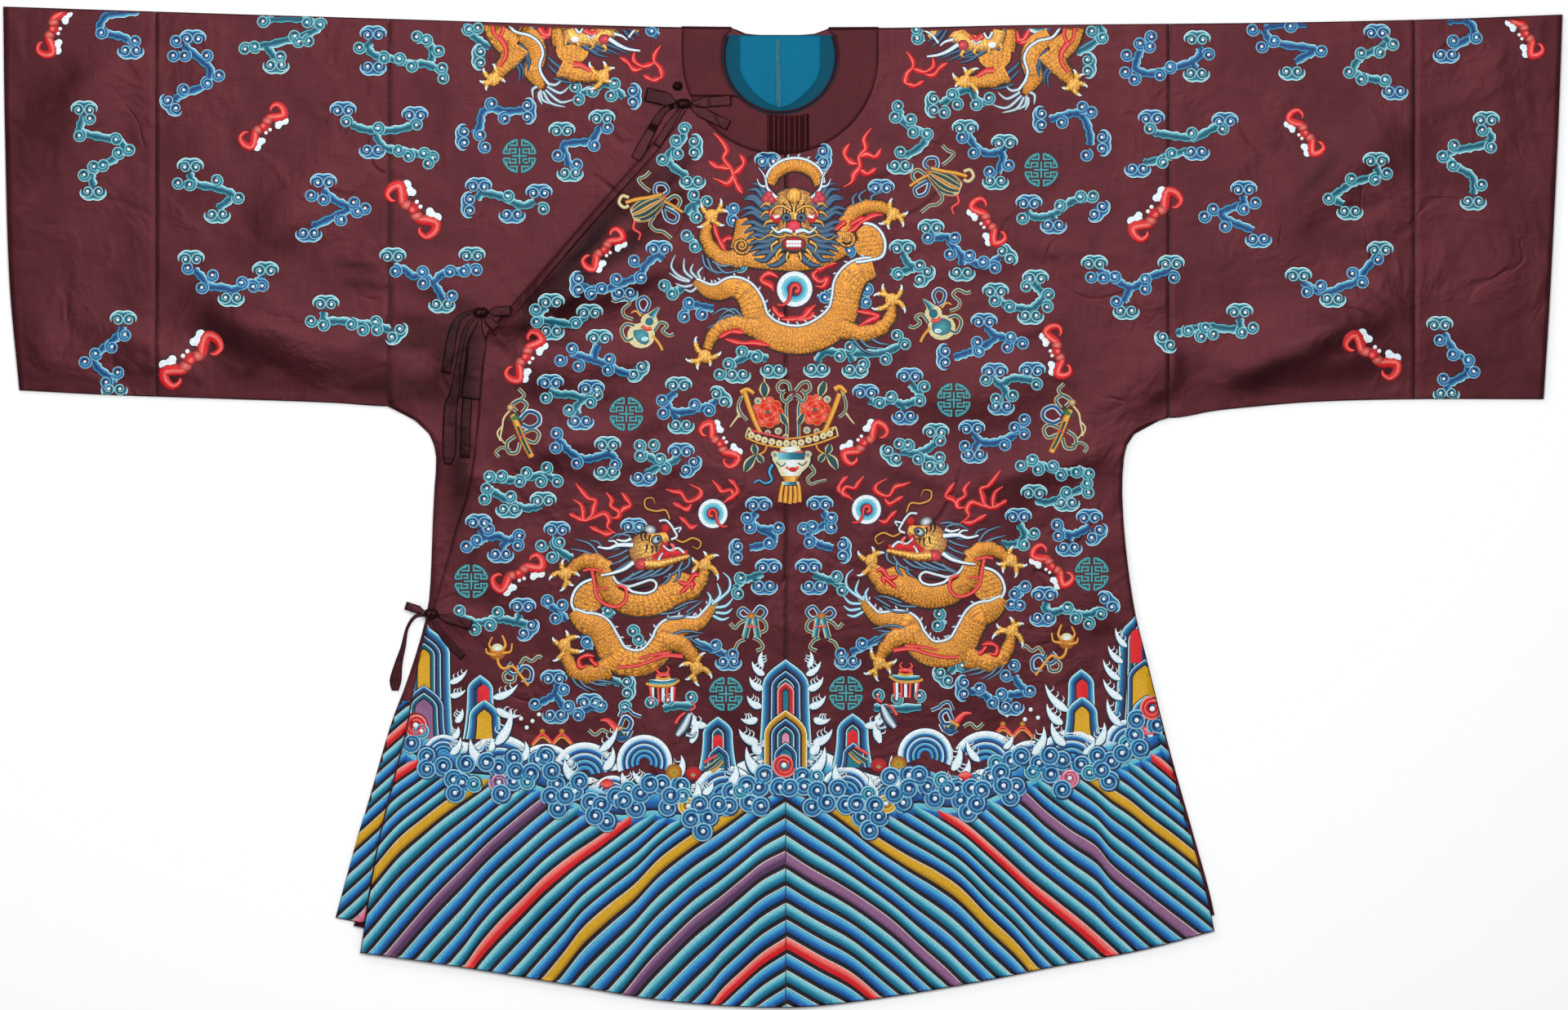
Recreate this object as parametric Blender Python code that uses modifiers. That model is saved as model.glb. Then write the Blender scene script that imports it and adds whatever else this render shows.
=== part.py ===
"""A wide-sleeved dragon robe of silk satin, laid flat on its back.

The robe is cut in two halves that run over the shoulders without a seam, front and back in
one length. The wearer's left half lies at +X. A separate flap is sewn to it down the middle
of the front and crosses over the right half, to three pairs of ties. Each sleeve is
lengthened by a tube and a cuff. Metres, X across the sleeves, Y towards the collar, Z up.
"""

import math
from bisect import bisect_right

import bmesh
import bpy
from mathutils import Vector
from mathutils.bvhtree import BVHTree

# Cloth and clearances
CLOTH = 0.0012  # satin with its silk lining
TRIM = 0.0010  # collar band, neck lining, ties
SEAM = 0.0003  # between pieces that a seam joins
AIR = 0.0005  # between layers that lie on each other

# Sleeves and body, as laid out
CENTRE_SEAM = 0.0032
LEFT_SLEEVE_SEAM, LEFT_CUFF_SEAM = 0.434, 0.710
RIGHT_SLEEVE_SEAM, RIGHT_CUFF_SEAM = -0.443, -0.7045
ARMPIT = 0.113  # height of the sleeve's lower edge where the body begins
WAIST = -0.104  # height of the lowest pair of ties, where the side slits begin
CHEST = 0.30  # rows above this height bend up to the shoulder line

# Collar: a round band about the neck opening
NECK_X, NECK_Y = -0.003, 0.506
NECK_RADIUS = 0.0650
COLLAR_RADIUS = 0.1105
BACK_NECK_DEPTH = 0.009
BACK_COLLAR_DEPTH = 0.055
PIPING_RADIUS = 0.0014
COLLAR_SPLIT = 0.4610  # height where the band is cut to open at the wearer's right
BINDING = 0.0100  # width of the flap's edge binding

# Outlines. Columns: distance along the edge's main direction, then the edge's place there.
SHOULDER_LINE = (  # x, y
    (-0.875, 0.562), (-0.725, 0.557), (-0.468, 0.549), (-0.127, 0.539),
    (0.107, 0.538), (0.265, 0.541), (0.559, 0.544), (0.742, 0.548), (0.875, 0.553),
)
SLEEVE_LOWER_EDGE = (  # x, y
    (-0.857, 0.131), (-0.761, 0.126), (-0.615, 0.121), (-0.505, 0.117), (-0.443, 0.113),
    (0.434, 0.100), (0.485, 0.108), (0.522, 0.112), (0.595, 0.118), (0.705, 0.121), (0.854, 0.121),
)
LEFT_CUFF_EDGE = (  # y, x
    (0.121, 0.854), (0.235, 0.861), (0.418, 0.870), (0.553, 0.875),
)
RIGHT_CUFF_EDGE = (  # y, x
    (0.131, -0.857), (0.253, -0.868), (0.418, -0.873), (0.562, -0.875),
)
LEFT_SIDE = (  # y, x: from the hem up to the sleeve seam
    (-0.476, 0.4845), (-0.444, 0.478), (-0.370, 0.459), (-0.279, 0.435), (-0.169, 0.408),
    (-0.114, 0.3946), (-0.040, 0.3845), (0.015, 0.381), (0.042, 0.3818), (0.070, 0.3864),
    (0.088, 0.401), (0.0960, 0.418), (0.100, 0.434),
)
RIGHT_SIDE = (  # y, x: the under front, whose slit edge the flap covers
    (-0.470, -0.482), (-0.440, -0.470), (-0.400, -0.456), (-0.300, -0.431), (-0.200, -0.411),
    (-0.140, -0.400), (-0.104, -0.396), (-0.072, -0.394), (-0.022, -0.393), (0.019, -0.391),
    (0.056, -0.389), (0.079, -0.395), (0.093, -0.407), (0.106, -0.427), (0.113, -0.443),
)
RIGHT_BACK_SIDE = (  # y, x: the back shows past the flap below the waist
    (-0.461, -0.502), (-0.390, -0.4836), (-0.317, -0.4625), (-0.238, -0.4396),
    (-0.192, -0.422), (-0.140, -0.405), (-0.104, -0.397), (-0.022, -0.393), (0.019, -0.391),
    (0.056, -0.389), (0.079, -0.395), (0.093, -0.407), (0.106, -0.427), (0.113, -0.443),
)
FLAP_EDGE = (  # y, x: from the hem up to the neck tie
    (-0.5005, -0.4744), (-0.383, -0.455), (-0.304, -0.436), (-0.248, -0.422),
    (-0.210, -0.4157), (-0.141, -0.402), (-0.098, -0.388), (-0.063, -0.378), (-0.023, -0.367),
    (0.014, -0.355), (0.074, -0.345), (0.166, -0.338), (0.196, -0.332), (0.214, -0.316),
    (0.2695, -0.2677), (0.328, -0.217), (0.391, -0.162), (0.430, -0.130), (0.460, -0.1105),
)
FRONT_HEM = (  # x, y
    (-0.4744, -0.5005), (-0.365, -0.516), (-0.237, -0.537), (-0.130, -0.5546), (0.001, -0.562),
    (0.094, -0.5537), (0.216, -0.534), (0.306, -0.516), (0.405, -0.497), (0.4845, -0.4758),
)
UNDER_HEM = (  # x, y
    (-0.482, -0.470), (-0.350, -0.497), (-0.200, -0.522), (0.0, -0.540),
)
BACK_HEM = (  # x, y
    (-0.502, -0.461), (-0.350, -0.492), (-0.200, -0.516), (0.0, -0.533),
    (0.200, -0.516), (0.350, -0.487), (0.483, -0.458),
)

# The largest folds of the sleeves, the flap and the left half, each a soft ridge.
FOLDS = (  # x, y, x, y, half width, height
    (-0.650, 0.228, -0.520, 0.180, 0.026, 0.0045),
    (-0.820, 0.400, -0.760, 0.500, 0.032, 0.0030),
    (-0.590, 0.300, -0.530, 0.345, 0.028, 0.0030),
    (-0.285, 0.215, -0.130, 0.285, 0.026, 0.0045),
    (-0.290, 0.150, -0.170, 0.168, 0.026, 0.0030),
    (-0.290, 0.060, -0.200, 0.080, 0.028, 0.0025),
    (0.520, 0.158, 0.665, 0.225, 0.028, 0.0050),
    (0.590, 0.350, 0.690, 0.425, 0.032, 0.0035),
    (0.340, 0.060, 0.250, 0.030, 0.026, 0.0030),
    (0.395, 0.140, 0.450, 0.170, 0.026, 0.0030),
    (0.150, 0.120, 0.300, 0.150, 0.030, 0.0025),
    (-0.240, -0.470, -0.300, -0.360, 0.034, 0.0030),
    (-0.030, -0.480, -0.060, -0.360, 0.034, 0.0030),
    (0.240, -0.440, 0.220, -0.330, 0.034, 0.0030),
)

# Ties. Each tail's rows run from its knot to its free end.
KNOTS = {"neck": (-0.1114, 0.4528), "armpit": (-0.3390, 0.2185), "waist": (-0.3950, -0.1197)}
KNOT_SIZE = (0.0085, 0.0065, 0.0042)  # half length, half width, half height
TIE_TAILS = {  # x, y, width
    "tie_neck_tail_1": (
        (-0.1170, 0.4520, 0.0035), (-0.1343, 0.4440, 0.0080), (-0.1492, 0.4200, 0.0110),
        (-0.1600, 0.4000, 0.0125), (-0.1650, 0.3905, 0.0110),
    ),
    "tie_neck_tail_2": (
        (-0.1135, 0.4480, 0.0035), (-0.1220, 0.4360, 0.0070), (-0.1310, 0.4230, 0.0090), (-0.1415, 0.4050, 0.0090),
    ),
    "tie_armpit_tail_1": (
        (-0.3450, 0.2200, 0.0035), (-0.3610, 0.2135, 0.0060), (-0.3693, 0.1990, 0.0100),
        (-0.3742, 0.1750, 0.0115), (-0.3782, 0.1500, 0.0100),
    ),
    "tie_armpit_tail_2": (
        (-0.3440, 0.2148, 0.0035), (-0.3555, 0.2000, 0.0050), (-0.3635, 0.1650, 0.0060),
        (-0.3680, 0.1300, 0.0110), (-0.3730, 0.1100, 0.0150), (-0.3745, 0.0650, 0.0155), (-0.3755, 0.0475, 0.0090),
    ),
    "tie_armpit_tail_3": (
        (-0.3385, 0.2130, 0.0035), (-0.3440, 0.1900, 0.0080), (-0.3540, 0.1200, 0.0110), (-0.3570, 0.0550, 0.0110),
    ),
    "tie_waist_tail_1": (
        (-0.4010, -0.1210, 0.0035), (-0.4125, -0.1230, 0.0040), (-0.4215, -0.1360, 0.0035),
        (-0.4260, -0.1570, 0.0055), (-0.4310, -0.1750, 0.0085), (-0.4345, -0.1940, 0.0130), (-0.4350, -0.2060, 0.0080),
    ),
    "tie_waist_tail_2": (
        (-0.3940, -0.1255, 0.0035), (-0.3860, -0.1380, 0.0070), (-0.3740, -0.1530, 0.0090), (-0.3585, -0.1690, 0.0080),
    ),
}
TIE_LOOPS = {  # knot, direction in degrees, length, width
    "tie_neck_loop_1": ("neck", 166, 0.044, 0.016),
    "tie_neck_loop_2": ("neck", 4, 0.054, 0.012),
    "tie_neck_loop_3": ("neck", -26, 0.057, 0.012),
    "tie_armpit_loop_1": ("armpit", 3, 0.034, 0.011),
    "tie_armpit_loop_2": ("armpit", -97, 0.098, 0.021),
    "tie_armpit_loop_3": ("armpit", -46, 0.026, 0.010),
    "tie_waist_loop_1": ("waist", 162, 0.030, 0.009),
    "tie_waist_loop_2": ("waist", -16, 0.048, 0.011),
}
LOOP_RISE = 0.0042  # height of a loop's upper ribbon over its lower one
GATHERED = 0.0035  # width of a loop where it leaves its knot
BALL_AT, BALL_RADIUS = (-0.1180, 0.4725), 0.0056

# Finish: colour, roughness
BROWN_SATIN = ((0.130, 0.032, 0.038, 1.0), 0.40)
BLUE_SILK = ((0.006, 0.155, 0.290, 1.0), 0.60)
PALE_BLUE_SILK = ((0.010, 0.250, 0.420, 1.0), 0.60)


def smooth(share):
    share = min(max(share, 0.0), 1.0)
    return share * share * (3 - 2 * share)


def follow(table, at):
    """The value at one place on the smooth curve through a table's (key, value) rows."""
    keys = [row[0] for row in table]
    at = min(max(at, keys[0]), keys[-1])
    low = min(max(bisect_right(keys, at) - 1, 0), len(table) - 2)

    def slope(i):
        before, after = max(i - 1, 0), min(i + 1, len(table) - 1)
        return (table[after][1] - table[before][1]) / (keys[after] - keys[before])

    span = keys[low + 1] - keys[low]
    t = (at - keys[low]) / span
    start, end = table[low][1], table[low + 1][1]
    ease = t * t * (3 - 2 * t)
    bow = t * (1 - t) * ((1 - t) * slope(low) - t * slope(low + 1)) * span
    return start + (end - start) * ease + bow


def shoulder(x):
    return follow(SHOULDER_LINE, x)


# ---- How high each layer lies ----

def back_rise(x, y):
    """The back lies over the collar's back half, which is against the floor."""
    far = math.hypot((x - NECK_X) / 0.150, (y - 0.538) / 0.085)
    return (TRIM + SEAM) * smooth((2.6 - far) / 1.6)


def lining_rise(x, y):
    """The front lies over the lining that shows in the neck opening."""
    far = math.hypot(x - NECK_X, y - 0.490)
    return (TRIM + SEAM) * smooth((0.270 - far) / 0.160)


def lift(x, y):
    """Height of the folds, none at the shoulder line or where the right sleeve is sewn on."""
    total = 0.0
    for x0, y0, x1, y1, half_width, height in FOLDS:
        along = ((x - x0) * (x1 - x0) + (y - y0) * (y1 - y0)) / ((x1 - x0) ** 2 + (y1 - y0) ** 2)
        along = min(max(along, 0.0), 1.0)
        away = math.hypot(x - x0 - along * (x1 - x0), y - y0 - along * (y1 - y0))
        total += height * (0.4 + 0.6 * math.sin(math.pi * along)) * math.exp(-((away / half_width) ** 2))
    return total * smooth((shoulder(x) - y) / 0.06) * smooth(abs(x - RIGHT_SLEEVE_SEAM) / 0.06)


def under_front(x, y):
    """Outer surface of the front layer that lies straight on the back."""
    return back_rise(x, y) + lining_rise(x, y) + 2 * CLOTH + AIR


def flap_top(x, y):
    """Outer surface of the flap, which lies on the right half's front."""
    return under_front(x, y) + CLOTH + AIR + lift(x, y)


def left_front(x, y):
    """The left half climbs to the flap's height at the seam that joins them."""
    climb = smooth(1 - (x - CENTRE_SEAM) / 0.15)
    return under_front(x, y) + (CLOTH + AIR) * climb + lift(x, y)


def cloth_top(x, y):
    """The flap and the left half, sewn together down the middle."""
    return left_front(x, y) if x >= CENTRE_SEAM else flap_top(x, y)


# ---- Building tools ----

def finish(name, colour, roughness):
    material = bpy.data.materials.get(name) or bpy.data.materials.new(name)
    material.use_nodes = True
    shader = material.node_tree.nodes["Principled BSDF"]
    shader.inputs["Base Color"].default_value = colour
    shader.inputs["Roughness"].default_value = roughness
    return material


def cloth_object(name, mesh, material, wall):
    thing = bpy.data.objects.new(name, mesh)
    thing.data.materials.append(material)
    robe.objects.link(thing)
    mesh.shade_smooth()
    mesh.set_sharp_from_angle(angle=math.radians(50))
    if wall:
        thick = thing.modifiers.new("wall", "SOLIDIFY")
        thick.thickness = wall
        thick.offset = -1
        thick.use_even_offset = True
    return thing


def sheet(name, across, along, place, material, wall=CLOTH, tube=False):
    """A grid of across by along quads, each vertex moved to place(column, row), then thickened."""
    form = bmesh.new()
    bmesh.ops.create_grid(form, x_segments=across, y_segments=along, size=0.5)
    for vertex in form.verts:
        column = round((vertex.co.x + 0.5) * across)
        row = round((vertex.co.y + 0.5) * along)
        vertex.co = place(column, row)
    if tube:
        bmesh.ops.remove_doubles(form, verts=form.verts, dist=1e-6)
    mesh = bpy.data.meshes.new(name)
    form.to_mesh(mesh)
    form.free()
    return cloth_object(name, mesh, material, wall)


def rows_between(stops, longest):
    """Heights from the first stop to the last, none further apart than longest."""
    found = [stops[0]]
    for low, high in zip(stops, stops[1:]):
        steps = max(1, math.ceil(abs(high - low) / longest - 1e-6))
        found += [low + (high - low) * (k + 1) / steps for k in range(steps)]
    return found


FOLD_STEPS = 4


def fold_point(x, front_z, back_z, step, edge_y):
    """A point round a fold at the shoulder or the sleeve's lower edge, step 0 being on the front."""
    radius = (front_z - back_z) / 2
    turn = math.pi * step / FOLD_STEPS
    side = 1 if edge_y > CHEST else -1
    return Vector((x, edge_y - side * radius * (1 - math.sin(turn)), back_z + radius * (1 + math.cos(turn))))


# ---- The body's two halves, front and back in one length ----

INNER = NECK_RADIUS + SEAM
HALF_NECK = 0.0545  # half width of the neck opening at the shoulder line
SHOULDER = 0.5385  # height of the shoulder line beside the neck
TURN_START = SHOULDER - 0.004  # the last row before the fold
NECK_ROWS = [NECK_Y - INNER * math.cos(math.radians(a)) for a in (0, 16, 32, 48, 66, 88, 110)]


def neck_edge(y, back):
    """Half width of the body's neck opening at a height."""
    if back:
        return HALF_NECK * math.sqrt(max(0.0, 1 - ((SHOULDER - y) / BACK_NECK_DEPTH) ** 2))
    return math.sqrt(max(0.0, INNER ** 2 - (y - NECK_Y) ** 2)) if y > NECK_ROWS[0] else 0.0


def body_half(name, side, columns, outline, back_outline, hem, top):
    """One half: rows climb the front from the hem, turn over the shoulder and go down the back."""
    front_rows = rows_between([outline[0][0], WAIST, 0.056, 0.082, ARMPIT, CHEST], 0.042)
    front_rows += rows_between([CHEST, NECK_ROWS[0]], 0.048)[1:] + NECK_ROWS[1:] + [TURN_START]
    back_rows = [TURN_START] + [SHOULDER - depth * BACK_NECK_DEPTH for depth in (0.7, 0.9, 1.0)]
    back_rows += rows_between([0.500, CHEST, ARMPIT, 0.082, 0.056, WAIST, back_outline[0][0]], 0.075)
    rows = [(y, "front", 0) for y in front_rows]
    rows += [(SHOULDER, "fold", step) for step in range(1, FOLD_STEPS)]
    rows += [(y, "back", 0) for y in back_rows]

    def place(column, row):
        level, zone, step = rows[row]
        share = column / columns if side > 0 else 1 - column / columns
        edges, hem_line = (back_outline, BACK_HEM) if zone == "back" else (outline, hem)
        neck = neck_edge(level, zone == "back")
        if zone != "back" and level >= TURN_START:
            neck = HALF_NECK
        inner = NECK_X + side * neck
        if not neck:
            covered = side < 0 and zone == "front"
            inner = CENTRE_SEAM - 0.006 if covered else CENTRE_SEAM + side * SEAM / 2
        outer = follow(edges, level) if level < edges[-1][0] else edges[-1][1] - side * SEAM / 2
        x = inner + (outer - inner) * share
        front_z, back_z = top(x, 0.53), back_rise(x, 0.53)
        if zone == "fold":
            return fold_point(x, front_z, back_z, step, shoulder(x))
        y = level
        if level >= TURN_START:
            y = shoulder(x) - (front_z - back_z) / 2
        elif level > CHEST:
            y = level + (level - CHEST) / (TURN_START - CHEST) * (shoulder(x) - SHOULDER)
        if level < WAIST:
            drop = (WAIST - level) / (WAIST - edges[0][0])
            y = WAIST - drop * (WAIST - follow(hem_line, x))
        return Vector((x, y, back_rise(x, y) if zone == "back" else top(x, y)))

    return sheet(name, columns, len(rows) - 1, place, brown)


def front_flap():
    """The overlapping front, sewn to the left half down the middle."""
    levels = rows_between([FLAP_EDGE[0][0], WAIST, 0.190, 0.214, NECK_ROWS[0]], 0.040)
    levels += NECK_ROWS[1:3] + [COLLAR_SPLIT - SEAM]
    columns = 11

    def place(column, row):
        level = levels[row]
        neck = neck_edge(level, False)
        inner = NECK_X - neck if neck else CENTRE_SEAM - SEAM / 2
        outer = follow(FLAP_EDGE, level)
        x = outer + (inner - outer) * column / columns
        y = level
        if level < WAIST:
            drop = (WAIST - level) / (WAIST - levels[0])
            y = WAIST - drop * (WAIST - follow(FRONT_HEM, x))
        return Vector((x, y, flap_top(x, y)))

    sheet("front_flap", columns, len(levels) - 1, place, brown)


def flap_binding():
    """A narrow band sewn along the flap's slanting edge, from the armpit tie to the neck tie."""
    levels = rows_between([0.196, 0.214, 0.450], 0.024)

    def place(column, row):
        y = levels[row]
        before, after = follow(FLAP_EDGE, y - 0.004), follow(FLAP_EDGE, y + 0.004)
        inward = Vector((0.008, before - after, 0)).normalized()
        spot = Vector((follow(FLAP_EDGE, y), y, 0)) + inward * (column / 2 * BINDING)
        spot.z = flap_top(spot.x, spot.y) + 2 * SEAM + TRIM
        return spot

    sheet("flap_binding", 2, len(levels) - 1, place, brown, wall=TRIM)


# ---- Sleeves: flattened tubes ----

def sleeve_tube(name, stations, run=12, under_run=4):
    """A sleeve length laid flat. stations holds, for each ring, the x at a share of its height."""
    ring = [("front", k / run, 0) for k in range(run + 1)]
    ring += [("top", 0, step) for step in range(1, FOLD_STEPS)]
    ring += [("back", 1 - k / under_run, 0) for k in range(under_run + 1)]
    ring += [("bottom", 0, step) for step in range(FOLD_STEPS - 1, 0, -1)]
    ring.append(ring[0])
    crest = 2 * CLOTH + AIR
    radius = crest / 2

    def place(column, row):
        zone, share, step = ring[row]
        height = {"top": 1.0, "bottom": 0.0}.get(zone, share)
        x = stations[column](height)
        low, high = follow(SLEEVE_LOWER_EDGE, x), shoulder(x)
        if zone == "top":
            return fold_point(x, crest, 0.0, step, high)
        if zone == "bottom":
            return fold_point(x, crest, 0.0, step, low)
        y = low + radius + (high - low - 2 * radius) * share
        inside = smooth((y - low) / 0.05)
        return Vector((x, y, 0.0 if zone == "back" else crest + lift(x, y) * inside))

    sheet(name, len(stations) - 1, len(ring) - 1, place, brown, tube=True)


def straight_station(x):
    return lambda height: x


def slanted_station(share, seam, edge):
    """A ring between a straight seam and the cuff's own edge."""
    def at(height):
        y = edge[0][0] + height * (edge[-1][0] - edge[0][0])
        return seam + share * (follow(edge, y) - seam)
    return at


def sleeves():
    for name, seam, cuff_seam, edge in (
        ("left", LEFT_SLEEVE_SEAM, LEFT_CUFF_SEAM, LEFT_CUFF_EDGE),
        ("right", RIGHT_SLEEVE_SEAM, RIGHT_CUFF_SEAM, RIGHT_CUFF_EDGE),
    ):
        outward = 1 if cuff_seam > seam else -1
        first, last = seam + outward * SEAM / 2, cuff_seam - outward * SEAM / 2
        lengths = 8
        rings = [straight_station(first + (last - first) * k / lengths) for k in range(lengths + 1)]
        cuff_lengths = 4
        start = cuff_seam + outward * SEAM / 2
        cuff = [slanted_station(k / cuff_lengths, start, edge) for k in range(cuff_lengths + 1)]
        if outward < 0:
            rings.reverse()
            cuff.reverse()
        sleeve_tube(f"sleeve_{name}", rings)
        sleeve_tube(f"cuff_{name}", cuff)


# ---- Collar, piping and neck lining ----

COLLAR_OUT = SEAM + TRIM


def on_cloth(zone, x, where, top):
    """A point out from the body's cloth: at a height on its front or back, or at a turn round the fold."""
    if zone == "front":
        return Vector((x, where, top(x, where) + COLLAR_OUT))
    if zone == "back":
        return Vector((x, where, back_rise(x, where) - COLLAR_OUT))
    front, back = top(x, 0.53), back_rise(x, 0.53)
    radius = (front - back) / 2
    reach = radius + COLLAR_OUT
    return Vector((x, shoulder(x) - radius + reach * math.cos(where), (front + back) / 2 + reach * math.sin(where)))


def collar_spokes(side):
    """The band's rows, inner and outer end: from the cut round the front, over the shoulder, to the back's middle."""
    cut = COLLAR_SPLIT if side > 0 else COLLAR_SPLIT + SEAM
    steps, goal = (16, 2 * math.pi) if side > 0 else (4, math.pi)
    start = [math.pi + math.asin((NECK_Y - cut) / r) for r in (INNER, COLLAR_RADIUS)]
    spokes = []
    for k in range(steps + 1):
        ends = []
        for r, first in zip((INNER, COLLAR_RADIUS), start):
            angle = first + (goal - first) * k / steps
            ends.append((NECK_X + r * math.cos(angle), NECK_Y + r * math.sin(angle)))
        spokes.append(("front", *ends))
    for y in (0.5150, 0.5240, 0.5300):
        inner = math.sqrt(INNER ** 2 - (y - NECK_Y) ** 2)
        spokes.append(("front", (NECK_X + side * inner, y), (NECK_X + side * COLLAR_RADIUS, y)))
    turned = HALF_NECK * math.sqrt(1 - ((SHOULDER - TURN_START) / BACK_NECK_DEPTH) ** 2)
    for degrees in (90, 54, 18, -18, -54, -90):
        inner = HALF_NECK if degrees > -90 else turned
        turn = math.radians(degrees)
        spokes.append(("fold", (NECK_X + side * inner, turn), (NECK_X + side * COLLAR_RADIUS, turn)))
    for k in range(1, 7):
        turn = math.pi / 2 * k / 6
        inner = turned * math.cos(turn) + SEAM / 2
        outer = COLLAR_RADIUS * (max(math.cos(turn), 0.0) ** 0.6 if k < 6 else 0.0) + SEAM / 2
        inner_y = TURN_START - (BACK_NECK_DEPTH - SHOULDER + TURN_START) * math.sin(turn)
        outer_y = TURN_START - BACK_COLLAR_DEPTH * math.sin(turn)
        spokes.append(("back", (NECK_X + side * inner, inner_y), (NECK_X + side * outer, outer_y)))
    return spokes


def collar_half(name, side, top):
    spokes = collar_spokes(side)
    across = 4
    if side < 0:
        spokes.reverse()

    def place(column, row):
        zone, inner, outer = spokes[row]
        share = column / across
        return on_cloth(zone, *(near + (far - near) * share for near, far in zip(inner, outer)), top)

    sheet(name, across, len(spokes) - 1, place, brown, wall=TRIM)


def neck_piping():
    """A thin corded binding round the front of the neck opening, from shoulder to shoulder."""
    centre = NECK_RADIUS - PIPING_RADIUS - 0.0008
    reach = math.radians(21)
    steps, round_steps = 24, 8
    form = bmesh.new()
    bmesh.ops.create_grid(form, x_segments=steps, y_segments=round_steps, size=0.5)
    for vertex in form.verts:
        angle = math.pi - reach + (math.pi + 2 * reach) * (vertex.co.x + 0.5)
        turn = 2 * math.pi * round((vertex.co.y + 0.5) * round_steps) / round_steps
        x, y = NECK_X + centre * math.cos(angle), NECK_Y + centre * math.sin(angle)
        top = under_front if x < -0.048 and y > COLLAR_SPLIT else cloth_top
        out = centre + PIPING_RADIUS * math.sin(turn)
        vertex.co = Vector((
            NECK_X + out * math.cos(angle), NECK_Y + out * math.sin(angle),
            top(x, y) + SEAM + PIPING_RADIUS * math.cos(turn),
        ))
    bmesh.ops.remove_doubles(form, verts=form.verts, dist=1e-6)
    bmesh.ops.holes_fill(form, edges=form.edges, sides=round_steps)
    bmesh.ops.recalc_face_normals(form, faces=form.faces)
    mesh = bpy.data.meshes.new("neck_piping")
    form.to_mesh(mesh)
    form.free()
    cloth_object("neck_piping", mesh, brown, 0)


def neck_lining():
    """The blue silk inside the back, as far as the neck opening shows it, and its paler inner panel."""
    level = CLOTH + SEAM + TRIM

    def lining_place(column, row):
        share, height = column / 8 * 2 - 1, row / 7
        y = 0.4250 + height * (0.5300 - 0.4250)
        x = NECK_X + share * 0.078 * (1 - 0.25 * (1 - height) ** 2)
        return Vector((x, y, back_rise(x, y) + level))

    def panel_place(column, row):
        share, height = column / 8 * 2 - 1, row / 8
        y = 0.4490 + height * (0.5290 - 0.4490)
        x = NECK_X + share * 0.0455 * (0.06 + 0.94 * math.sin(math.pi / 2 * min(1, height * 1.7)) ** 0.7)
        return Vector((x, y, back_rise(x, y) + level + SEAM + TRIM))

    sheet("neck_lining", 8, 7, lining_place, blue, wall=TRIM)
    sheet("neck_lining_panel", 8, 8, panel_place, pale_blue, wall=TRIM)


def collar_pleats():
    """Four narrow tucks let into the band at the middle of the front."""
    tucks, steps, half = 4, 24, 0.0235

    def place(column, row):
        share, down = column / steps, row / 3
        angle = -math.pi / 2 + (share * 2 - 1) * half / 0.085
        radius = COLLAR_RADIUS - 0.0015 - down * (COLLAR_RADIUS - INNER - 0.003)
        x = NECK_X + 0.009 + (share * 2 - 1) * half
        y = NECK_Y - radius * math.cos(angle + math.pi / 2)
        ridge = 0.0016 * math.sin(math.pi * tucks * share) ** 2
        return Vector((x, y, cloth_top(x, y) + COLLAR_OUT + SEAM + TRIM + ridge))

    sheet("collar_pleats", steps, 3, place, brown, wall=TRIM)


# ---- Ties: narrow tubes of satin, pressed flat and tied in bows ----

def surfaces():
    """What has been built so far, for the ties to rest on."""
    bpy.context.view_layer.update()
    state = bpy.context.evaluated_depsgraph_get()
    return [BVHTree.FromObject(thing, state) for thing in robe.objects]


def pile_top(built, spot, reach):
    """Height of the highest surface within reach of a place."""
    highest = 0.0
    for dx in (-reach, -reach / 2, 0, reach / 2, reach):
        for dy in (-reach, -reach / 2, 0, reach / 2, reach):
            above = Vector((spot[0] + dx, spot[1] + dy, 0.1))
            for tree in built:
                hit = tree.ray_cast(above, Vector((0, 0, -1)))[0]
                if hit:
                    highest = max(highest, hit.z)
    return highest


def ribbon(name, line, widths, side_of):
    """A strip along line, a list of points on its outer face; side_of(k) is its sideways direction."""
    def place(column, row):
        return line[row] + side_of(row) * (0.5 - column / 2) * widths[row]

    sheet(name, 2, len(line) - 1, place, brown, wall=TRIM)


def tie_tail(name, built, table):
    steps = 3 * (len(table) - 1)
    spots = []
    for k in range(steps + 1):
        x, y, width = (follow([(i, row[c]) for i, row in enumerate(table)], k / 3) for c in range(3))
        spots.append((Vector((x, y)), width))
    line = []
    for spot, width in spots:
        rest = pile_top(built, spot, width / 2 + 0.0020)
        line.append(Vector((spot.x, spot.y, rest + (SEAM if rest else 0.0) + TRIM)))

    def side_of(k):
        ahead = (spots[min(k + 1, steps)][0] - spots[max(k - 1, 0)][0]).normalized()
        return Vector((-ahead.y, ahead.x, 0))

    ribbon(name, line, [width for spot, width in spots], side_of)


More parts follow.
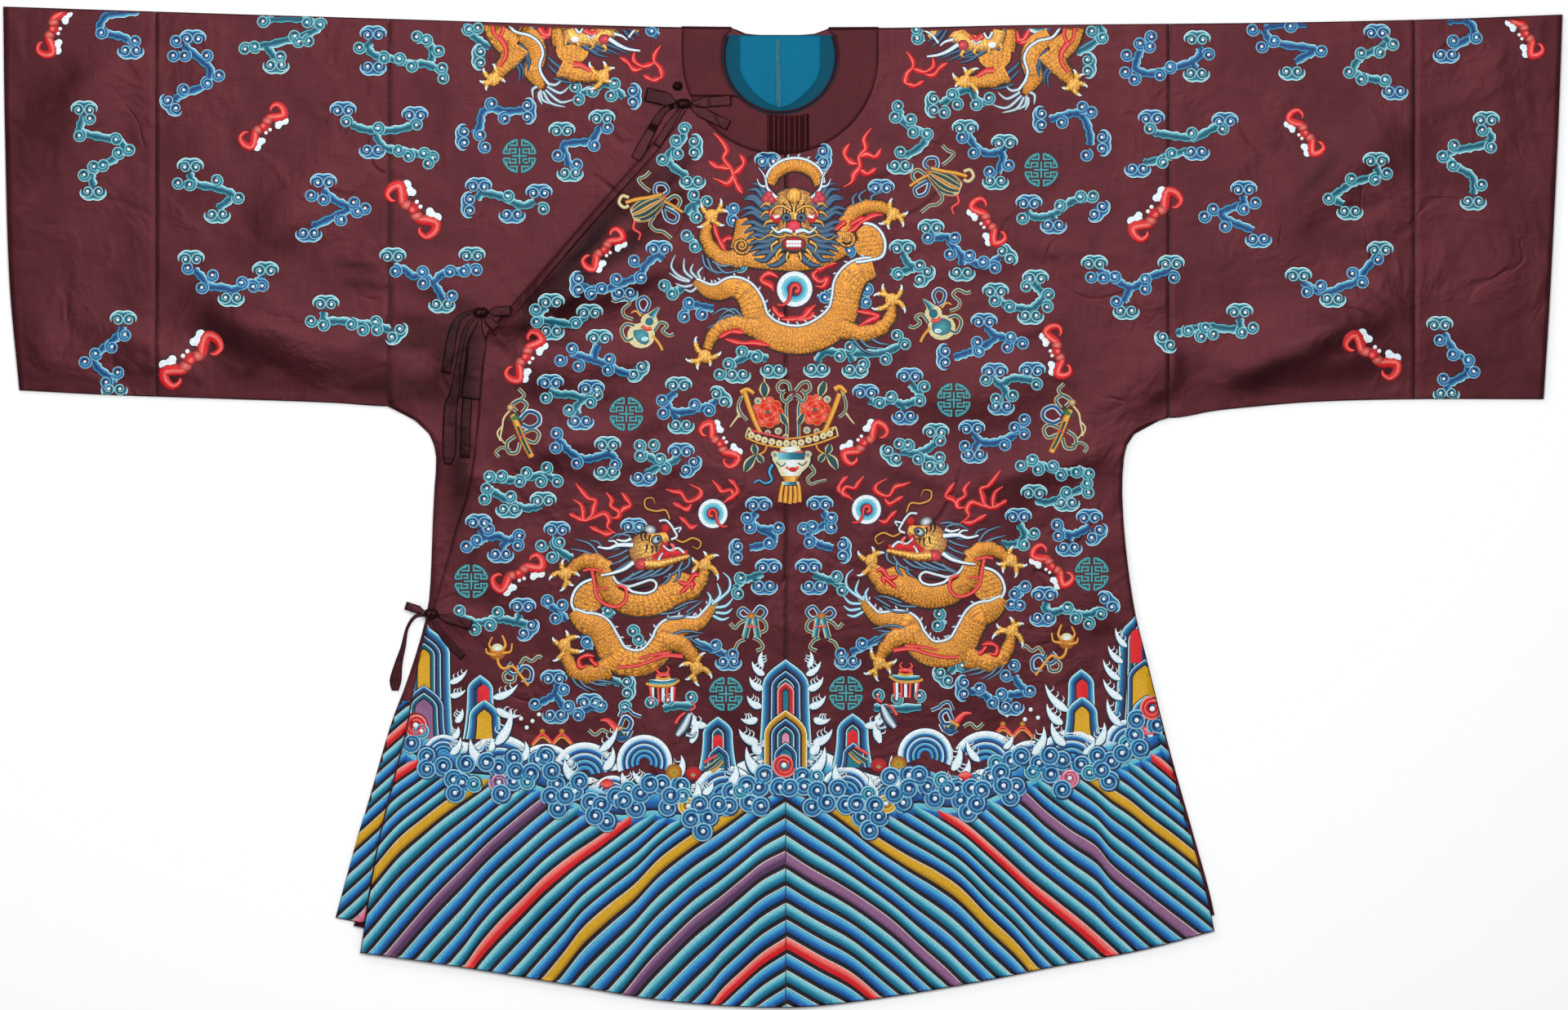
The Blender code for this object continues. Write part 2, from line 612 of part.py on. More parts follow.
def tie_loop(name, built, knot, degrees, length, width):
    """A loop of a bow: out along the cloth, round, and back above itself."""
    direction = math.radians(degrees)
    ahead = Vector((math.cos(direction), math.sin(direction), 0))
    sideways = Vector((-ahead.y, ahead.x, 0))
    start = 1 / math.hypot(ahead.x / KNOT_SIZE[0], ahead.y / KNOT_SIZE[1]) + SEAM
    steps, bend_steps = 5, 6
    radius = LOOP_RISE / 2
    run = length - radius - start
    profile = [(start + run * k / steps, 0.0) for k in range(steps)]
    for k in range(bend_steps + 1):
        turn = math.pi * k / bend_steps
        profile.append((start + run + radius * math.sin(turn), radius - radius * math.cos(turn)))
    profile += [(start + run - run * k / steps, LOOP_RISE) for k in range(1, steps + 1)]
    widths = [GATHERED + (width - GATHERED) * smooth(3 * (at - start) / run) for at, up in profile]
    centre = Vector((*knot, 0))
    rest = max(pile_top(built, centre + ahead * at, half) for (at, up), half in zip(
        profile[:steps + bend_steps], [w / 2 + 0.0003 for w in widths],
    ))
    line = [centre + ahead * at + Vector((0, 0, rest + SEAM + up)) for at, up in profile]
    # The outer face is below on the way out and above on the way back.
    ribbon(name, line, widths, lambda k: -sideways)


def knot_ball(name, built, spot, half_sizes):
    form = bmesh.new()
    bmesh.ops.create_uvsphere(form, u_segments=14, v_segments=8, radius=1.0)
    base = pile_top(built, spot, half_sizes[1] * 0.7) + SEAM
    for vertex in form.verts:
        waist = 1 - 0.16 * math.exp(-((vertex.co.x / 0.28) ** 2))
        vertex.co = Vector((
            spot[0] + vertex.co.x * half_sizes[0], spot[1] + vertex.co.y * half_sizes[1] * waist,
            base + half_sizes[2] * (1 + vertex.co.z * waist),
        ))
    mesh = bpy.data.meshes.new(name)
    form.to_mesh(mesh)
    form.free()
    cloth_object(name, mesh, brown, 0)


def ties():
    cloth = surfaces()
    for name, table in TIE_TAILS.items():
        tie_tail(name, cloth, table)
    with_tails = surfaces()
    for tie, spot in KNOTS.items():
        knot_ball(f"tie_{tie}_knot", with_tails, spot, KNOT_SIZE)
    knot_ball("neck_ball", with_tails, BALL_AT, (BALL_RADIUS,) * 3)
    for name, (knot, degrees, length, width) in TIE_LOOPS.items():
        tie_loop(name, with_tails, KNOTS[knot], degrees, length, width)


for leftover in list(bpy.data.objects):
    bpy.data.objects.remove(leftover)
robe = bpy.data.collections.new("dragon_robe")
bpy.context.scene.collection.children.link(robe)
brown = finish("brown_satin", *BROWN_SATIN)
blue = finish("blue_silk", *BLUE_SILK)
pale_blue = finish("pale_blue_silk", *PALE_BLUE_SILK)

body_half("body_left", 1, 11, LEFT_SIDE, LEFT_SIDE, FRONT_HEM, left_front)
body_half("body_right", -1, 11, RIGHT_SIDE, RIGHT_BACK_SIDE, UNDER_HEM, under_front)
front_flap()
flap_binding()
sleeves()
collar_half("collar_left", 1, cloth_top)
collar_half("collar_right", -1, under_front)
neck_piping()
neck_lining()
collar_pleats()
ties()
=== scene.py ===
"""A wide-sleeved dragon robe of embroidered silk satin, laid flat with its front up.

It lies on its back: X runs across the sleeves, Y towards the collar, Z up, all in metres.
The wearer's left is at +X.
"""

import math
from bisect import bisect_right

import bmesh
import bpy
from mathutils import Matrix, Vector, noise
from mathutils.bvhtree import BVHTree


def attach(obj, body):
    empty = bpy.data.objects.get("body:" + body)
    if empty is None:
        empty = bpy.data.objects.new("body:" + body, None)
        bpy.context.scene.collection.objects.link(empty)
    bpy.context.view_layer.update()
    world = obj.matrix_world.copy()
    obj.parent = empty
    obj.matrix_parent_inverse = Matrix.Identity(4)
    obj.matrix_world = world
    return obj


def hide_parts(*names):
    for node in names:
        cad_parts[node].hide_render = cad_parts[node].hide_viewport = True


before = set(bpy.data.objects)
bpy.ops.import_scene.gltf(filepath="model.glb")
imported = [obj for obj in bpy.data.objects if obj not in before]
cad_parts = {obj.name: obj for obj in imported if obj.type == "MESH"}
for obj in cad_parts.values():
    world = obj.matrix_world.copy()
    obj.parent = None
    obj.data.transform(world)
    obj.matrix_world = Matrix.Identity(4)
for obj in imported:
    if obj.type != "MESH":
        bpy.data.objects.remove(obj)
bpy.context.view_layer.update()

# ---- Camera, floor and lights ----
# A level camera looks straight down at the robe on a plain white floor. A large soft lamp above
# the camera makes flat satin shine and every slope of a fold turn dark, and a weaker one rakes
# across from the upper left.

SQUARE = 0.0009167  # one square of the pattern sheet on which the whole design is drawn
SHEET_MIDDLE, SHEET_BASE = 958.5, 621.0  # the square over the frame's origin, counted right and down
VIEW_SQUARES = (1920, 1237)
EYE_HEIGHT = 3.0


def on_sheet(right, down):
    """The place of a square of the pattern sheet, on the floor."""
    return Vector(((right - SHEET_MIDDLE) * SQUARE, (SHEET_BASE - down) * SQUARE))


scene = bpy.context.scene
eye = bpy.data.cameras.new("camera")
eye.type = "ORTHO"
eye.ortho_scale = VIEW_SQUARES[0] * SQUARE
eye.clip_end = 20.0
camera = bpy.data.objects.new("camera", eye)
camera.location = (*on_sheet(VIEW_SQUARES[0] / 2, VIEW_SQUARES[1] / 2), EYE_HEIGHT)
scene.collection.objects.link(camera)
scene.camera = camera
scene.view_settings.view_transform = "Standard"


def mesh_from(form, name):
    """Turns a finished bmesh into a mesh."""
    mesh = bpy.data.meshes.new(name)
    form.to_mesh(mesh)
    form.free()
    return mesh


FLOOR_DEPTH = 0.0012  # the floor lies this far down, so that the back's stitches clear it
FLOOR_REACH = 9.0  # from the middle to each side
ground = bmesh.new()
bmesh.ops.create_grid(ground, x_segments=1, y_segments=1, size=FLOOR_REACH)
bmesh.ops.translate(ground, verts=ground.verts, vec=(0, 0, -FLOOR_DEPTH))
floor_mesh = mesh_from(ground, "floor")
floor = bpy.data.objects.new("floor", floor_mesh)
scene.collection.objects.link(floor)
paint = bpy.data.materials.new("floor_paint")
paint.use_nodes = True
paint.node_tree.nodes["Principled BSDF"].inputs["Base Color"].default_value = (0.93, 0.93, 0.93, 1)
paint.node_tree.nodes["Principled BSDF"].inputs["Roughness"].default_value = 0.9
floor_mesh.materials.append(paint)

LAMPS = (  # name, place, size, watts
    ("lamp_overhead", (0.0, 0.75, 3.6), 1.8, 93.0),
    ("lamp_raking", (-1.9, 2.3, 1.5), 1.2, 22.0),
)
for name, place, size, watts in LAMPS:
    light = bpy.data.lights.new(name, "AREA")
    light.shape = "SQUARE"
    light.size = size
    light.energy = watts
    lamp = bpy.data.objects.new(name, light)
    lamp.location = place
    lamp.rotation_euler = (-Vector(place)).to_track_quat("-Z", "Y").to_euler()
    scene.collection.objects.link(lamp)
room = bpy.data.worlds.new("room")
room.use_nodes = True
room.node_tree.nodes["Background"].inputs["Color"].default_value = (0.96, 0.98, 1.0, 1)
room.node_tree.nodes["Background"].inputs["Strength"].default_value = 0.45
scene.world = room


# ---- Body: two halves of satin, front and back in one length over the shoulder ----
# Each half is one width of plum-brown silk satin with a thin lining. The seam down the
# middle joins them, and soft folds from packing run across the front.

CLOTH = 0.0012  # satin with its silk lining
TRIM = 0.0010  # collar band, neck lining, ties
SEAM = 0.0003  # between pieces that a seam joins
AIR = 0.0005  # between layers that lie on each other
CENTRE_SEAM = 0.0032
TURNING = 0.006  # the covered front stops this far short of the centre seam
LEFT_SLEEVE_SEAM, LEFT_CUFF_SEAM = 0.434, 0.710
RIGHT_SLEEVE_SEAM, RIGHT_CUFF_SEAM = -0.443, -0.7045
ARMPIT = 0.113  # height of the sleeve's lower edge where the body begins
WAIST = -0.104  # height of the lowest pair of ties, where the side slits begin
CHEST = 0.30  # rows above this height bend up to the shoulder line
UNDERARM_LOW, UNDERARM_HIGH = 0.056, 0.082  # rows where the side swings out to the sleeve
YOKE = 0.500  # the back's first full row below its neck
TURN_LEVEL = 0.53  # height at which the cloth's thickness is taken for its turn over the shoulder
NECK_X, NECK_Y = -0.003, 0.506
NECK_RADIUS = 0.0650
BACK_NECK_DEPTH = 0.009
WEAVE_STEP = 0.0062  # longest side of a cell of the front's cloth mesh
UNDER_STEP, BACK_STEP = 0.010, 0.02  # the same for the covered front and for the back

SHOULDER_LINE = (  # x, y
    (-0.875, 0.562), (-0.725, 0.557), (-0.468, 0.549), (-0.127, 0.539),
    (0.107, 0.538), (0.265, 0.541), (0.559, 0.544), (0.742, 0.548), (0.875, 0.553),
)
LEFT_SIDE = (  # y, x: from the hem up to the sleeve seam
    (-0.476, 0.4845), (-0.444, 0.478), (-0.370, 0.459), (-0.279, 0.435), (-0.169, 0.408),
    (-0.114, 0.3946), (-0.040, 0.3845), (0.015, 0.381), (0.042, 0.3818), (0.070, 0.3864),
    (0.088, 0.401), (0.0960, 0.418), (0.100, 0.434),
)
RIGHT_SIDE = (  # y, x: the under front, whose slit edge the flap covers
    (-0.470, -0.482), (-0.440, -0.470), (-0.400, -0.456), (-0.300, -0.431), (-0.200, -0.411),
    (-0.140, -0.400), (-0.104, -0.396), (-0.072, -0.394), (-0.022, -0.393), (0.019, -0.391),
    (0.056, -0.389), (0.079, -0.395), (0.093, -0.407), (0.106, -0.427), (0.113, -0.443),
)
RIGHT_BACK_SIDE = (  # y, x: the back shows past the flap below the waist
    (-0.461, -0.502), (-0.390, -0.4836), (-0.317, -0.4625), (-0.238, -0.4396),
    (-0.192, -0.422), (-0.140, -0.405), (-0.104, -0.397), (-0.022, -0.393), (0.019, -0.391),
    (0.056, -0.389), (0.079, -0.395), (0.093, -0.407), (0.106, -0.427), (0.113, -0.443),
)
FRONT_HEM = (  # x, y
    (-0.4744, -0.5005), (-0.365, -0.516), (-0.237, -0.537), (-0.130, -0.5546), (0.001, -0.562),
    (0.094, -0.5537), (0.216, -0.534), (0.306, -0.516), (0.405, -0.497), (0.4845, -0.4758),
)
UNDER_HEM = (  # x, y
    (-0.482, -0.470), (-0.350, -0.497), (-0.200, -0.522), (0.0, -0.540),
)
BACK_HEM = (  # x, y
    (-0.502, -0.461), (-0.350, -0.492), (-0.200, -0.516), (0.0, -0.533),
    (0.200, -0.516), (0.350, -0.487), (0.483, -0.458),
)
FOLDS = (  # x, y, x, y, half width, height
    (-0.650, 0.228, -0.520, 0.180, 0.026, 0.0045),
    (-0.820, 0.400, -0.760, 0.500, 0.032, 0.0030),
    (-0.590, 0.300, -0.530, 0.345, 0.028, 0.0030),
    (-0.285, 0.215, -0.130, 0.285, 0.026, 0.0045),
    (-0.290, 0.150, -0.170, 0.168, 0.026, 0.0030),
    (-0.290, 0.060, -0.200, 0.080, 0.028, 0.0025),
    (0.520, 0.158, 0.665, 0.225, 0.028, 0.0050),
    (0.590, 0.350, 0.690, 0.425, 0.032, 0.0035),
    (0.340, 0.060, 0.250, 0.030, 0.026, 0.0030),
    (0.395, 0.140, 0.450, 0.170, 0.026, 0.0030),
    (0.150, 0.120, 0.300, 0.150, 0.030, 0.0025),
    (-0.240, -0.470, -0.300, -0.360, 0.034, 0.0030),
    (-0.030, -0.480, -0.060, -0.360, 0.034, 0.0030),
    (0.240, -0.440, 0.220, -0.330, 0.034, 0.0030),
)


def smooth(share):
    """An even share turned into one that starts and ends softly."""
    share = min(max(share, 0.0), 1.0)
    return share * share * (3 - 2 * share)


def follow(table, at):
    """The value at one place on the smooth curve through a table's (key, value) rows."""
    keys = [row[0] for row in table]
    at = min(max(at, keys[0]), keys[-1])
    low = min(max(bisect_right(keys, at) - 1, 0), len(table) - 2)

    def slope(i):
        before, after = max(i - 1, 0), min(i + 1, len(table) - 1)
        return (table[after][1] - table[before][1]) / (keys[after] - keys[before])

    span = keys[low + 1] - keys[low]
    t = (at - keys[low]) / span
    start, end = table[low][1], table[low + 1][1]
    ease = t * t * (3 - 2 * t)
    bow = t * (1 - t) * ((1 - t) * slope(low) - t * slope(low + 1)) * span
    return start + (end - start) * ease + bow


def shoulder(x):
    return follow(SHOULDER_LINE, x)


def back_rise(x, y):
    """The back lies over the collar's back half, which is against the floor."""
    far = math.hypot((x - NECK_X) / 0.150, (y - 0.538) / 0.085)
    return (TRIM + SEAM) * smooth((2.6 - far) / 1.6)


def lining_rise(x, y):
    """The front lies over the lining that shows in the neck opening."""
    far = math.hypot(x - NECK_X, y - 0.490)
    return (TRIM + SEAM) * smooth((0.270 - far) / 0.160)


def lift(x, y):
    """Height of the large folds, none at the shoulder line or where the right sleeve is sewn on."""
    total = 0.0
    for x0, y0, x1, y1, half_width, height in FOLDS:
        along = ((x - x0) * (x1 - x0) + (y - y0) * (y1 - y0)) / ((x1 - x0) ** 2 + (y1 - y0) ** 2)
        along = min(max(along, 0.0), 1.0)
        away = math.hypot(x - x0 - along * (x1 - x0), y - y0 - along * (y1 - y0))
        total += height * (0.4 + 0.6 * math.sin(math.pi * along)) * math.exp(-((away / half_width) ** 2))
    return total * smooth((shoulder(x) - y) / 0.06) * smooth(abs(x - RIGHT_SLEEVE_SEAM) / 0.06)


CREASES = (  # x, y, x, y on the pattern sheet, half width and height in millimetres
    (576, 372, 500, 342, 8, 1.1), (572, 386, 480, 380, 9, 1.2), (574, 398, 486, 418, 9, 1.2),
    (566, 410, 520, 470, 10, 1.3),
    (604, 392, 660, 398, 8, 1.1), (604, 376, 640, 352, 8, 1.2), (552, 520, 560, 600, 8, 1.1),
    (520, 752, 600, 770, 7, 0.8),
    (838, 152, 770, 232, 13, 1.7), (782, 206, 700, 300, 15, 2.0), (815, 196, 735, 296, 14, 2.0),
    (712, 280, 652, 352, 15, 2.1),
    (748, 282, 668, 366, 15, 2.2), (852, 182, 780, 262, 12, 1.6), (860, 214, 760, 282, 12, 1.5),
    (800, 268, 700, 322, 12, 1.6),
    (690, 330, 640, 384, 14, 2.0), (740, 328, 664, 392, 13, 1.8), (820, 330, 720, 372, 11, 1.3),
    (640, 376, 600, 420, 12, 1.6),
    (700, 372, 650, 402, 12, 1.5), (120, 400, 232, 446, 20, 2.0), (150, 440, 262, 470, 18, 1.9),
    (420, 420, 520, 452, 18, 1.9),
    (360, 400, 440, 436, 12, 1.3), (1572, 470, 1690, 436, 18, 1.9), (1660, 380, 1600, 424, 14, 1.5),
    (1380, 420, 1452, 436, 12, 1.2),
    (556, 500, 590, 560, 10, 1.2), (540, 420, 562, 500, 10, 1.3), (690, 575, 700, 640, 9, 0.9),
    (830, 560, 800, 600, 9, 0.8),
    (900, 596, 1010, 604, 8, 0.8), (910, 612, 990, 616, 7, 0.7), (1210, 560, 1240, 640, 10, 0.9),
    (1120, 330, 1240, 322, 10, 0.9),
    (1090, 470, 1180, 440, 9, 0.9), (1200, 420, 1290, 396, 10, 1.0), (660, 470, 760, 480, 9, 0.8),
    (720, 540, 640, 560, 9, 0.8),
    (262, 384, 335, 430, 26, 2.2), (335, 430, 420, 462, 30, 2.6), (420, 462, 500, 484, 26, 2.2),
    (300, 452, 380, 478, 10, 0.9), (50, 395, 60, 470, 22, 1.6), (60, 118, 150, 84, 12, 0.9),
    (430, 395, 520, 372, 10, 0.9), (505, 335, 552, 372, 8, 0.9), (540, 395, 575, 470, 9, 1.1),
    (470, 345, 545, 330, 8, 0.6), (610, 300, 690, 262, 16, 1.4), (640, 330, 720, 322, 14, 1.4),
    (625, 355, 700, 352, 12, 1.3), (600, 400, 660, 452, 9, 0.8), (700, 452, 800, 442, 9, 0.7),
    (700, 250, 790, 325, 9, 0.7), (760, 560, 850, 575, 9, 0.8), (850, 560, 930, 592, 9, 0.7),
    (990, 600, 1060, 590, 8, 0.7), (1060, 560, 1180, 602, 10, 0.9), (1180, 600, 1300, 560, 10, 1.0),
    (1290, 580, 1370, 540, 9, 1.0), (1390, 500, 1440, 470, 7, 1.0), (1400, 540, 1352, 566, 8, 0.9),
    (1500, 474, 1560, 450, 24, 1.9), (1560, 450, 1625, 424, 28, 2.4), (1625, 424, 1700, 384, 26, 2.0),
    (1600, 450, 1720, 425, 16, 1.1), (1640, 300, 1700, 290, 7, 0.8), (1652, 286, 1702, 262, 7, 0.8),
    (1655, 305, 1695, 335, 7, 0.7), (1360, 372, 1440, 372, 7, 0.6), (1240, 300, 1400, 312, 9, 0.6),
    (1720, 150, 1860, 90, 12, 0.8), (1520, 120, 1600, 250, 12, 0.7), (1000, 640, 1010, 760, 10, 0.7),
    (930, 650, 925, 760, 10, 0.7), (620, 620, 610, 730, 10, 0.7), (1320, 640, 1345, 760, 10, 0.8),
    (900, 760, 1000, 770, 9, 0.6), (800, 180, 830, 250, 9, 0.7), (1090, 210, 1190, 205, 9, 0.6),
    (560, 560, 600, 600, 9, 0.8), (1260, 590, 1300, 720, 12, 0.9), (700, 480, 690, 600, 10, 0.6),
)
MILLIMETRE = 0.001
CALM = 0.045  # the cloth lies still within this distance of a seam that carries other pieces
crease_runs = []
for right0, down0, right1, down1, half_width, height in CREASES:
    start, run = on_sheet(right0, down0), on_sheet(right1, down1) - on_sheet(right0, down0)
    crease_runs.append(
        (tuple(start), tuple(run), run.dot(run), half_width * MILLIMETRE, height * MILLIMETRE)
    )


def rumple(x, y):
    """Height of the small creases and unevenness of handled satin, none under collar and seams."""
    total = 0.0
    for (x0, y0), (run_x, run_y), square, half_width, height in crease_runs:
        away_x, away_y = x - x0, y - y0
        along = min(max((away_x * run_x + away_y * run_y) / square, 0.0), 1.0)
        away = math.hypot(away_x - along * run_x, away_y - along * run_y) / half_width
        if away < 2.5:
            total += height * (0.3 + 0.7 * math.sin(math.pi * along)) * math.exp(-away ** 1.35)
    place = Vector((x * 13, y * 13, 4.2))
    total += 0.0008 * max(0.0, noise.noise(place) + 0.35)
    place = Vector((x * 31, y * 24, 9.6))
    total += 0.00034 * max(0.0, noise.noise(place) + 0.4)
    from_neck = math.hypot(x - NECK_X, y - NECK_Y)
    still = smooth((from_neck - 0.115) / CALM) * smooth((shoulder(x) - y) / CALM)
    return total * still


def under_front(x, y):
    """Outer surface of the front layer that lies straight on the back."""
    return back_rise(x, y) + lining_rise(x, y) + 2 * CLOTH + AIR


def flap_top(x, y):
    """Outer surface of the flap, which lies on the right half's front."""
    return under_front(x, y) + CLOTH + AIR + lift(x, y) + rumple(x, y)


def left_front(x, y):
    """The left half climbs to the flap's height at the seam that joins them."""
    climb = smooth(1 - (x - CENTRE_SEAM) / 0.15)
    return under_front(x, y) + (CLOTH + AIR) * climb + lift(x, y) + rumple(x, y)


def cloth_top(x, y):
    """The flap and the left half, sewn together down the middle."""
    return left_front(x, y) if x >= CENTRE_SEAM else flap_top(x, y)


def right_front(x, y):
    """The under front creases where the flap leaves it bare, towards the right sleeve."""
    return under_front(x, y) + rumple(x, y) * smooth((-0.30 - x) / 0.04)


def node_maker(material):
    """A short way to add a node with its inputs, joined or plain, to one material or group."""
    tree = getattr(material, "node_tree", None) or material

    def add(kind, settings=None, **inputs):
        node = tree.nodes.new("ShaderNode" + kind)
        for key, value in (settings or {}).items():
            setattr(node, key, value)
        for key, value in inputs.items():
            socket = node.inputs[int(key[2:]) if key.startswith("in") else key.replace("_", " ")]
            if hasattr(value, "is_linked"):
                tree.links.new(value, socket)
            else:
                socket.default_value = value
        return node

    return add, tree.links.new


def weave_group():
    """Warp and weft of a fine silk: brightness streaks and the height of its threads."""
    group = bpy.data.node_groups.new("silk_weave", "ShaderNodeTree")
    group.interface.new_socket("Place", in_out="INPUT", socket_type="NodeSocketVector")
    group.interface.new_socket("Streak", in_out="OUTPUT", socket_type="NodeSocketFloat")
    group.interface.new_socket("Threads", in_out="OUTPUT", socket_type="NodeSocketFloat")
    add, join = node_maker(group)
    place = add("Mapping", Vector=group.nodes.new("NodeGroupInput").outputs[0])
    warp = add("Mapping", Vector=place.outputs[0], Scale=(900, 26, 1))
    weft = add("Mapping", Vector=place.outputs[0], Scale=(30, 760, 1))
    warp_noise = add("TexNoise", Vector=warp.outputs[0], Scale=1.0, Detail=2.0)
    weft_noise = add("TexNoise", Vector=weft.outputs[0], Scale=1.0, Detail=2.0)
    streak = add("Math", {"operation": "ADD"}, in0=warp_noise.outputs[0], in1=weft_noise.outputs[0])
    half = add("Math", {"operation": "MULTIPLY"}, in0=streak.outputs[0], in1=0.5)
    threads = add("Math", {"operation": "MAXIMUM"}, in0=warp_noise.outputs[0], in1=weft_noise.outputs[0])
    out = group.nodes.new("NodeGroupOutput")
    join(half.outputs[0], out.inputs[0])
    join(threads.outputs[0], out.inputs[1])
    return group


silk_weave = weave_group()


PAINTED_SHADE_STRENGTH = 0.86  # share of the satin's colour that painted shade takes away where it is full


def satin(name, dark, light, roughness, crumple, metal=0.5):
    """Silk satin: warp streaks, a mottled tone, and creases pressed in by handling and packing.

    Satin shines in its own colour, which a share of metal in the finish gives. Painted shade, read from the
    mesh's nap attribute, darkens that colour beside folds, creases and the flap's edge."""
    material = bpy.data.materials.new(name)
    material.use_nodes = True
    add, join = node_maker(material)
    shader = material.node_tree.nodes["Principled BSDF"]
    place = add("TexCoord").outputs["Object"]
    weave = add("Group", {"node_tree": silk_weave}, Place=place)
    mottle = add("TexNoise", Vector=place, Scale=9.0, Detail=4.0, Roughness=0.6, Distortion=0.4)
    both = add("Math", {"operation": "MULTIPLY_ADD"}, in0=weave.outputs[0], in1=0.34, in2=0.08)
    tone = add("Math", {"operation": "MULTIPLY_ADD"}, in0=mottle.outputs[0], in1=0.5, in2=both.outputs[0])
    ramp = add("ValToRGB", Fac=tone.outputs[0])
    ramp.color_ramp.elements[0].position, ramp.color_ramp.elements[0].color = 0.36, (*dark, 1)
    ramp.color_ramp.elements[1].position, ramp.color_ramp.elements[1].color = 0.64, (*light, 1)
    # painted shade: the base colour is darkened where the nap attribute marks the cloth as lying in shade
    turned = add("Attribute", {"attribute_name": "nap"})
    left = add("Math", {"operation": "MULTIPLY_ADD"}, in0=turned.outputs[2], in1=-PAINTED_SHADE_STRENGTH, in2=1.0)
    shade_painted_colour = add("VectorMath", {"operation": "SCALE"}, in0=ramp.outputs[0], in3=left.outputs[0])
    join(shade_painted_colour.outputs[0], shader.inputs["Base Color"])
    soft = add("TexNoise", Vector=place, Scale=17.0, Detail=2.0, Roughness=0.45, Distortion=0.6)
    lines = add("TexNoise", Vector=place, Scale=7.0, Detail=2.0, Roughness=0.5, Distortion=0.9)
    level = add("Math", {"operation": "SUBTRACT"}, in0=lines.outputs[0], in1=0.5)
    off_line = add("Math", {"operation": "ABSOLUTE"}, in0=level.outputs[0])
    ridge = add(
        "MapRange", {"interpolation_type": "SMOOTHSTEP"}, Value=off_line.outputs[0], in1=0.0, in2=0.035,
    )
    where = add("MapRange", Value=mottle.outputs[0], in1=0.50, in2=0.66)
    crease = add("Math", {"operation": "MULTIPLY"}, in0=ridge.outputs[0], in1=where.outputs[0])
    heap = add("Math", {"operation": "MULTIPLY_ADD"}, in0=crease.outputs[0], in1=0.35, in2=soft.outputs[0])
    creased = add("Bump", Height=heap.outputs[0], Distance=crumple, Strength=1.0)
    fine = add("Bump", Height=weave.outputs[1], Distance=0.00010, Strength=0.5, Normal=creased.outputs[0])
    join(fine.outputs[0], shader.inputs["Normal"])
    uneven = add(
        "Math", {"operation": "MULTIPLY_ADD"}, in0=mottle.outputs[0], in1=0.14, in2=roughness - 0.07,
    )
    join(uneven.outputs[0], shader.inputs["Roughness"])
    shader.inputs["Metallic"].default_value = metal
    shader.inputs["Specular IOR Level"].default_value = 0.05
    shader.inputs["Sheen Weight"].default_value = 0.02
    shader.inputs["Sheen Roughness"].default_value = 0.5
    return material


brown_satin = satin("brown_satin", (0.0250, 0.0042, 0.0062), (0.0560, 0.0116, 0.0150), 0.33, 0.0013)
laid = {}  # the outer surface of each piece of cloth, for what is sewn on or rests on it
cloth_pieces = {}


def cloth_object(name, mesh, material, wall, nodes):
    """Makes one piece of the robe from its outer surface, and lets it stand for its nodes."""
    piece = bpy.data.objects.new(name, mesh)
    mesh.materials.append(material)
    scene.collection.objects.link(piece)
    mesh.shade_smooth()
    mesh.set_sharp_from_angle(angle=math.radians(60))
    if wall:
        thick = piece.modifiers.new("wall", "SOLIDIFY")
        thick.thickness = wall
        thick.offset = -1
        thick.use_even_offset = True
        even = piece.modifiers.new("even_shading", "WEIGHTED_NORMAL")
        even.weight = 100
    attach(piece, "root")
    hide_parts(*nodes)
    cloth_pieces[name] = piece
    return piece


# Painted shade: soft dark strips painted into the cloth's colour beside the flap's edge, the ties and the
# sleeves' folds, where the satin lies in shade.
PAINTED_FOLD_SHADE = (  # x, y, x, y on the pattern sheet, half width in millimetres, share of colour darkened by painted shade
    (796, 208, 638, 392, 16, 0.92), (642, 394, 720, 356, 11, 0.85), (650, 376, 780, 298, 10, 0.75),
    (712, 330, 842, 260, 11, 0.70), (850, 170, 800, 240, 13, 0.70), (640, 406, 716, 424, 8, 0.65),
    (760, 250, 850, 236, 9, 0.55), (572, 386, 566, 500, 12, 0.88), (566, 500, 562, 640, 11, 0.85),
    (590, 640, 574, 700, 5, 0.50), (552, 396, 540, 476, 13, 0.60), (385, 452, 470, 478, 12, 0.30),
    (470, 470, 545, 486, 14, 0.70), (446, 422, 540, 416, 10, 0.60), (512, 346, 580, 380, 9, 0.75),
    (495, 394, 560, 400, 8, 0.60), (412, 322, 462, 330, 5, 0.75), (424, 346, 470, 352, 5, 0.65),
    (1530, 466, 1600, 436, 12, 0.35), (1600, 436, 1660, 398, 12, 0.50), (1590, 240, 1640, 190, 8, 0.60),
    (1655, 292, 1690, 306, 4, 0.60), (240, 400, 320, 440, 12, 0.40), (650, 560, 760, 600, 8, 0.45),
    (700, 604, 800, 560, 7, 0.40), (640, 470, 700, 520, 8, 0.40),
)


def painted_shade_at(spot):
    """How much painted shade darkens the cloth at one place, as beside creases and pulled edges."""
    kept = 1.0
    for right0, down0, right1, down1, half_width, loss in PAINTED_FOLD_SHADE:
        start, run = on_sheet(right0, down0), on_sheet(right1, down1) - on_sheet(right0, down0)
        off = Vector((spot.x, spot.y)) - start
        along = min(max(off.dot(run) / run.dot(run), 0.0), 1.0)
        away = (off - run * along).length / (half_width * MILLIMETRE)
        if away < 2.5:
            kept *= 1 - loss * (0.5 + 0.5 * math.sin(math.pi * along)) * math.exp(-away ** 2)
    return 1 - kept


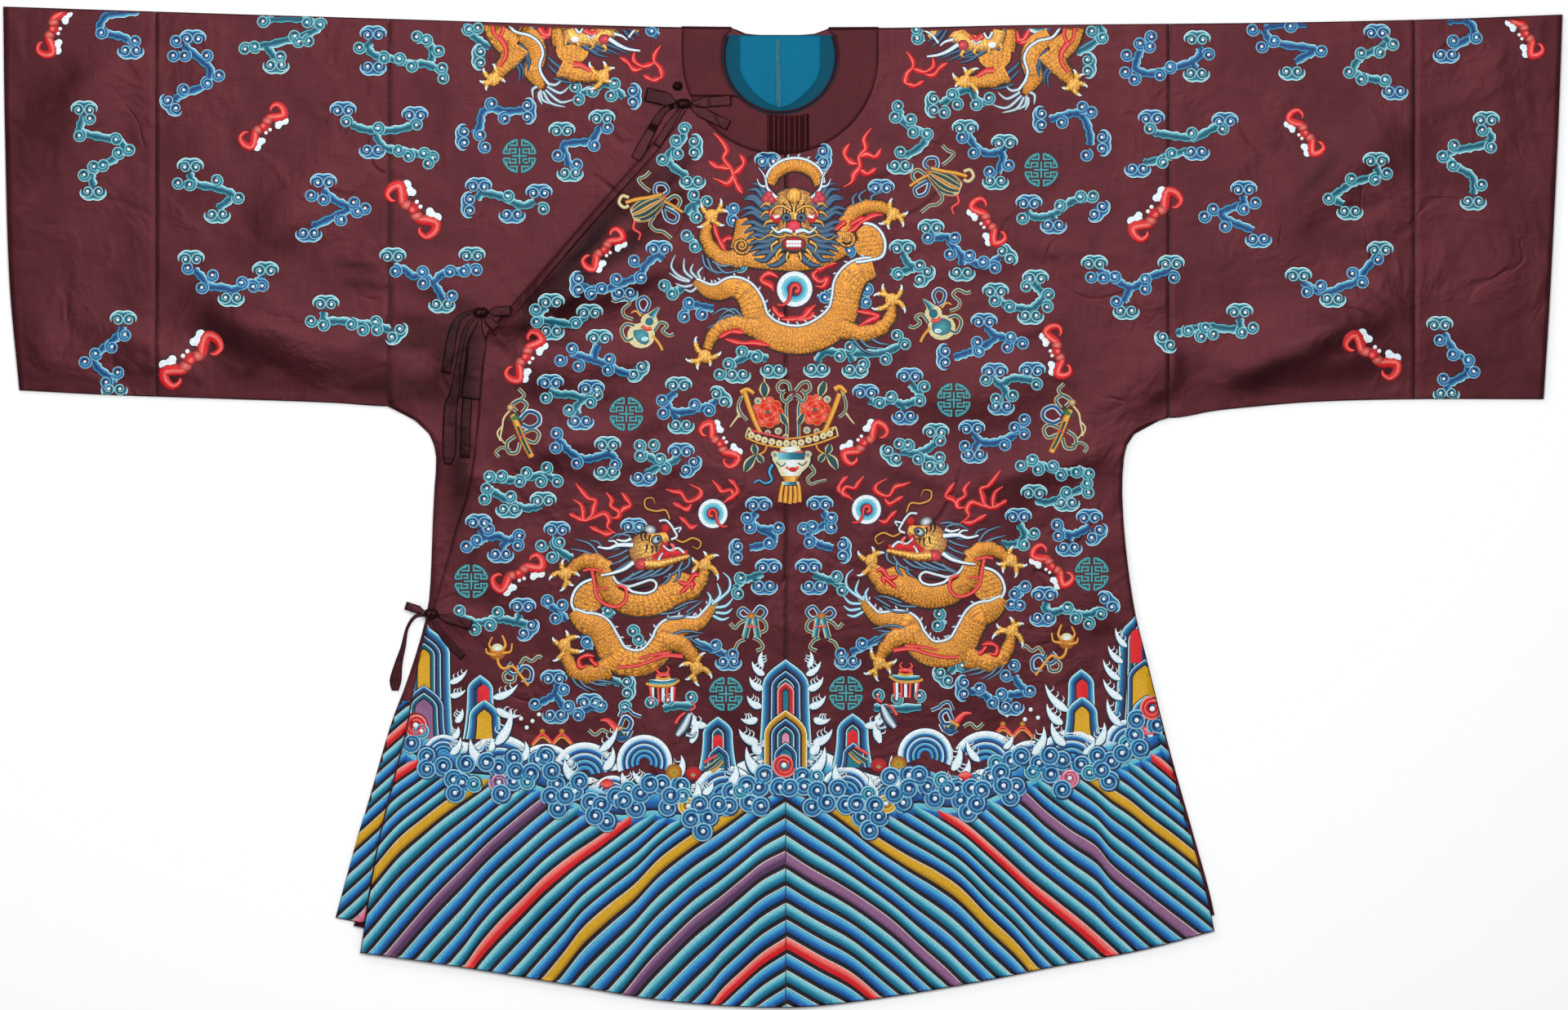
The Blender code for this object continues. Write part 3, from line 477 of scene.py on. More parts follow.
def sheet(name, across, along, place, material, wall=CLOTH, tube=False):
    """A grid of across by along cells, each corner moved to place(column, row), given its painted shade,
    then thickened.
    """
    form = bmesh.new()
    bmesh.ops.create_grid(form, x_segments=across, y_segments=along, size=0.5, calc_uvs=False)
    for vertex in form.verts:
        column = round((vertex.co.x + 0.5) * across)
        row = round((vertex.co.y + 0.5) * along)
        vertex.co = place(column, row)
    if tube:
        bmesh.ops.remove_doubles(form, verts=form.verts, dist=1e-6)
    laid[name] = BVHTree.FromBMesh(form)
    mesh = mesh_from(form, name)
    # painted shade for each point, which the satin materials read to darken their colour
    nap = mesh.attributes.new("nap", "FLOAT", "POINT")
    nap.data.foreach_set("value", [painted_shade_at(vertex.co) for vertex in mesh.vertices])
    return cloth_object(name + "_cloth", mesh, material, wall, [name])


def rows_between(stops, longest):
    """Heights from the first stop to the last, none further apart than longest."""
    found = [stops[0]]
    for low, high in zip(stops, stops[1:]):
        steps = max(1, math.ceil(abs(high - low) / longest - 1e-6))
        found += [low + (high - low) * (k + 1) / steps for k in range(steps)]
    return found


FOLD_STEPS = 6


def fold_point(x, front_z, back_z, step, edge_y):
    """A point round a fold at the shoulder or the sleeve's lower edge, step 0 being on the front."""
    radius = (front_z - back_z) / 2
    turn = math.pi * step / FOLD_STEPS
    side = 1 if edge_y > CHEST else -1
    y = edge_y - side * radius * (1 - math.sin(turn))
    return Vector((x, y, back_z + radius * (1 + math.cos(turn))))


INNER = NECK_RADIUS + SEAM
HALF_NECK = 0.0545  # half width of the neck opening at the shoulder line
SHOULDER = 0.5385  # height of the shoulder line beside the neck
TURN_START = SHOULDER - 0.004  # the last row before the fold
NECK_TURNS = (0, 8, 16, 24, 32, 40, 48, 57, 66, 77, 88, 99, 110)
NECK_ROWS = [NECK_Y - INNER * math.cos(math.radians(a)) for a in NECK_TURNS]


def neck_edge(y, back):
    """Half width of the body's neck opening at a height."""
    if back:
        return HALF_NECK * math.sqrt(max(0.0, 1 - ((SHOULDER - y) / BACK_NECK_DEPTH) ** 2))
    return math.sqrt(max(0.0, INNER ** 2 - (y - NECK_Y) ** 2)) if y > NECK_ROWS[0] else 0.0


def body_half(name, side, columns, outline, back_outline, hem, top, front_step, back_step):
    """One half: rows climb the front from the hem, turn over the shoulder and go down the back."""
    climb = [outline[0][0], WAIST, UNDERARM_LOW, UNDERARM_HIGH, ARMPIT, CHEST]
    front_rows = rows_between(climb, front_step)
    front_rows += rows_between([CHEST, NECK_ROWS[0]], front_step)[1:] + NECK_ROWS[1:] + [TURN_START]
    back_rows = [TURN_START] + [SHOULDER - depth * BACK_NECK_DEPTH for depth in (0.7, 0.9, 1.0)]
    descent = [YOKE, CHEST, ARMPIT, UNDERARM_HIGH, UNDERARM_LOW, WAIST, back_outline[0][0]]
    back_rows += rows_between(descent, back_step)
    rows = [(y, "front", 0) for y in front_rows]
    rows += [(SHOULDER, "fold", step) for step in range(1, FOLD_STEPS)]
    rows += [(y, "back", 0) for y in back_rows]

    def place(column, row):
        level, zone, step = rows[row]
        share = column / columns if side > 0 else 1 - column / columns
        edges, hem_line = (back_outline, BACK_HEM) if zone == "back" else (outline, hem)
        neck = neck_edge(level, zone == "back")
        if zone != "back" and level >= TURN_START:
            neck = HALF_NECK
        inner = NECK_X + side * neck
        if not neck:
            covered = side < 0 and zone == "front"
            inner = CENTRE_SEAM - TURNING if covered else CENTRE_SEAM + side * SEAM / 2
        outer = follow(edges, level) if level < edges[-1][0] else edges[-1][1] - side * SEAM / 2
        x = inner + (outer - inner) * share
        y = level
        if level >= TURN_START:
            front_z, back_z = top(x, TURN_LEVEL), back_rise(x, TURN_LEVEL)
            if zone == "fold":
                return fold_point(x, front_z, back_z, step, shoulder(x))
            y = shoulder(x) - (front_z - back_z) / 2
        elif level > CHEST:
            y = level + (level - CHEST) / (TURN_START - CHEST) * (shoulder(x) - SHOULDER)
        if level < WAIST:
            drop = (WAIST - level) / (WAIST - edges[0][0])
            y = WAIST - drop * (WAIST - follow(hem_line, x))
        return Vector((x, y, back_rise(x, y) if zone == "back" else top(x, y)))

    return sheet(name, columns, len(rows) - 1, place, brown_satin)


body_half("body_left", 1, 74, LEFT_SIDE, LEFT_SIDE, FRONT_HEM, left_front, WEAVE_STEP, BACK_STEP)
body_half("body_right", -1, 48, RIGHT_SIDE, RIGHT_BACK_SIDE, UNDER_HEM, right_front, UNDER_STEP, BACK_STEP)


# ---- Front flap: the overlap that crosses to the wearer's right ----
# A separate width of satin, sewn to the left half down the middle and cut to a slanting edge
# with a narrow bias binding. It lies over the right half and ties at the side.

BINDING = 0.0100  # width of the flap's edge binding
BINDING_HALF_STEP = 0.004  # the binding takes its direction from the edge this far up and down
FLAP_CORNER = 0.214  # height where the flap's edge turns in towards the neck
COLLAR_SPLIT = 0.4610  # height where the collar band is cut to open at the wearer's right
FLAP_EDGE = (  # y, x: from the hem up to the neck tie
    (-0.5005, -0.4744), (-0.383, -0.455), (-0.304, -0.436), (-0.248, -0.422),
    (-0.210, -0.4157), (-0.141, -0.402), (-0.098, -0.388), (-0.063, -0.378), (-0.023, -0.367),
    (0.014, -0.355), (0.074, -0.345), (0.166, -0.338), (0.196, -0.332), (0.214, -0.316),
    (0.2695, -0.2677), (0.328, -0.217), (0.391, -0.162), (0.430, -0.130), (0.460, -0.1105),
)


def front_flap():
    """The flap's satin, from its hem up to the collar's cut."""
    levels = rows_between([FLAP_EDGE[0][0], WAIST, 0.190, FLAP_CORNER, NECK_ROWS[0]], WEAVE_STEP)
    levels += NECK_ROWS[1:5] + [COLLAR_SPLIT - SEAM]
    columns = 74

    def place(column, row):
        level = levels[row]
        neck = neck_edge(level, False)
        inner = NECK_X - neck if neck else CENTRE_SEAM - SEAM / 2
        outer = follow(FLAP_EDGE, level)
        x = outer + (inner - outer) * column / columns
        y = level
        if level < WAIST:
            drop = (WAIST - level) / (WAIST - levels[0])
            y = WAIST - drop * (WAIST - follow(FRONT_HEM, x))
        return Vector((x, y, flap_top(x, y)))

    return sheet("front_flap", columns, len(levels) - 1, place, brown_satin)


def flap_binding():
    """The bias strip on the slanting part of the flap's edge."""
    levels = rows_between([0.196, FLAP_CORNER, 0.450], 0.008)
    columns = 4

    def place(column, row):
        y = levels[row]
        before, after = follow(FLAP_EDGE, y - BINDING_HALF_STEP), follow(FLAP_EDGE, y + BINDING_HALF_STEP)
        inward = Vector((2 * BINDING_HALF_STEP, before - after, 0)).normalized()
        spot = Vector((follow(FLAP_EDGE, y), y, 0)) + inward * (column / columns * BINDING)
        crown = 0.0002 * math.sin(math.pi * column / columns)
        spot.z = flap_top(spot.x, spot.y) + 2 * SEAM + TRIM + crown
        return spot

    return sheet("flap_binding", columns, len(levels) - 1, place, brown_satin, wall=TRIM)


front_flap()
flap_binding()


# ---- Sleeves and cuffs: wide tubes pressed flat ----
# Each sleeve is one straight width of satin and each cuff a shorter one, sewn end to end,
# folded along the shoulder and closed by a seam along the lower edge.

SLEEVE_LOWER_EDGE = (  # x, y
    (-0.857, 0.131), (-0.761, 0.126), (-0.615, 0.121), (-0.505, 0.117), (-0.443, 0.113),
    (0.434, 0.100), (0.485, 0.108), (0.522, 0.112), (0.595, 0.118), (0.705, 0.121), (0.854, 0.121),
)
LEFT_CUFF_EDGE = (  # y, x
    (0.121, 0.854), (0.235, 0.861), (0.418, 0.870), (0.553, 0.875),
)
RIGHT_CUFF_EDGE = (  # y, x
    (0.131, -0.857), (0.253, -0.868), (0.418, -0.873), (0.562, -0.875),
)


FRONT_CELLS, BACK_CELLS = 64, 14  # of a sleeve's cloth mesh, from its lower edge to the shoulder


def sleeve_tube(name, stations):
    """A sleeve length laid flat. stations holds, for each ring, the x at a share of its height."""
    ring = [("front", k / FRONT_CELLS, 0) for k in range(FRONT_CELLS + 1)]
    ring += [("top", 0, step) for step in range(1, FOLD_STEPS)]
    ring += [("back", 1 - k / BACK_CELLS, 0) for k in range(BACK_CELLS + 1)]
    ring += [("bottom", 0, step) for step in range(FOLD_STEPS - 1, 0, -1)]
    ring.append(ring[0])
    crest = 2 * CLOTH + AIR
    radius = crest / 2

    def place(column, row):
        zone, share, step = ring[row]
        height = {"top": 1.0, "bottom": 0.0}.get(zone, share)
        x = stations[column](height)
        low, high = follow(SLEEVE_LOWER_EDGE, x), shoulder(x)
        if zone == "top":
            return fold_point(x, crest, 0.0, step, high)
        if zone == "bottom":
            return fold_point(x, crest, 0.0, step, low)
        y = low + radius + (high - low - 2 * radius) * share
        inside = smooth((y - low) / 0.05)
        return Vector((x, y, 0.0 if zone == "back" else crest + (lift(x, y) + rumple(x, y)) * inside))

    return sheet(name, len(stations) - 1, len(ring) - 1, place, brown_satin, tube=True)


def straight_station(x):
    return lambda height: x


def slanted_station(share, seam, edge):
    """A ring between a straight seam and the cuff's own edge."""
    def at(height):
        y = edge[0][0] + height * (edge[-1][0] - edge[0][0])
        return seam + share * (follow(edge, y) - seam)

    return at


SLEEVE_CELLS, CUFF_CELLS = 42, 24  # from seam to seam, and from seam to cuff edge
for arm, seam, cuff_seam, edge in (
    ("left", LEFT_SLEEVE_SEAM, LEFT_CUFF_SEAM, LEFT_CUFF_EDGE),
    ("right", RIGHT_SLEEVE_SEAM, RIGHT_CUFF_SEAM, RIGHT_CUFF_EDGE),
):
    outward = 1 if cuff_seam > seam else -1
    first, last = seam + outward * SEAM / 2, cuff_seam - outward * SEAM / 2
    rings = [straight_station(first + (last - first) * k / SLEEVE_CELLS) for k in range(SLEEVE_CELLS + 1)]
    start = cuff_seam + outward * SEAM / 2
    cuff = [slanted_station(k / CUFF_CELLS, start, edge) for k in range(CUFF_CELLS + 1)]
    if outward < 0:
        rings.reverse()
        cuff.reverse()
    sleeve_tube(f"sleeve_{arm}", rings)
    sleeve_tube(f"cuff_{arm}", cuff)


# ---- Collar: a flat round band of satin with four tucks and a corded neck edge ----
# The band is cut as a ring, sewn flat about the neck opening and open at the right. Tucks
# take up its ease at the middle of the front, and a thin cord binds the opening.

COLLAR_RADIUS = 0.1105
BACK_COLLAR_DEPTH = 0.055
PIPING_RADIUS = 0.0014
COLLAR_OUT = SEAM + TRIM
BESIDE_NECK = (0.5150, 0.5240, 0.5300)  # heights of the band's last rows before the shoulder fold
COLLAR_CUT_X = -0.048  # left of this and above the cut, the neck cord lies on the covered front
PLEAT_MIDDLE, PLEATS_HALF, PLEATS = 0.009, 0.0235, 4  # off the neck's middle, half width, number


def on_cloth(zone, x, where, top):
    """A point out from the cloth: at a height on its front or back, or at a turn round the fold."""
    if zone == "front":
        return Vector((x, where, top(x, where) + COLLAR_OUT))
    if zone == "back":
        return Vector((x, where, back_rise(x, where) - COLLAR_OUT))
    front, back = top(x, TURN_LEVEL), back_rise(x, TURN_LEVEL)
    radius = (front - back) / 2
    reach = radius + COLLAR_OUT
    y = shoulder(x) - radius + reach * math.cos(where)
    return Vector((x, y, (front + back) / 2 + reach * math.sin(where)))


def collar_spokes(side):
    """The band's rows, each with its two ends, from the cut round the front to the back's middle."""
    cut = COLLAR_SPLIT if side > 0 else COLLAR_SPLIT + SEAM
    steps, goal = (64, 2 * math.pi) if side > 0 else (16, math.pi)
    start = [math.pi + math.asin((NECK_Y - cut) / r) for r in (INNER, COLLAR_RADIUS)]
    spokes = []
    for k in range(steps + 1):
        ends = []
        for r, first in zip((INNER, COLLAR_RADIUS), start):
            angle = first + (goal - first) * k / steps
            ends.append((NECK_X + r * math.cos(angle), NECK_Y + r * math.sin(angle)))
        spokes.append(("front", *ends))
    for y in BESIDE_NECK:
        inner = math.sqrt(INNER ** 2 - (y - NECK_Y) ** 2)
        spokes.append(("front", (NECK_X + side * inner, y), (NECK_X + side * COLLAR_RADIUS, y)))
    turned = HALF_NECK * math.sqrt(1 - ((SHOULDER - TURN_START) / BACK_NECK_DEPTH) ** 2)
    for degrees in (90, 54, 18, -18, -54, -90):
        inner = HALF_NECK if degrees > -90 else turned
        turn = math.radians(degrees)
        spokes.append(("fold", (NECK_X + side * inner, turn), (NECK_X + side * COLLAR_RADIUS, turn)))
    for k in range(1, 13):
        turn = math.pi / 2 * k / 12
        inner = turned * math.cos(turn) + SEAM / 2
        outer = COLLAR_RADIUS * (max(math.cos(turn), 0.0) ** 0.6 if k < 12 else 0.0) + SEAM / 2
        inner_y = TURN_START - (BACK_NECK_DEPTH - SHOULDER + TURN_START) * math.sin(turn)
        outer_y = TURN_START - BACK_COLLAR_DEPTH * math.sin(turn)
        spokes.append(("back", (NECK_X + side * inner, inner_y), (NECK_X + side * outer, outer_y)))
    return spokes


collar_satin = satin("collar_satin", (0.0225, 0.0036, 0.0050), (0.0410, 0.0078, 0.0098), 0.36, 0.0006)


def collar_half(name, side, top):
    """One part of the band, from the collar's cut or the back's middle to the other."""
    spokes = collar_spokes(side)
    across = 10
    if side < 0:
        spokes.reverse()

    def place(column, row):
        zone, inner, outer = spokes[row]
        share = column / across
        return on_cloth(zone, *(near + (far - near) * share for near, far in zip(inner, outer)), top)

    return sheet(name, across, len(spokes) - 1, place, collar_satin, wall=TRIM)


def neck_piping():
    """The cord round the neck opening, whose two ends meet the shoulder fold."""
    centre = NECK_RADIUS - PIPING_RADIUS - 0.0008
    reach = math.radians(21)
    steps, round_steps = 72, 10
    form = bmesh.new()
    bmesh.ops.create_grid(form, x_segments=steps, y_segments=round_steps, size=0.5)
    for vertex in form.verts:
        angle = math.pi - reach + (math.pi + 2 * reach) * (vertex.co.x + 0.5)
        turn = 2 * math.pi * round((vertex.co.y + 0.5) * round_steps) / round_steps
        x, y = NECK_X + centre * math.cos(angle), NECK_Y + centre * math.sin(angle)
        top = under_front if x < COLLAR_CUT_X and y > COLLAR_SPLIT else cloth_top
        out = centre + PIPING_RADIUS * math.sin(turn)
        vertex.co = Vector((
            NECK_X + out * math.cos(angle), NECK_Y + out * math.sin(angle),
            top(x, y) + SEAM + PIPING_RADIUS * math.cos(turn),
        ))
    bmesh.ops.remove_doubles(form, verts=form.verts, dist=1e-6)
    bmesh.ops.holes_fill(form, edges=form.edges, sides=round_steps)
    bmesh.ops.recalc_face_normals(form, faces=form.faces)
    mesh = mesh_from(form, "neck_piping_cord")
    cloth_object("neck_piping_cord", mesh, collar_satin, 0, ["neck_piping"])


def collar_pleats():
    """Four tucks side by side, each rising slowly from the left and dropping sharply on the right."""
    steps, down_steps = 64, 8

    def place(column, row):
        share, down = column / steps, row / down_steps
        angle = -math.pi / 2 + (share * 2 - 1) * PLEATS_HALF / 0.085
        radius = COLLAR_RADIUS - 0.0015 - down * (COLLAR_RADIUS - INNER - 0.003)
        x = NECK_X + PLEAT_MIDDLE + (share * 2 - 1) * PLEATS_HALF
        y = NECK_Y - radius * math.cos(angle + math.pi / 2)
        phase = (PLEATS * share) % 1
        ridge = 0.0019 * (smooth(phase / 0.72) if phase < 0.72 else smooth((1 - phase) / 0.28))
        return Vector((x, y, cloth_top(x, y) + COLLAR_OUT + SEAM + TRIM + ridge))

    return sheet("collar_pleats", steps, down_steps, place, collar_satin, wall=TRIM)


collar_half("collar_left", 1, cloth_top)
collar_half("collar_right", -1, under_front)
collar_pleats()
neck_piping()


# ---- Neck lining: blue silk inside the back, as far as the opening shows it ----
# The robe is lined with plain blue silk. A panel of paler silk with a rounded foot is sewn on it
# at the neck, with two small tucks pressed in.

LINING_SPAN, LINING_HALF = (0.4250, 0.5300), 0.078  # lowest and highest row, and half width
PANEL_SPAN, PANEL_HALF = (0.4490, 0.5290), 0.0455
blue_silk = satin("blue_silk", (0.0004, 0.040, 0.074), (0.0008, 0.060, 0.102), 0.50, 0.0006, metal=0.25)
pale_blue_silk = satin(
    "pale_blue_silk", (0.0006, 0.082, 0.152), (0.0012, 0.120, 0.210), 0.50, 0.0006, metal=0.25,
)


def neck_lining():
    """The lining that shows in the neck opening, and the panel sewn on it."""
    level = CLOTH + SEAM + TRIM
    cells = 24

    def lining_place(column, row):
        share, height = column / cells * 2 - 1, row / cells
        y = LINING_SPAN[0] + height * (LINING_SPAN[1] - LINING_SPAN[0])
        x = NECK_X + share * LINING_HALF * (1 - 0.25 * (1 - height) ** 2)
        return Vector((x, y, back_rise(x, y) + level))

    def panel_place(column, row):
        share, height = column / cells * 2 - 1, row / cells
        y = PANEL_SPAN[0] + height * (PANEL_SPAN[1] - PANEL_SPAN[0])
        rounded = 0.06 + 0.94 * math.sin(math.pi / 2 * min(1, height * 1.7)) ** 0.7
        x = NECK_X + share * PANEL_HALF * rounded
        tuck = sum(0.0004 * math.exp(-((share - middle) / 0.05) ** 2) for middle in (0.12, -0.45))
        return Vector((x, y, back_rise(x, y) + level + SEAM + TRIM + tuck))

    lining = sheet("neck_lining", cells, cells, lining_place, blue_silk, wall=TRIM)
    panel = sheet("neck_lining_panel", cells, cells, panel_place, pale_blue_silk, wall=TRIM)


neck_lining()


# ---- Clouds: satin-stitched silk in graded blues and teals ----
# Each cloud is a winding stem with single curls and double-curled heads. Flat floss is laid
# in bands from white at the rim through blue to a dark core, and edged with a dark line.

DYES = {  # red, green, blue as they are seen, from 0 to 255
    "navy": (14, 16, 44), "white": (226, 236, 240), "sky": (92, 180, 210), "blue": (14, 102, 152),
    "cobalt": (0, 60, 110), "ice": (130, 202, 210), "steel": (92, 122, 146), "azure": (0, 116, 190),
    "lagoon": (8, 138, 172), "teal": (18, 122, 142), "deep_teal": (0, 78, 102),
    "night": (14, 12, 30), "blush": (208, 196, 196), "red": (214, 26, 38), "dark_red": (146, 10, 26),
    "salmon": (238, 128, 118), "yellow": (212, 166, 26), "ochre": (150, 108, 16), "lemon": (244, 214, 110),
    "mauve": (148, 104, 140), "plum": (94, 62, 100), "rose": (214, 150, 176), "dye_pink": (226, 92, 112),
    "gold": (212, 144, 42), "bronze": (146, 82, 22), "brass": (236, 188, 96), "slate": (56, 84, 112),
    "mist": (130, 156, 172), "cream": (214, 204, 160), "fret": (84, 164, 172), "deep_fret": (26, 104, 116),
    "green": (70, 130, 70), "leaf": (36, 84, 60), "black": (12, 12, 20),
}


DYE_LIGHT, DYE_DEPTH = 0.85, 2.55  # the share of light that floss gives back, and how fast it darkens


def dye(name):
    """A named dye as the linear colour that a shader needs."""
    return tuple(DYE_LIGHT * (shade / 255) ** DYE_DEPTH for shade in DYES[name]) + (1.0,)


def silk_thread(name, metal, roughness, shine, scales=0.0):
    """Floss or couched gold thread: its colour is in the mesh, its stitches run across each band."""
    material = bpy.data.materials.new(name)
    material.use_nodes = True
    add, join = node_maker(material)
    shader = material.node_tree.nodes["Principled BSDF"]
    colour = add("VertexColor", {"layer_name": "thread"})
    stitches = add("UVMap", {"uv_map": "stitches"})
    along = add("Mapping", Vector=stitches.outputs[0], Scale=(2300, 240, 1))
    thread = add("TexNoise", Vector=along.outputs[0], Scale=1.0, Detail=1.5, Roughness=0.5)
    worn = add("TexNoise", Vector=stitches.outputs[0], Scale=420.0, Detail=3.0, Roughness=0.6)
    both = add("Math", {"operation": "MULTIPLY_ADD"}, in0=thread.outputs[0], in1=0.75, in2=worn.outputs[0])
    tone = add("MapRange", Value=both.outputs[0], in1=0.55, in2=1.25, in3=0.66, in4=1.30)
    height = thread.outputs[0]
    if scales:
        place = add("Mapping", Vector=stitches.outputs[0], Scale=(1 / scales, 1 / scales, 1))
        flat = add("SeparateXYZ", Vector=place.outputs[0])
        row = add("Math", {"operation": "FLOOR"}, in0=flat.outputs[0])
        odd = add("Math", {"operation": "MODULO"}, in0=row.outputs[0], in1=2.0)
        shifted = add(
            "Math", {"operation": "MULTIPLY_ADD"}, in0=odd.outputs[0], in1=0.5, in2=flat.outputs[1],
        )
        across = add("Math", {"operation": "FRACT"}, in0=shifted.outputs[0])
        inside = add("Math", {"operation": "FRACT"}, in0=flat.outputs[0])
        centred = add("Math", {"operation": "SUBTRACT"}, in0=across.outputs[0], in1=0.5)
        spot = add("CombineXYZ", in0=centred.outputs[0], in1=inside.outputs[0])
        reach = add("VectorMath", {"operation": "LENGTH"}, in0=spot.outputs[0])
        rim = add("MapRange", Value=reach.outputs["Value"], in1=0.40, in2=0.66, in3=1.0, in4=0.66)
        speck = add("TexVoronoi", Vector=stitches.outputs[0], Scale=560.0)
        fleck = add("MapRange", Value=speck.outputs[0], in1=0.05, in2=0.75, in3=1.30, in4=0.46)
        grain = add("Math", {"operation": "MULTIPLY"}, in0=rim.outputs[0], in1=fleck.outputs[0])
        soft = add("MapRange", Value=tone.outputs[0], in1=0.66, in2=1.30, in3=0.88, in4=1.12)
        tone = add("Math", {"operation": "MULTIPLY"}, in0=soft.outputs[0], in1=grain.outputs[0])
        height = grain.outputs[0]
    graded = add("VectorMath", {"operation": "SCALE"}, in0=colour.outputs[0])
    join(tone.outputs[0], graded.inputs["Scale"])
    join(graded.outputs[0], shader.inputs["Base Color"])
    bump = add("Bump", Height=height, Distance=0.00022, Strength=0.8)
    join(bump.outputs[0], shader.inputs["Normal"])
    shader.inputs["Metallic"].default_value = metal
    shader.inputs["Roughness"].default_value = roughness
    shader.inputs["Specular IOR Level"].default_value = shine
    return material


floss = silk_thread("silk_floss", 0.12, 0.42, 0.20)
everything = bmesh.new()
for cloth in cloth_pieces.values():
    everything.from_mesh(cloth.data)
surface = BVHTree.FromBMesh(everything)  # the robe's outer surface, for the stitches to lie on
everything.free()


def new_drawing():
    """An empty mesh for stitches, with a layer for their dyes and one for their direction."""
    form = bmesh.new()
    form.loops.layers.float_color.new("thread")
    form.loops.layers.uv.new("stitches")
    return form


def field(form, rows, dyes, rises):
    """Stitches between rows of squares, all with as many points: one dye or two for each gap.

    rises are millimetres over the cloth, one for each row or one for each point of each row."""
    across, along = len(rows) - 1, len(rows[0]) - 1
    made = bmesh.ops.create_grid(form, x_segments=along, y_segments=across, size=0.5)["verts"]
    thread, stitches = form.loops.layers.float_color["thread"], form.loops.layers.uv["stitches"]
    where = {v: (round((v.co.y + 0.5) * across), round((v.co.x + 0.5) * along)) for v in made}
    lengths, depths = [0.0], [0.0]
    for k in range(along):
        lengths.append(lengths[-1] + math.dist(rows[0][k], rows[0][k + 1]) * SQUARE)
    for k in range(across):
        depths.append(depths[-1] + math.dist(rows[k][along // 2], rows[k + 1][along // 2]) * SQUARE)
    pairs = [(dye(d), dye(d)) if isinstance(d, str) else (dye(d[0]), dye(d[1])) for d in dyes]
    for face in {face for vertex in made for face in vertex.link_faces}:
        band = min(where[vertex][0] for vertex in face.verts)
        for loop in face.loops:
            row, column = where[loop.vert]
            loop[thread] = pairs[band][row - band]
            loop[stitches].uv = (lengths[column], depths[row])
    for vertex, (row, column) in where.items():
        rise = rises[row][column] if hasattr(rises[row], "__len__") else rises[row]
        vertex.co = Vector((*on_sheet(*rows[row][column]), rise * MILLIMETRE))


def strip(form, line, widths, bands, base, crown):
    """Stitches along a line of squares. bands are (share, left dye, right dye), from left to right.

    widths is one width or one for each point, in squares; base and crown are millimetres."""
    if not hasattr(widths, "__len__"):
        widths = [widths] * len(line)
    total = sum(band[0] for band in bands)
    edges = [0.0]
    for band in bands:
        edges.append(edges[-1] + band[0] / total)
    points = [Vector(point) for point in line]
    sideways = []
    for k in range(len(points)):
        ahead = points[min(k + 1, len(points) - 1)] - points[max(k - 1, 0)]
        ahead = ahead.normalized() if ahead.length else Vector((1, 0))
        sideways.append(Vector((ahead.y, -ahead.x)))  # to the left, as the sheet counts down
    shares = [1 - 2 * edge for edge in edges]
    rows = [[p + o * (share * w / 2) for p, o, w in zip(points, sideways, widths)] for share in shares]
    rises = [
        [base + crown * max(0.0, 1 - share * share) ** 0.5 * min(1.0, w / 4) for w in widths]
        for share in shares
    ]
    field(form, rows, [(left, right) for _, left, right in bands], rises)


def other_way(bands):
    """The bands of a strip from right to left, for its mirror image."""
    return [(share, right, left) for share, left, right in reversed(bands)]


def spread(count, first, last):
    """That many numbers, evenly from first to last."""
    return [first + (last - first) * k / (count - 1) for k in range(count)]


def curved(points, steps):
    """A smooth line of steps cells between each two of some points."""
    spots = [Vector(point) for point in points]
    found = []
    for k in range(len(spots) - 1):
        before, start, end, after = (spots[min(max(k + i, 0), len(spots) - 1)] for i in (-1, 0, 1, 2))
        for step in range(steps):
            t = step / steps
            found.append(
                start + (end - before) * (t / 2) + (before * 2 - start * 5 + end * 4 - after) * (t * t / 2)
                + (start * 3 - end * 3 + after - before) * (t ** 3 / 2)
            )
    return found + [spots[-1]]


def disc(form, centre, radius, rim, middle, base, crown, stretch=1.0, turn=0.0, sides=10):
    """A round or oval spot of floss, its dye graded from the rim to the middle."""
    made = bmesh.ops.create_circle(form, cap_ends=True, cap_tris=True, segments=sides, radius=1.0)["verts"]
    thread, stitches = form.loops.layers.float_color["thread"], form.loops.layers.uv["stitches"]
    for face in {face for vertex in made for face in vertex.link_faces}:
        for loop in face.loops:
            outer = loop.vert.co.length > 0.5
            loop[thread] = dye(rim if outer else middle)
            loop[stitches].uv = (loop.vert.co.x * radius * SQUARE, loop.vert.co.y * radius * SQUARE)
    cosine, sine = math.cos(turn), math.sin(turn)
    for vertex in made:
        x, y = vertex.co.x * radius * stretch, vertex.co.y * radius
        rise = base + crown * (1 - vertex.co.length)
        spot = (centre[0] + x * cosine - y * sine, centre[1] + x * sine + y * cosine)
        vertex.co = Vector((*on_sheet(*spot), rise * MILLIMETRE))
    for face in {face for vertex in made for face in vertex.link_faces}:
        face.normal_update()
        if face.normal.z < 0:
            face.normal_flip()


SLIVER = 2e-9  # square metres: a smaller face, left where stitches are pressed to an edge, is dropped


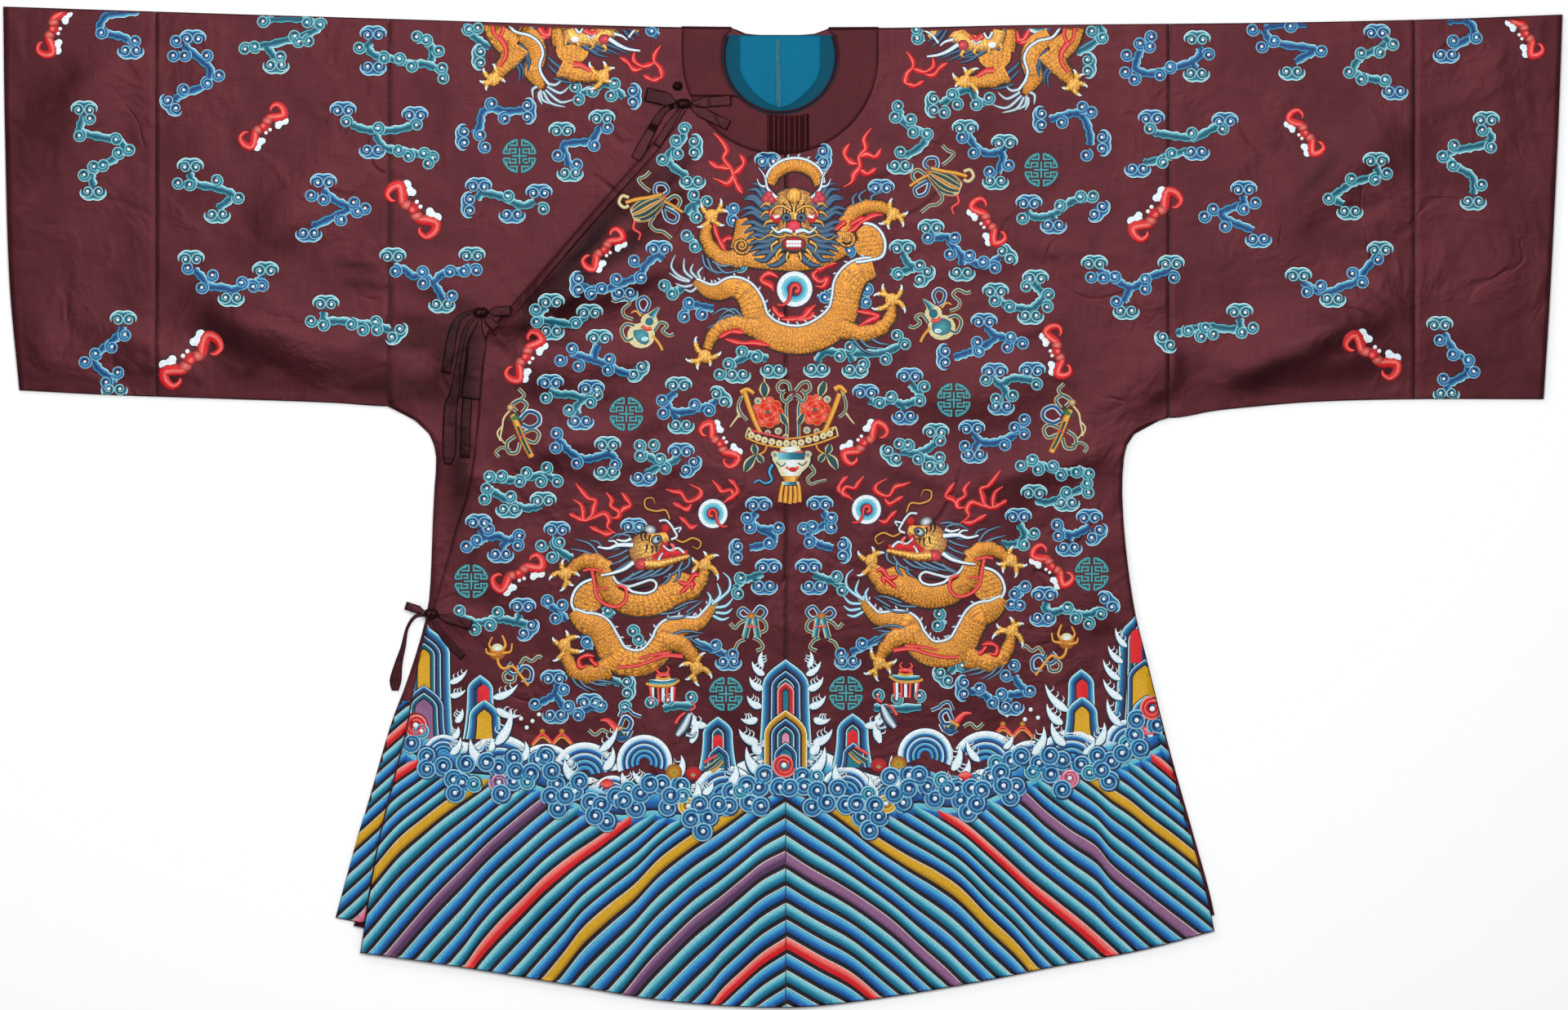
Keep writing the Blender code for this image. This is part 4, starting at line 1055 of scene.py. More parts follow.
def lay(form, name, material, trim=None, over=0.0):
    """Lays a finished drawing on the robe's outer surface, as one piece.

    trim moves what reaches past an edge of the cloth back to it; anything else off the cloth is cut.
    over is the cloth's thickness where the back's inner side is what shows."""
    beyond = []
    for vertex in form.verts:
        x, y = trim(vertex.co.x, vertex.co.y) if trim else vertex.co.xy
        hits = [
            surface.ray_cast(Vector((x + off, y, 0.1)), Vector((0, 0, -1)))[0] for off in (-0.0005, 0.0005)
        ]
        if not any(hits):
            beyond.append(vertex)
            continue
        level = max(hit.z for hit in hits if hit)  # a seam's gap doesn't swallow a stitch
        vertex.co = Vector((x, y, level + over + vertex.co.z))
    bmesh.ops.delete(form, geom=beyond, context="VERTS")
    slivers = [face for face in form.faces if face.calc_area() < SLIVER]
    bmesh.ops.delete(form, geom=slivers, context="FACES")
    form.normal_update()
    for face in form.faces:
        if face.normal.z < 0:
            face.normal_flip()
    mesh = mesh_from(form, name)
    mesh.materials.append(material)
    mesh.shade_smooth()
    piece = bpy.data.objects.new(name, mesh)
    scene.collection.objects.link(piece)
    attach(piece, "root")


BLUES = {  # the dyes of each kind of cloud: rim, light, middle, dark
    "b": ("white", "sky", "blue", "cobalt"), "t": ("white", "ice", "teal", "deep_teal"),
}


def curl(form, centre, start, hand, size, tones, level=0.0, turns=1.5):
    """One curl, as wide as twice its size: a spiral of pale-edged floss round a white eye."""
    white, light, middle, dark = tones
    steps = round(16 * turns)
    angles = spread(steps + 1, start, start + hand * turns * 2 * math.pi)
    radii = spread(steps + 1, 0.78 * size, 0.30 * size)
    line = [(centre[0] + r * math.cos(a), centre[1] + r * math.sin(a)) for a, r in zip(angles, radii)]
    widths = spread(steps + 1, 0.46 * size, 0.32 * size)
    widths[0] = 0.3 * size
    bands = [
        (0.08, "navy", "navy"), (0.17, white, light), (0.24, light, middle), (0.38, middle, dark),
        (0.14, dark, "navy"),
    ]
    if turns < 1.6:
        bands[3:] = [(0.44, middle, middle), (0.08, dark, dark)]
    if hand < 0:
        bands = other_way(bands)
    strip(form, line, widths, bands, 0.35 + level, 0.35)
    disc(form, centre, 0.19 * size, "white", "white", 0.80 + level, 0.2, sides=8)


WAYS = {"u": -90, "d": 90, "l": 180, "r": 0, "ul": -135, "ur": -45, "dl": 135, "dr": 45}


def head(form, centre, way, size, tones, level):
    """A double-curled head: two curls side by side under a pale lobed rim, facing away from its stem."""
    white, light, middle, dark = tones
    out = math.radians(WAYS[way])
    ahead, side = Vector((math.cos(out), math.sin(out))), Vector((-math.sin(out), math.cos(out)))
    spot = Vector(centre)
    turn = out + math.pi / 2
    disc(form, spot + ahead * (0.12 * size), 0.62 * size, dark, middle, 0.2 + level, 0.15, 1.62, turn, 14)
    for hand in (-1, 1):
        eye = spot + side * (hand * 0.50 * size) - ahead * (0.05 * size)
        steps = 14
        start = out + hand * 0.9
        angles = spread(steps + 1, start, start - hand * 1.25 * 2 * math.pi)
        radii = spread(steps + 1, 0.50 * size, 0.19 * size)
        line = [eye + Vector((r * math.cos(a), r * math.sin(a))) for a, r in zip(angles, radii)]
        widths = spread(steps + 1, 0.30 * size, 0.19 * size)
        bands = [
            (0.14, "navy", "navy"), (0.20, white, light), (0.24, light, middle), (0.26, middle, dark),
            (0.16, dark, "navy"),
        ]
        if hand > 0:
            bands = other_way(bands)
        strip(form, line, widths, bands, 0.4 + level, 0.3)
        disc(form, eye, 0.145 * size, "white", "white", 0.80 + level, 0.2, sides=7)
    lobes = []
    for k in range(19):
        a = math.pi * (-0.60 + 1.20 * k / 18)
        dip = 1 - 0.20 * math.exp(-((a / 0.28) ** 2))
        lobes.append(spot + side * (1.10 * size * math.sin(a)) + ahead * (0.74 * size * dip * math.cos(a)))
    widths = [size * (0.06 + 0.30 * min(1.0, 2.2 * math.sin(math.pi * k / 18))) for k in range(19)]
    bands = [(0.15, "navy", "navy"), (0.17, white, white), (0.28, light, light), (0.40, middle, middle)]
    strip(form, lobes, widths, bands, 0.3 + level, 0.3)


def spots(text):
    """Squares written as 'right,down right,down'."""
    return [tuple(float(n) for n in pair.split(",")) for pair in text.split()]


CURL_SIZE, HEAD_SIZE = 9.8, 9.8 * 1.42  # in squares


def cloud(form, kind, stems, heads, curls):
    """One cloud. kind names the blues of its stem and of its heads; curls turn away from the stem."""
    stem_tones, head_tones = BLUES[kind[0]], BLUES[kind[-1]]
    white, light, middle, dark = stem_tones
    routes = [spots(stem) for stem in stems.split(";")]
    trail = []
    for route in routes:
        line = curved(route, 4)
        trail += [(a, (b - a)) for a, b in zip(line, line[1:])]
        count = len(line)
        widths = [
            11.8 + 2.4 * math.sin(2.4 * k) - 3 * (k == count - 1) - 3 * (k == 0) for k in range(count)
        ]
        bands = [
            (0.08, "navy", "navy"), (0.12, white, light), (0.20, light, middle), (0.20, middle, dark),
            (0.20, dark, middle), (0.13, middle, light), (0.07, "navy", "navy"),
        ]
        strip(form, line, widths, bands, 0.2, 0.35)
    for place in curls.split():
        centre = Vector(spots(place)[0])
        near, ahead = min(trail, key=lambda pair: (pair[0] - centre).length)
        toward = near - centre
        hand = 1 if ahead.x * toward.y - ahead.y * toward.x < 0 else -1
        curl(form, centre, math.atan2(toward.y, toward.x), hand, CURL_SIZE, stem_tones)
    for place in heads.split():
        square, way = place.rstrip("udlr"), place.lstrip("0123456789,.-")
        head(form, spots(square)[0], way, HEAD_SIZE, head_tones, 0.05)


SLEEVE_CLOUDS = (  # blues of stem and heads, stems, heads with the way that each faces, curls
    ("bb", "170,14 145,17 130,20 122,34 128,40 150,45 158,50", "160,62d", "124,40 165,50"),
    ("bb", "225,55 240,68 258,85 250,105 225,115 214,122", "236,47u 210,128dl",
     "216,50 212,68 226,68 253,68 268,92 254,102 225,110"),
    ("tt", "325,24 350,22 375,24 392,30 378,42 350,50 325,56 303,58;325,56 332,64 338,72", "338,80d",
     "322,26 376,27 392,30 361,44 366,51 378,50 312,57 300,60 343,69"),
    ("tb", "455,52 450,58 460,68 480,72 500,78 520,78 535,84;510,48 525,52 530,65 528,75",
     "457,42u 457,82d",
     "440,58 470,71 489,72 504,81 510,45 522,49 537,62 541,83 542,96"),
    ("tt", "103,142 98,155 100,162 125,168 145,172 152,182 140,195 120,205 112,215 115,228",
     "103,134u 114,235d",
     "110,145 97,166 142,171 158,183 145,187 126,202 115,204 103,214"),
    ("tt", "232,212 240,225 265,230 285,238 280,246 266,256", "233,204u 266,263d",
     "218,224 232,226 265,221 292,242"),
    ("bb", "395,232 410,245 425,252 425,258 400,270 382,278", "396,223u 378,286d",
     "381,239 396,244 433,248 447,255 438,259 418,269"),
    ("tb", "430,152 445,158 465,160 490,158 508,152;460,165 470,180 490,184 510,188 522,190",
     "420,135u 508,141u 456,184d",
     "424,149 510,153 463,157 488,184 500,191 519,188 530,193 524,200"),
    ("bt", "1182,164 1186,166 1195,180 1210,188 1225,186 1228,195 1222,212;1225,186 1230,180",
     "1182,157u 1230,175u 1219,222d",
     "1178,168 1192,187 1235,202 1212,210"),
    ("bt", "1408,50 1398,60 1392,75 1392,85 1410,90 1440,82 1460,75 1470,65 1468,58;1460,75 1464,84",
     "1466,48u 1465,90d",
     "1410,45 1396,53 1408,57 1380,67 1378,88 1389,97 1420,92 1433,82 1480,67"),
    ("tb", "1412,162 1430,165 1450,168 1465,168 1485,157 1497,152;1455,185 1435,190 1415,197 1400,200",
     "1410,145u 1500,148u 1465,186d 1393,207d",
     "1408,158 1497,158 1459,163 1435,188 1424,199"),
    ("bt", "1548,36 1555,48 1575,55 1600,58 1612,62 1600,68 1586,76;1548,34 1565,30 1600,30", "1582,88d",
     "1534,36 1545,57 1560,50 1618,62 1580,32"),
    ("tb", "1695,45 1700,52 1685,62 1670,68 1660,78 1658,88 1672,95 1690,98 1702,104", "1686,40u 1708,112d",
     "1706,54 1690,64 1667,65 1652,88 1667,97 1696,98"),
    ("bb", "1772,26 1790,24 1802,30 1805,42 1795,50 1778,58", "1771,67d", "1808,46 1780,50"),
    ("tt", "1685,205 1688,215 1670,220 1655,225 1640,235 1632,242 1645,250", "1685,197u 1653,259d",
     "1698,212 1684,220 1655,219 1627,243"),
    ("tt", "1820,158 1827,170 1815,178 1795,182 1780,185 1772,192 1785,205 1802,215 1805,228 1804,238",
     "1820,147u 1804,247d",
     "1815,159 1781,178 1767,191 1779,202 1826,180 1814,226"),
    ("bb", "1522,240 1522,250 1505,256 1495,262 1505,270 1520,276 1535,282", "1523,232u 1541,293d",
     "1537,248 1523,256 1486,256 1475,265 1500,277"),
    ("bt", "1595,345 1605,352 1625,358 1645,350 1660,345 1672,330 1682,318;1625,358 1630,362",
     "1590,338u 1632,366d 1690,306u",
     "1600,357 1617,350 1656,335 1668,346 1687,318"),
    ("tt", "1518,390 1518,402 1500,403 1480,400 1460,403 1440,409", "1518,382u 1428,418dl",
     "1455,405 1471,412 1476,401 1486,409 1521,407 1534,401"),
    ("bt", "1768,408 1780,428 1795,440 1798,455 1790,462 1775,470 1771,478", "1763,398u 1771,482d",
     "1763,416 1779,434 1798,441 1805,455 1768,464"),
    ("bt", "238,330 248,340 255,350 275,352 285,355 300,348 315,345 322,338", "234,317u 325,331u 283,365d",
     "230,328 260,337 247,352 296,346 310,351 321,350"),
    ("bt", "150,400 148,408 135,420 125,428 115,440 122,452 135,462 140,470", "151,391u 140,477d",
     "153,410 137,425 117,433 104,443 144,456 130,468"),
    ("tt", "397,382 398,392 420,393 440,396 460,398 478,404", "399,372u 485,408dr",
     "381,393 396,398 430,397 444,404 460,394 461,404"),
    ("bt", "482,326 497,331 505,338 518,336 530,345 540,336 552,333 565,332 576,326;530,345 538,357 542,365",
     "481,314u 578,313u 541,373d",
     "484,332 517,333 518,347 551,333 568,332 583,331 553,362"),
    ("bt", "1345,330 1358,338 1370,345 1385,352 1398,345 1410,338 1425,333 1435,328;1385,352 1380,362 "
     "1376,370", "1340,323u 1434,323u 1379,381d",
     "1336,339 1351,340 1365,339 1402,342 1402,354 1437,340 1367,369"),
)
BODY_CLOUDS = (
    ("bb", "932,205 940,198 948,196", "940,197u", ""), ("bb", "1018,186 1008,191 1000,196", "1008,192r",
     ""),
    ("bb", "1066,236 1074,231 1082,230", "1079,230u", ""), ("tt", "576,30 572,34 578,42 590,52 600,58",
     "588,70l", "574,36 585,34"),
    ("bb", "794,32 798,38 806,44", "", "798,38"), ("tt", "1120,32 1124,42 1130,52", "", "1122,36 1123,47"),
    ("tt", "1345,30 1350,42 1336,56 1318,65", "1332,80r", "1337,38 1350,46"),
    ("bb", "770,640 776,646 784,652", "776,645u", ""),
    ("tt", "740,742 745,749 752,754", "", "744,748"), ("bb", "716,776 720,784 722,796", "", "719,786"),
    ("tt", "930,296 938,306 934,314", "", "906,326"), ("bb", "1034,304 1040,308 1046,306", "", "1040,307"),
    ("bb", "1060,350 1060,362 1056,372", "", "1062,354 1060,370"), ("bb", "1002,366 1010,362 1016,358", "",
     "1010,364"),
    ("bb", "640,135 620,137 600,133 590,140 588,155 580,165", "646,136r 568,168l",
     "602,127 618,145 588,165 594,180"),
    ("bt", "735,155 725,172 705,175 690,178 693,190 697,203", "737,145u 688,160u 698,212d",
     "744,156 728,178 683,190 706,201"),
    ("tb", "590,236 605,238 620,243 640,252 655,246;590,236 584,244", "586,228u 575,251l 660,236u 627,263d",
     "622,240 665,256"),
    ("tb", "705,115 725,110 740,102 755,110 764,120", "775,118r",
     "704,107 708,122 725,112 752,102 748,117"),
    ("tt", "838,158 835,172 820,188 818,195 825,205 842,216", "850,180r 848,222d",
     "838,158 828,172 811,195 830,188"),
    ("tt", "1102,135 1105,148 1125,160 1135,168 1125,182 1107,192", "1102,203d",
     "1100,130 1096,143 1115,146 1118,162 1135,164 1103,186"),
    ("tt", "1152,128 1160,122 1175,112 1190,110 1195,122 1208,126", "1143,128l",
     "1156,138 1166,116 1172,128 1195,128 1211,120"),
    ("bb", "1285,146 1300,142 1318,138 1328,145 1335,165 1335,178", "1275,146l 1350,175r",
     "1300,150 1325,131 1336,137 1330,190"),
    ("tb", "1258,258 1262,264 1275,266 1290,262 1300,255 1315,245 1332,243;1290,262 1290,268",
     "1260,249u 1290,276d 1345,258dr", "1252,267 1298,252 1323,241 1338,240"),
    ("bt", "1140,286 1145,291 1160,290 1166,300 1178,312 1190,320 1205,325 1215,321 1224,315;1178,312 "
     "1178,325", "1140,279u 1178,334d 1232,312ur",
     "1136,291 1169,291 1163,311 1187,313 1204,321 1218,328"),
    ("tt", "866,248 850,250 840,262;850,250 852,264", "", "866,247 850,239 853,266"),
    ("bb", "898,252 896,266", "", "898,255 898,270"),
    ("bb", "812,318 804,314 790,326 784,338 765,346 755,350 740,355 722,354 712,350",
     "807,305u 708,348l 765,359d", "777,319 785,340 755,342 737,354 724,360"),
    ("tt", "814,352 824,357 838,352", "", "813,350 823,360"),
    ("bb", "874,378 860,376 846,373 838,382", "", "844,371 838,388 860,385"),
    ("tt", "670,376 660,384 660,391 680,394 700,397 712,391 718,385;680,394 676,400",
     "675,370u 675,406d 722,383u", "656,379 657,394 705,396"),
    ("bt", "698,432 715,437 728,441 742,446 760,455 774,458;728,441 728,430 733,422", "734,414u 781,454dr",
     "700,427 686,441 708,448 746,440 744,453"),
    ("tb", "672,478 685,483 700,483 715,488 722,484;715,488 705,500 709,508", "674,469u 724,476u 711,516d",
     "668,487 723,493 731,484 697,502"),
    ("bt", "828,480 818,490 822,503 840,504 855,500 868,497 876,491;822,503 830,513",
     "831,472u 834,521d 882,487ur", "811,490 812,506 850,496 868,503"),
    ("bt", "683,536 690,545 700,555 715,562 730,560 745,556 755,562;745,556 744,552", "744,545u 743,578d",
     "681,531 680,548 706,567 753,569"),
    ("tb", "788,556 800,562 808,570 798,577 790,580;808,570 820,567 832,560", "834,553u 845,571dr 788,585d",
     "783,546 800,545 784,558 808,562 814,574"),
    ("tt", "600,592 600,586 613,587 628,588 640,586 655,583 668,582 680,587;598,598 610,606 625,614 "
     "640,622 655,621 662,618", "623,624d 665,613u",
     "599,584 614,583 596,598 636,590 644,579 662,590 669,573 682,590 593,611 625,608"),
    ("bb", "588,648 596,658 610,656 622,662 633,657;596,658 585,664 576,668;622,662 614,671",
     "586,640u 613,679d", "571,669 584,662 598,648 636,656 634,668"),
    ("tb", "682,658 678,668 690,678 701,684", "682,649u", "663,668 685,664 676,682"),
    ("tb", "560,752 580,762 592,762 605,758 620,759 632,762 646,764;632,762 636,752", "640,743u 646,771dr",
     "562,748 581,771 600,766 609,750"),
    ("bb", "674,742 685,750 694,760;674,742 668,738", "", "671,736 688,741 680,757"),
    ("bb", "683,838 680,850 668,858 658,862;680,850 692,866 706,872 722,866 734,866;683,838 690,846",
     "678,831u 680,876d 722,860u", "655,862 690,844 696,865 708,876 736,864"),
    ("tt", "732,834 750,833 760,838", "768,842r", "738,832"),
    ("tb", "800,788 808,792", "", "775,773 782,783"),
    ("tb", "1064,490 1076,494 1091,490 1105,495 1118,492 1127,485 1120,476 1115,470;1105,495 1108,502",
     "1060,481u 1114,461u 1108,510d", "1077,494 1091,486 1132,474 1126,491"),
    ("tt", "1222,366 1235,375 1250,377 1262,378 1272,370 1278,362 1270,353 1264,347;1262,378 1262,380",
     "1219,357u 1262,387d 1268,341u", "1218,368 1236,376 1284,361 1282,376 1257,351"),
    ("bb", "1208,400 1218,410 1235,414 1250,420;1222,412 1205,425 1192,430 1178,435 1168,438",
     "1205,394u 1157,437l", "1237,413 1233,425 1252,421 1197,419 1199,430"),
    ("tb", "1215,462 1225,470 1240,463 1255,464 1266,466;1225,470 1232,480 1230,488",
     "1218,455u 1264,454u 1226,498d", "1207,465 1269,471 1240,484 1220,488"),
    ("tt", "1102,552 1120,555 1135,550 1145,542;1122,556 1135,562 1144,564",
     "1146,529u 1092,557dl 1145,571d", "1101,544 1112,545 1151,540 1124,562 1150,560"),
    ("bb", "1193,531 1200,540 1215,542 1230,538 1244,532;1200,540 1193,549", "1190,525u 1193,557d",
     "1182,546 1230,545 1242,524 1254,532 1254,514"),
    ("tt", "1256,562 1270,568 1285,573 1298,578 1312,578 1325,576 1332,586 1325,598 1310,605 1295,612 "
     "1280,616 1268,612", "1266,604u 1306,616d",
     "1250,570 1264,563 1271,575 1289,571 1299,582 1318,578 1333,580 1331,592 1333,603 1306,603"),
    ("bb", "1298,650 1312,655 1325,650 1334,645;1312,655 1309,662", "1334,634u 1342,654dr 1309,671d",
     "1294,643 1296,656"),
    ("tb", "1248,642 1255,655 1248,665 1235,668 1225,665", "1247,633u", "1266,653 1254,667"),
    ("bb", "1242,724 1250,722 1246,732", "", "1242,727 1255,718 1238,740 1249,741"),
    ("tb", "1282,738 1280,746 1290,750 1305,746 1320,752 1335,752 1346,746",
     "1279,729u 1357,738ur 1277,757d", "1307,744 1317,757 1333,764 1348,752"),
    ("bb", "1188,846 1205,850 1215,858 1230,852 1245,850 1256,848;1242,828 1248,838 1256,846;1230,852 "
     "1236,860", "1180,843l 1238,866d",
     "1199,843 1215,861 1226,850 1261,846 1241,815 1232,827"),
    ("tt", "1182,816 1170,818 1163,824", "1156,829dl", "1178,815"),
    ("tb", "1150,757 1156,766", "", "1150,752 1148,766"),
    ("bb", "926,628 920,640 932,648 945,654 948,661 935,668 918,671;932,648 948,648", "929,619u 903,676l",
     "915,634 918,646 953,646 942,665"),
    ("bb", "1008,627 1015,640 1000,648 990,654 995,662 1008,668 1020,671;1000,648 988,648",
     "1004,618u 1032,674r", "1018,634 1018,646 984,648 995,645 991,664"),
    ("tb", "934,702 922,707 908,712 901,722;922,707 930,712", "941,695u 936,718d", "907,708 904,727"),
    ("tb", "996,703 1010,709 1022,712 1030,721;1010,709 1002,713", "990,695u 997,718d",
     "1024,706 1031,723"),
    ("bb", "850,786 865,792 880,798 888,802", "892,811d", "876,790 897,801"),
    ("bb", "1085,780 1070,786 1055,793 1042,800", "1038,810d", "1056,788 1030,800"),
    ("tt", "893,447 912,437 926,434 940,440;893,447 900,452", "903,459d 947,453d",
     "908,431 892,446 881,458 926,437"),
    ("tt", "1000,443 1009,431 1028,432 1040,432 1063,433 1084,431 1104,422;1040,432 1045,443",
     "1000,452d 1047,453d", "1028,436 1041,425 1057,446 1084,440 1108,422 1098,411"),
    ("tt", "1106,311 1112,322 1120,328 1105,333 1090,333", "1105,304u 1131,338dr", "1126,325 1100,336"),
    ("tt", "842,288 852,300 866,300", "", "841,288 851,302"),
    ("tt", "812,868 830,864 850,866", "", "765,866 797,861 818,857 846,854"),
    ("tt", "1070,866 1090,868 1128,866", "", "1075,851 1098,856 1126,852"),
)


def clouds(name, table):
    """Draws a table of clouds and lays them as one piece."""
    form = new_drawing()
    for kind, stems, heads, curls in table:
        cloud(form, kind, stems, heads, curls)
    lay(form, name, floss)


UPPER_CLOUDS = 26  # the rest of the body's table lies lower
clouds("sleeve_clouds", SLEEVE_CLOUDS)
clouds("body_clouds_upper", BODY_CLOUDS[:UPPER_CLOUDS])
clouds("body_clouds_lower", BODY_CLOUDS[UPPER_CLOUDS:])


# ---- Wave border: slanting stripes of sea, then curls, billows and foam, with rocks in it ----
# Long satin stitches in graded blues, parted by dark lines, with a red, a mauve or a yellow
# stripe after every four blue ones. All of it runs up to the hem, the slits and the centre seam.

STRIPE_RUNS = {  # from the lowest up: the upper edge of every fifth stripe, outward from the centre seam
    "left": (
        "964,1147 1004,1170 1044,1192 1083,1225 1119,1255 1200,1330 1500,1640",
        "962,1043 993,1063 1027,1082 1060,1103 1093,1127 1127,1158 1160,1187 1180,1207 1240,1262 1500,1500",
        "962,942 1000,968 1040,998 1070,1022 1110,1047 1147,1067 1177,1088 1210,1122 1243,1153 1273,1188 "
        "1320,1238 1500,1430",
        "962,850 1040,910 1123,968 1147,985 1173,1002 1193,1017 1227,1047 1260,1077 1293,1103 1327,1130 "
        "1370,1168 1420,1215 1500,1290",
        "962,760 1100,860 1253,968 1280,993 1313,1018 1343,1037 1360,1058 1393,1085 1427,1112 1470,1145 "
        "1500,1170",
        "962,670 1200,850 1320,935 1360,965 1383,980 1410,1002 1437,1022 1463,1043 1500,1075",
        "962,590 1200,770 1360,880 1423,930 1440,945 1500,990",
        "962,500 1200,680 1360,795 1440,860 1500,905",
    ),
    "right": (
        "964,1147 933,1167 907,1190 883,1213 870,1230 800,1305 440,1700",
        "962,1042 933,1057 907,1078 880,1100 850,1123 820,1152 793,1180 763,1217 700,1290 440,1570",
        "962,942 887,997 843,1025 807,1052 777,1083 743,1110 713,1137 690,1167 665,1197 600,1270 440,1440",
        "962,850 850,940 795,980 770,997 737,1022 700,1047 667,1073 640,1100 610,1130 587,1157 567,1185 "
        "520,1240 440,1330",
        "962,760 760,905 660,980 627,1007 597,1033 567,1063 537,1093 510,1123 470,1170 440,1205",
        "962,670 700,865 600,945 547,980 517,1003 487,1028 460,1060 440,1083",
        "962,590 640,835 510,927 483,945 440,978",
        "962,500 640,750 510,842 440,890",
    ),
    "back": (
        "500,1160 440,1222 400,1260", "500,1068 470,1090 445,1114 430,1128 400,1155",
        "500,968 470,993 450,1011 432,1027 400,1056", "500,880 488,890 468,908 440,935 400,970",
        "500,800 440,850 400,885", "500,715 440,765 400,800",
    ),
}
SEA = {  # the dyes of each kind of stripe: light, middle, deep
    "blue": ("sky", "azure", "cobalt"), "teal": ("ice", "lagoon", "deep_teal"),
    "red": ("salmon", "red", "red"),
    "mauve": ("mauve", "mauve", "plum"), "plum": ("mauve", "plum", "plum"),
    "yellow": ("yellow", "yellow", "ochre"), "pink": ("rose", "dye_pink", "mauve"),
}
SHORES = {  # the stripes end under the curls along this line
    "left": (
        "960,960 1000,955 1040,965 1062,975 1095,960 1130,945 1180,950 1230,935 1300,925 1350,910 1390,885 "
        "1420,850 1450,840"
    ),
    "right": (
        "440,860 505,885 530,910 560,930 610,930 650,920 690,950 740,970 790,955 840,965 860,975 890,960 "
        "930,955 964,960"
    ),
    "back": "400,885 450,865 480,860 510,858",
}
STRIPE_ORDER = {  # the dye of every fifth stripe, from the lowest up
    "left": ("red", "mauve", "yellow", "red", "mauve", "yellow", "red"),
    "right": ("red", "plum", "yellow", "red", "plum", "yellow", "red"),
    "back": ("mauve", "pink", "yellow", "red", "yellow"),
}


STRIPES = 5  # from one run of the table to the next
STRIPE_WIDTH = 20.6  # of the stripes below the lowest run, in squares
STRIPE_PROFILE = (  # across one stripe from above: share, rise in millimetres, dye or the place of its tone
    (0.0, 0.30, "blush"), (0.06, 0.42, 0), (0.19, 0.52, 1), (0.46, 0.52, 2), (0.74, 0.36, "night"),
    (0.84, 0.12, "night"),
)


def from_left(text):
    """The squares of a line, sorted so that a height can be read off it anywhere."""
    return tuple(sorted(spots(text)))


def sea_stripes(form, side, columns, below):
    """The stripes of one panel, as one field of stitches."""
    runs = [from_left(run) for run in STRIPE_RUNS[side]]
    coast = from_left(SHORES[side])
    shore = [follow(coast, x) for x in columns]
    heights = [[follow(run, x) for x in columns] for run in runs]
    edges = [[y + STRIPE_WIDTH * k for y in heights[0]] for k in range(below, 0, -1)]
    for lower, upper in zip(heights, heights[1:]):
        edges += [[a + (b - a) * k / STRIPES for a, b in zip(lower, upper)] for k in range(STRIPES)]
    rows, dyes, rises = [], [], []
    for k in range(len(edges) - 1, 0, -1):
        number = k - below
        kind = "teal" if k % 2 else "blue"
        if number % STRIPES == 0 and number >= 0:
            kind = STRIPE_ORDER[side][min(number // STRIPES, 6)]
        tones = SEA[kind]
        for share, rise, tone in STRIPE_PROFILE:
            places = zip(columns, edges[k], edges[k - 1], shore)
            rows.append([(x, max(a + (b - a) * share, edge)) for x, a, b, edge in places])
            rises.append(rise)
            dyes.append(tone if isinstance(tone, str) else (tones[max(tone - 1, 0)], tones[tone]))
    rows.append([(x, max(y, edge)) for x, y, edge in zip(columns, edges[0], shore)])
    rises.append(0.2)
    field(form, rows, dyes, rises)


HEM_MARGIN = 0.0008  # stitches stop this far from an edge of the cloth


def front_panels(x, y):
    """Keeps a stitch inside the flap and the left front, and just below the shoulder line."""
    y = min(max(y, follow(FRONT_HEM, x) + HEM_MARGIN), shoulder(x) - 0.004)
    if y < 0.09:  # below the sleeves
        x = min(max(x, follow(FLAP_EDGE, y) + HEM_MARGIN), follow(LEFT_SIDE, y) - HEM_MARGIN)
    return x, y


def back_strip(x, y):
    """Keeps a stitch on the strip of the back that shows beside the flap."""
    y = max(y, follow(BACK_HEM, x) + HEM_MARGIN)
    return min(max(x, follow(RIGHT_BACK_SIDE, y) + HEM_MARGIN), follow(FLAP_EDGE, y) - 0.0010), y


def evenly(first, last, longest=4.6):
    """Places from first to last, none further apart than longest, in squares."""
    return spread(max(2, round(abs(last - first) / longest) + 1), first, last)


for panel, first, last in (("left", 962.6, 1490), ("right", 436, 961.4)):
    sea = new_drawing()
    sea_stripes(sea, panel, evenly(first, last), 5)
    lay(sea, "sea_stripes_" + panel, floss, front_panels)
sea = new_drawing()
sea_stripes(sea, "back", evenly(404, 506), 1)
lay(sea, "sea_stripes_back", floss, back_strip, over=CLOTH)

RINGS = {  # rocks: the dyes from the rim inward, with how many squares each is wide
    "rock": ((1.3, "navy"), (1.6, ("white", "ice")), (3.2, ("sky", "blue")), (3.6, ("blue", "cobalt")),
        (1.6, "navy")),
    "blue": ((1.2, "navy"), (1.2, ("white", "sky")), (3.5, ("blue", "cobalt")), (1.3, "navy")),
    "teal": ((1.2, "navy"), (1.2, ("white", "ice")), (3.5, ("teal", "deep_teal")), (1.3, "navy")),
    "red": ((1.2, "navy"), (1.6, ("blush", "salmon")), (4.6, ("red", "dark_red")), (1.2, "navy")),
    "yellow": ((1.2, "navy"), (1.4, ("white", "lemon")), (5.0, ("yellow", "ochre")), (1.2, "navy")),
}


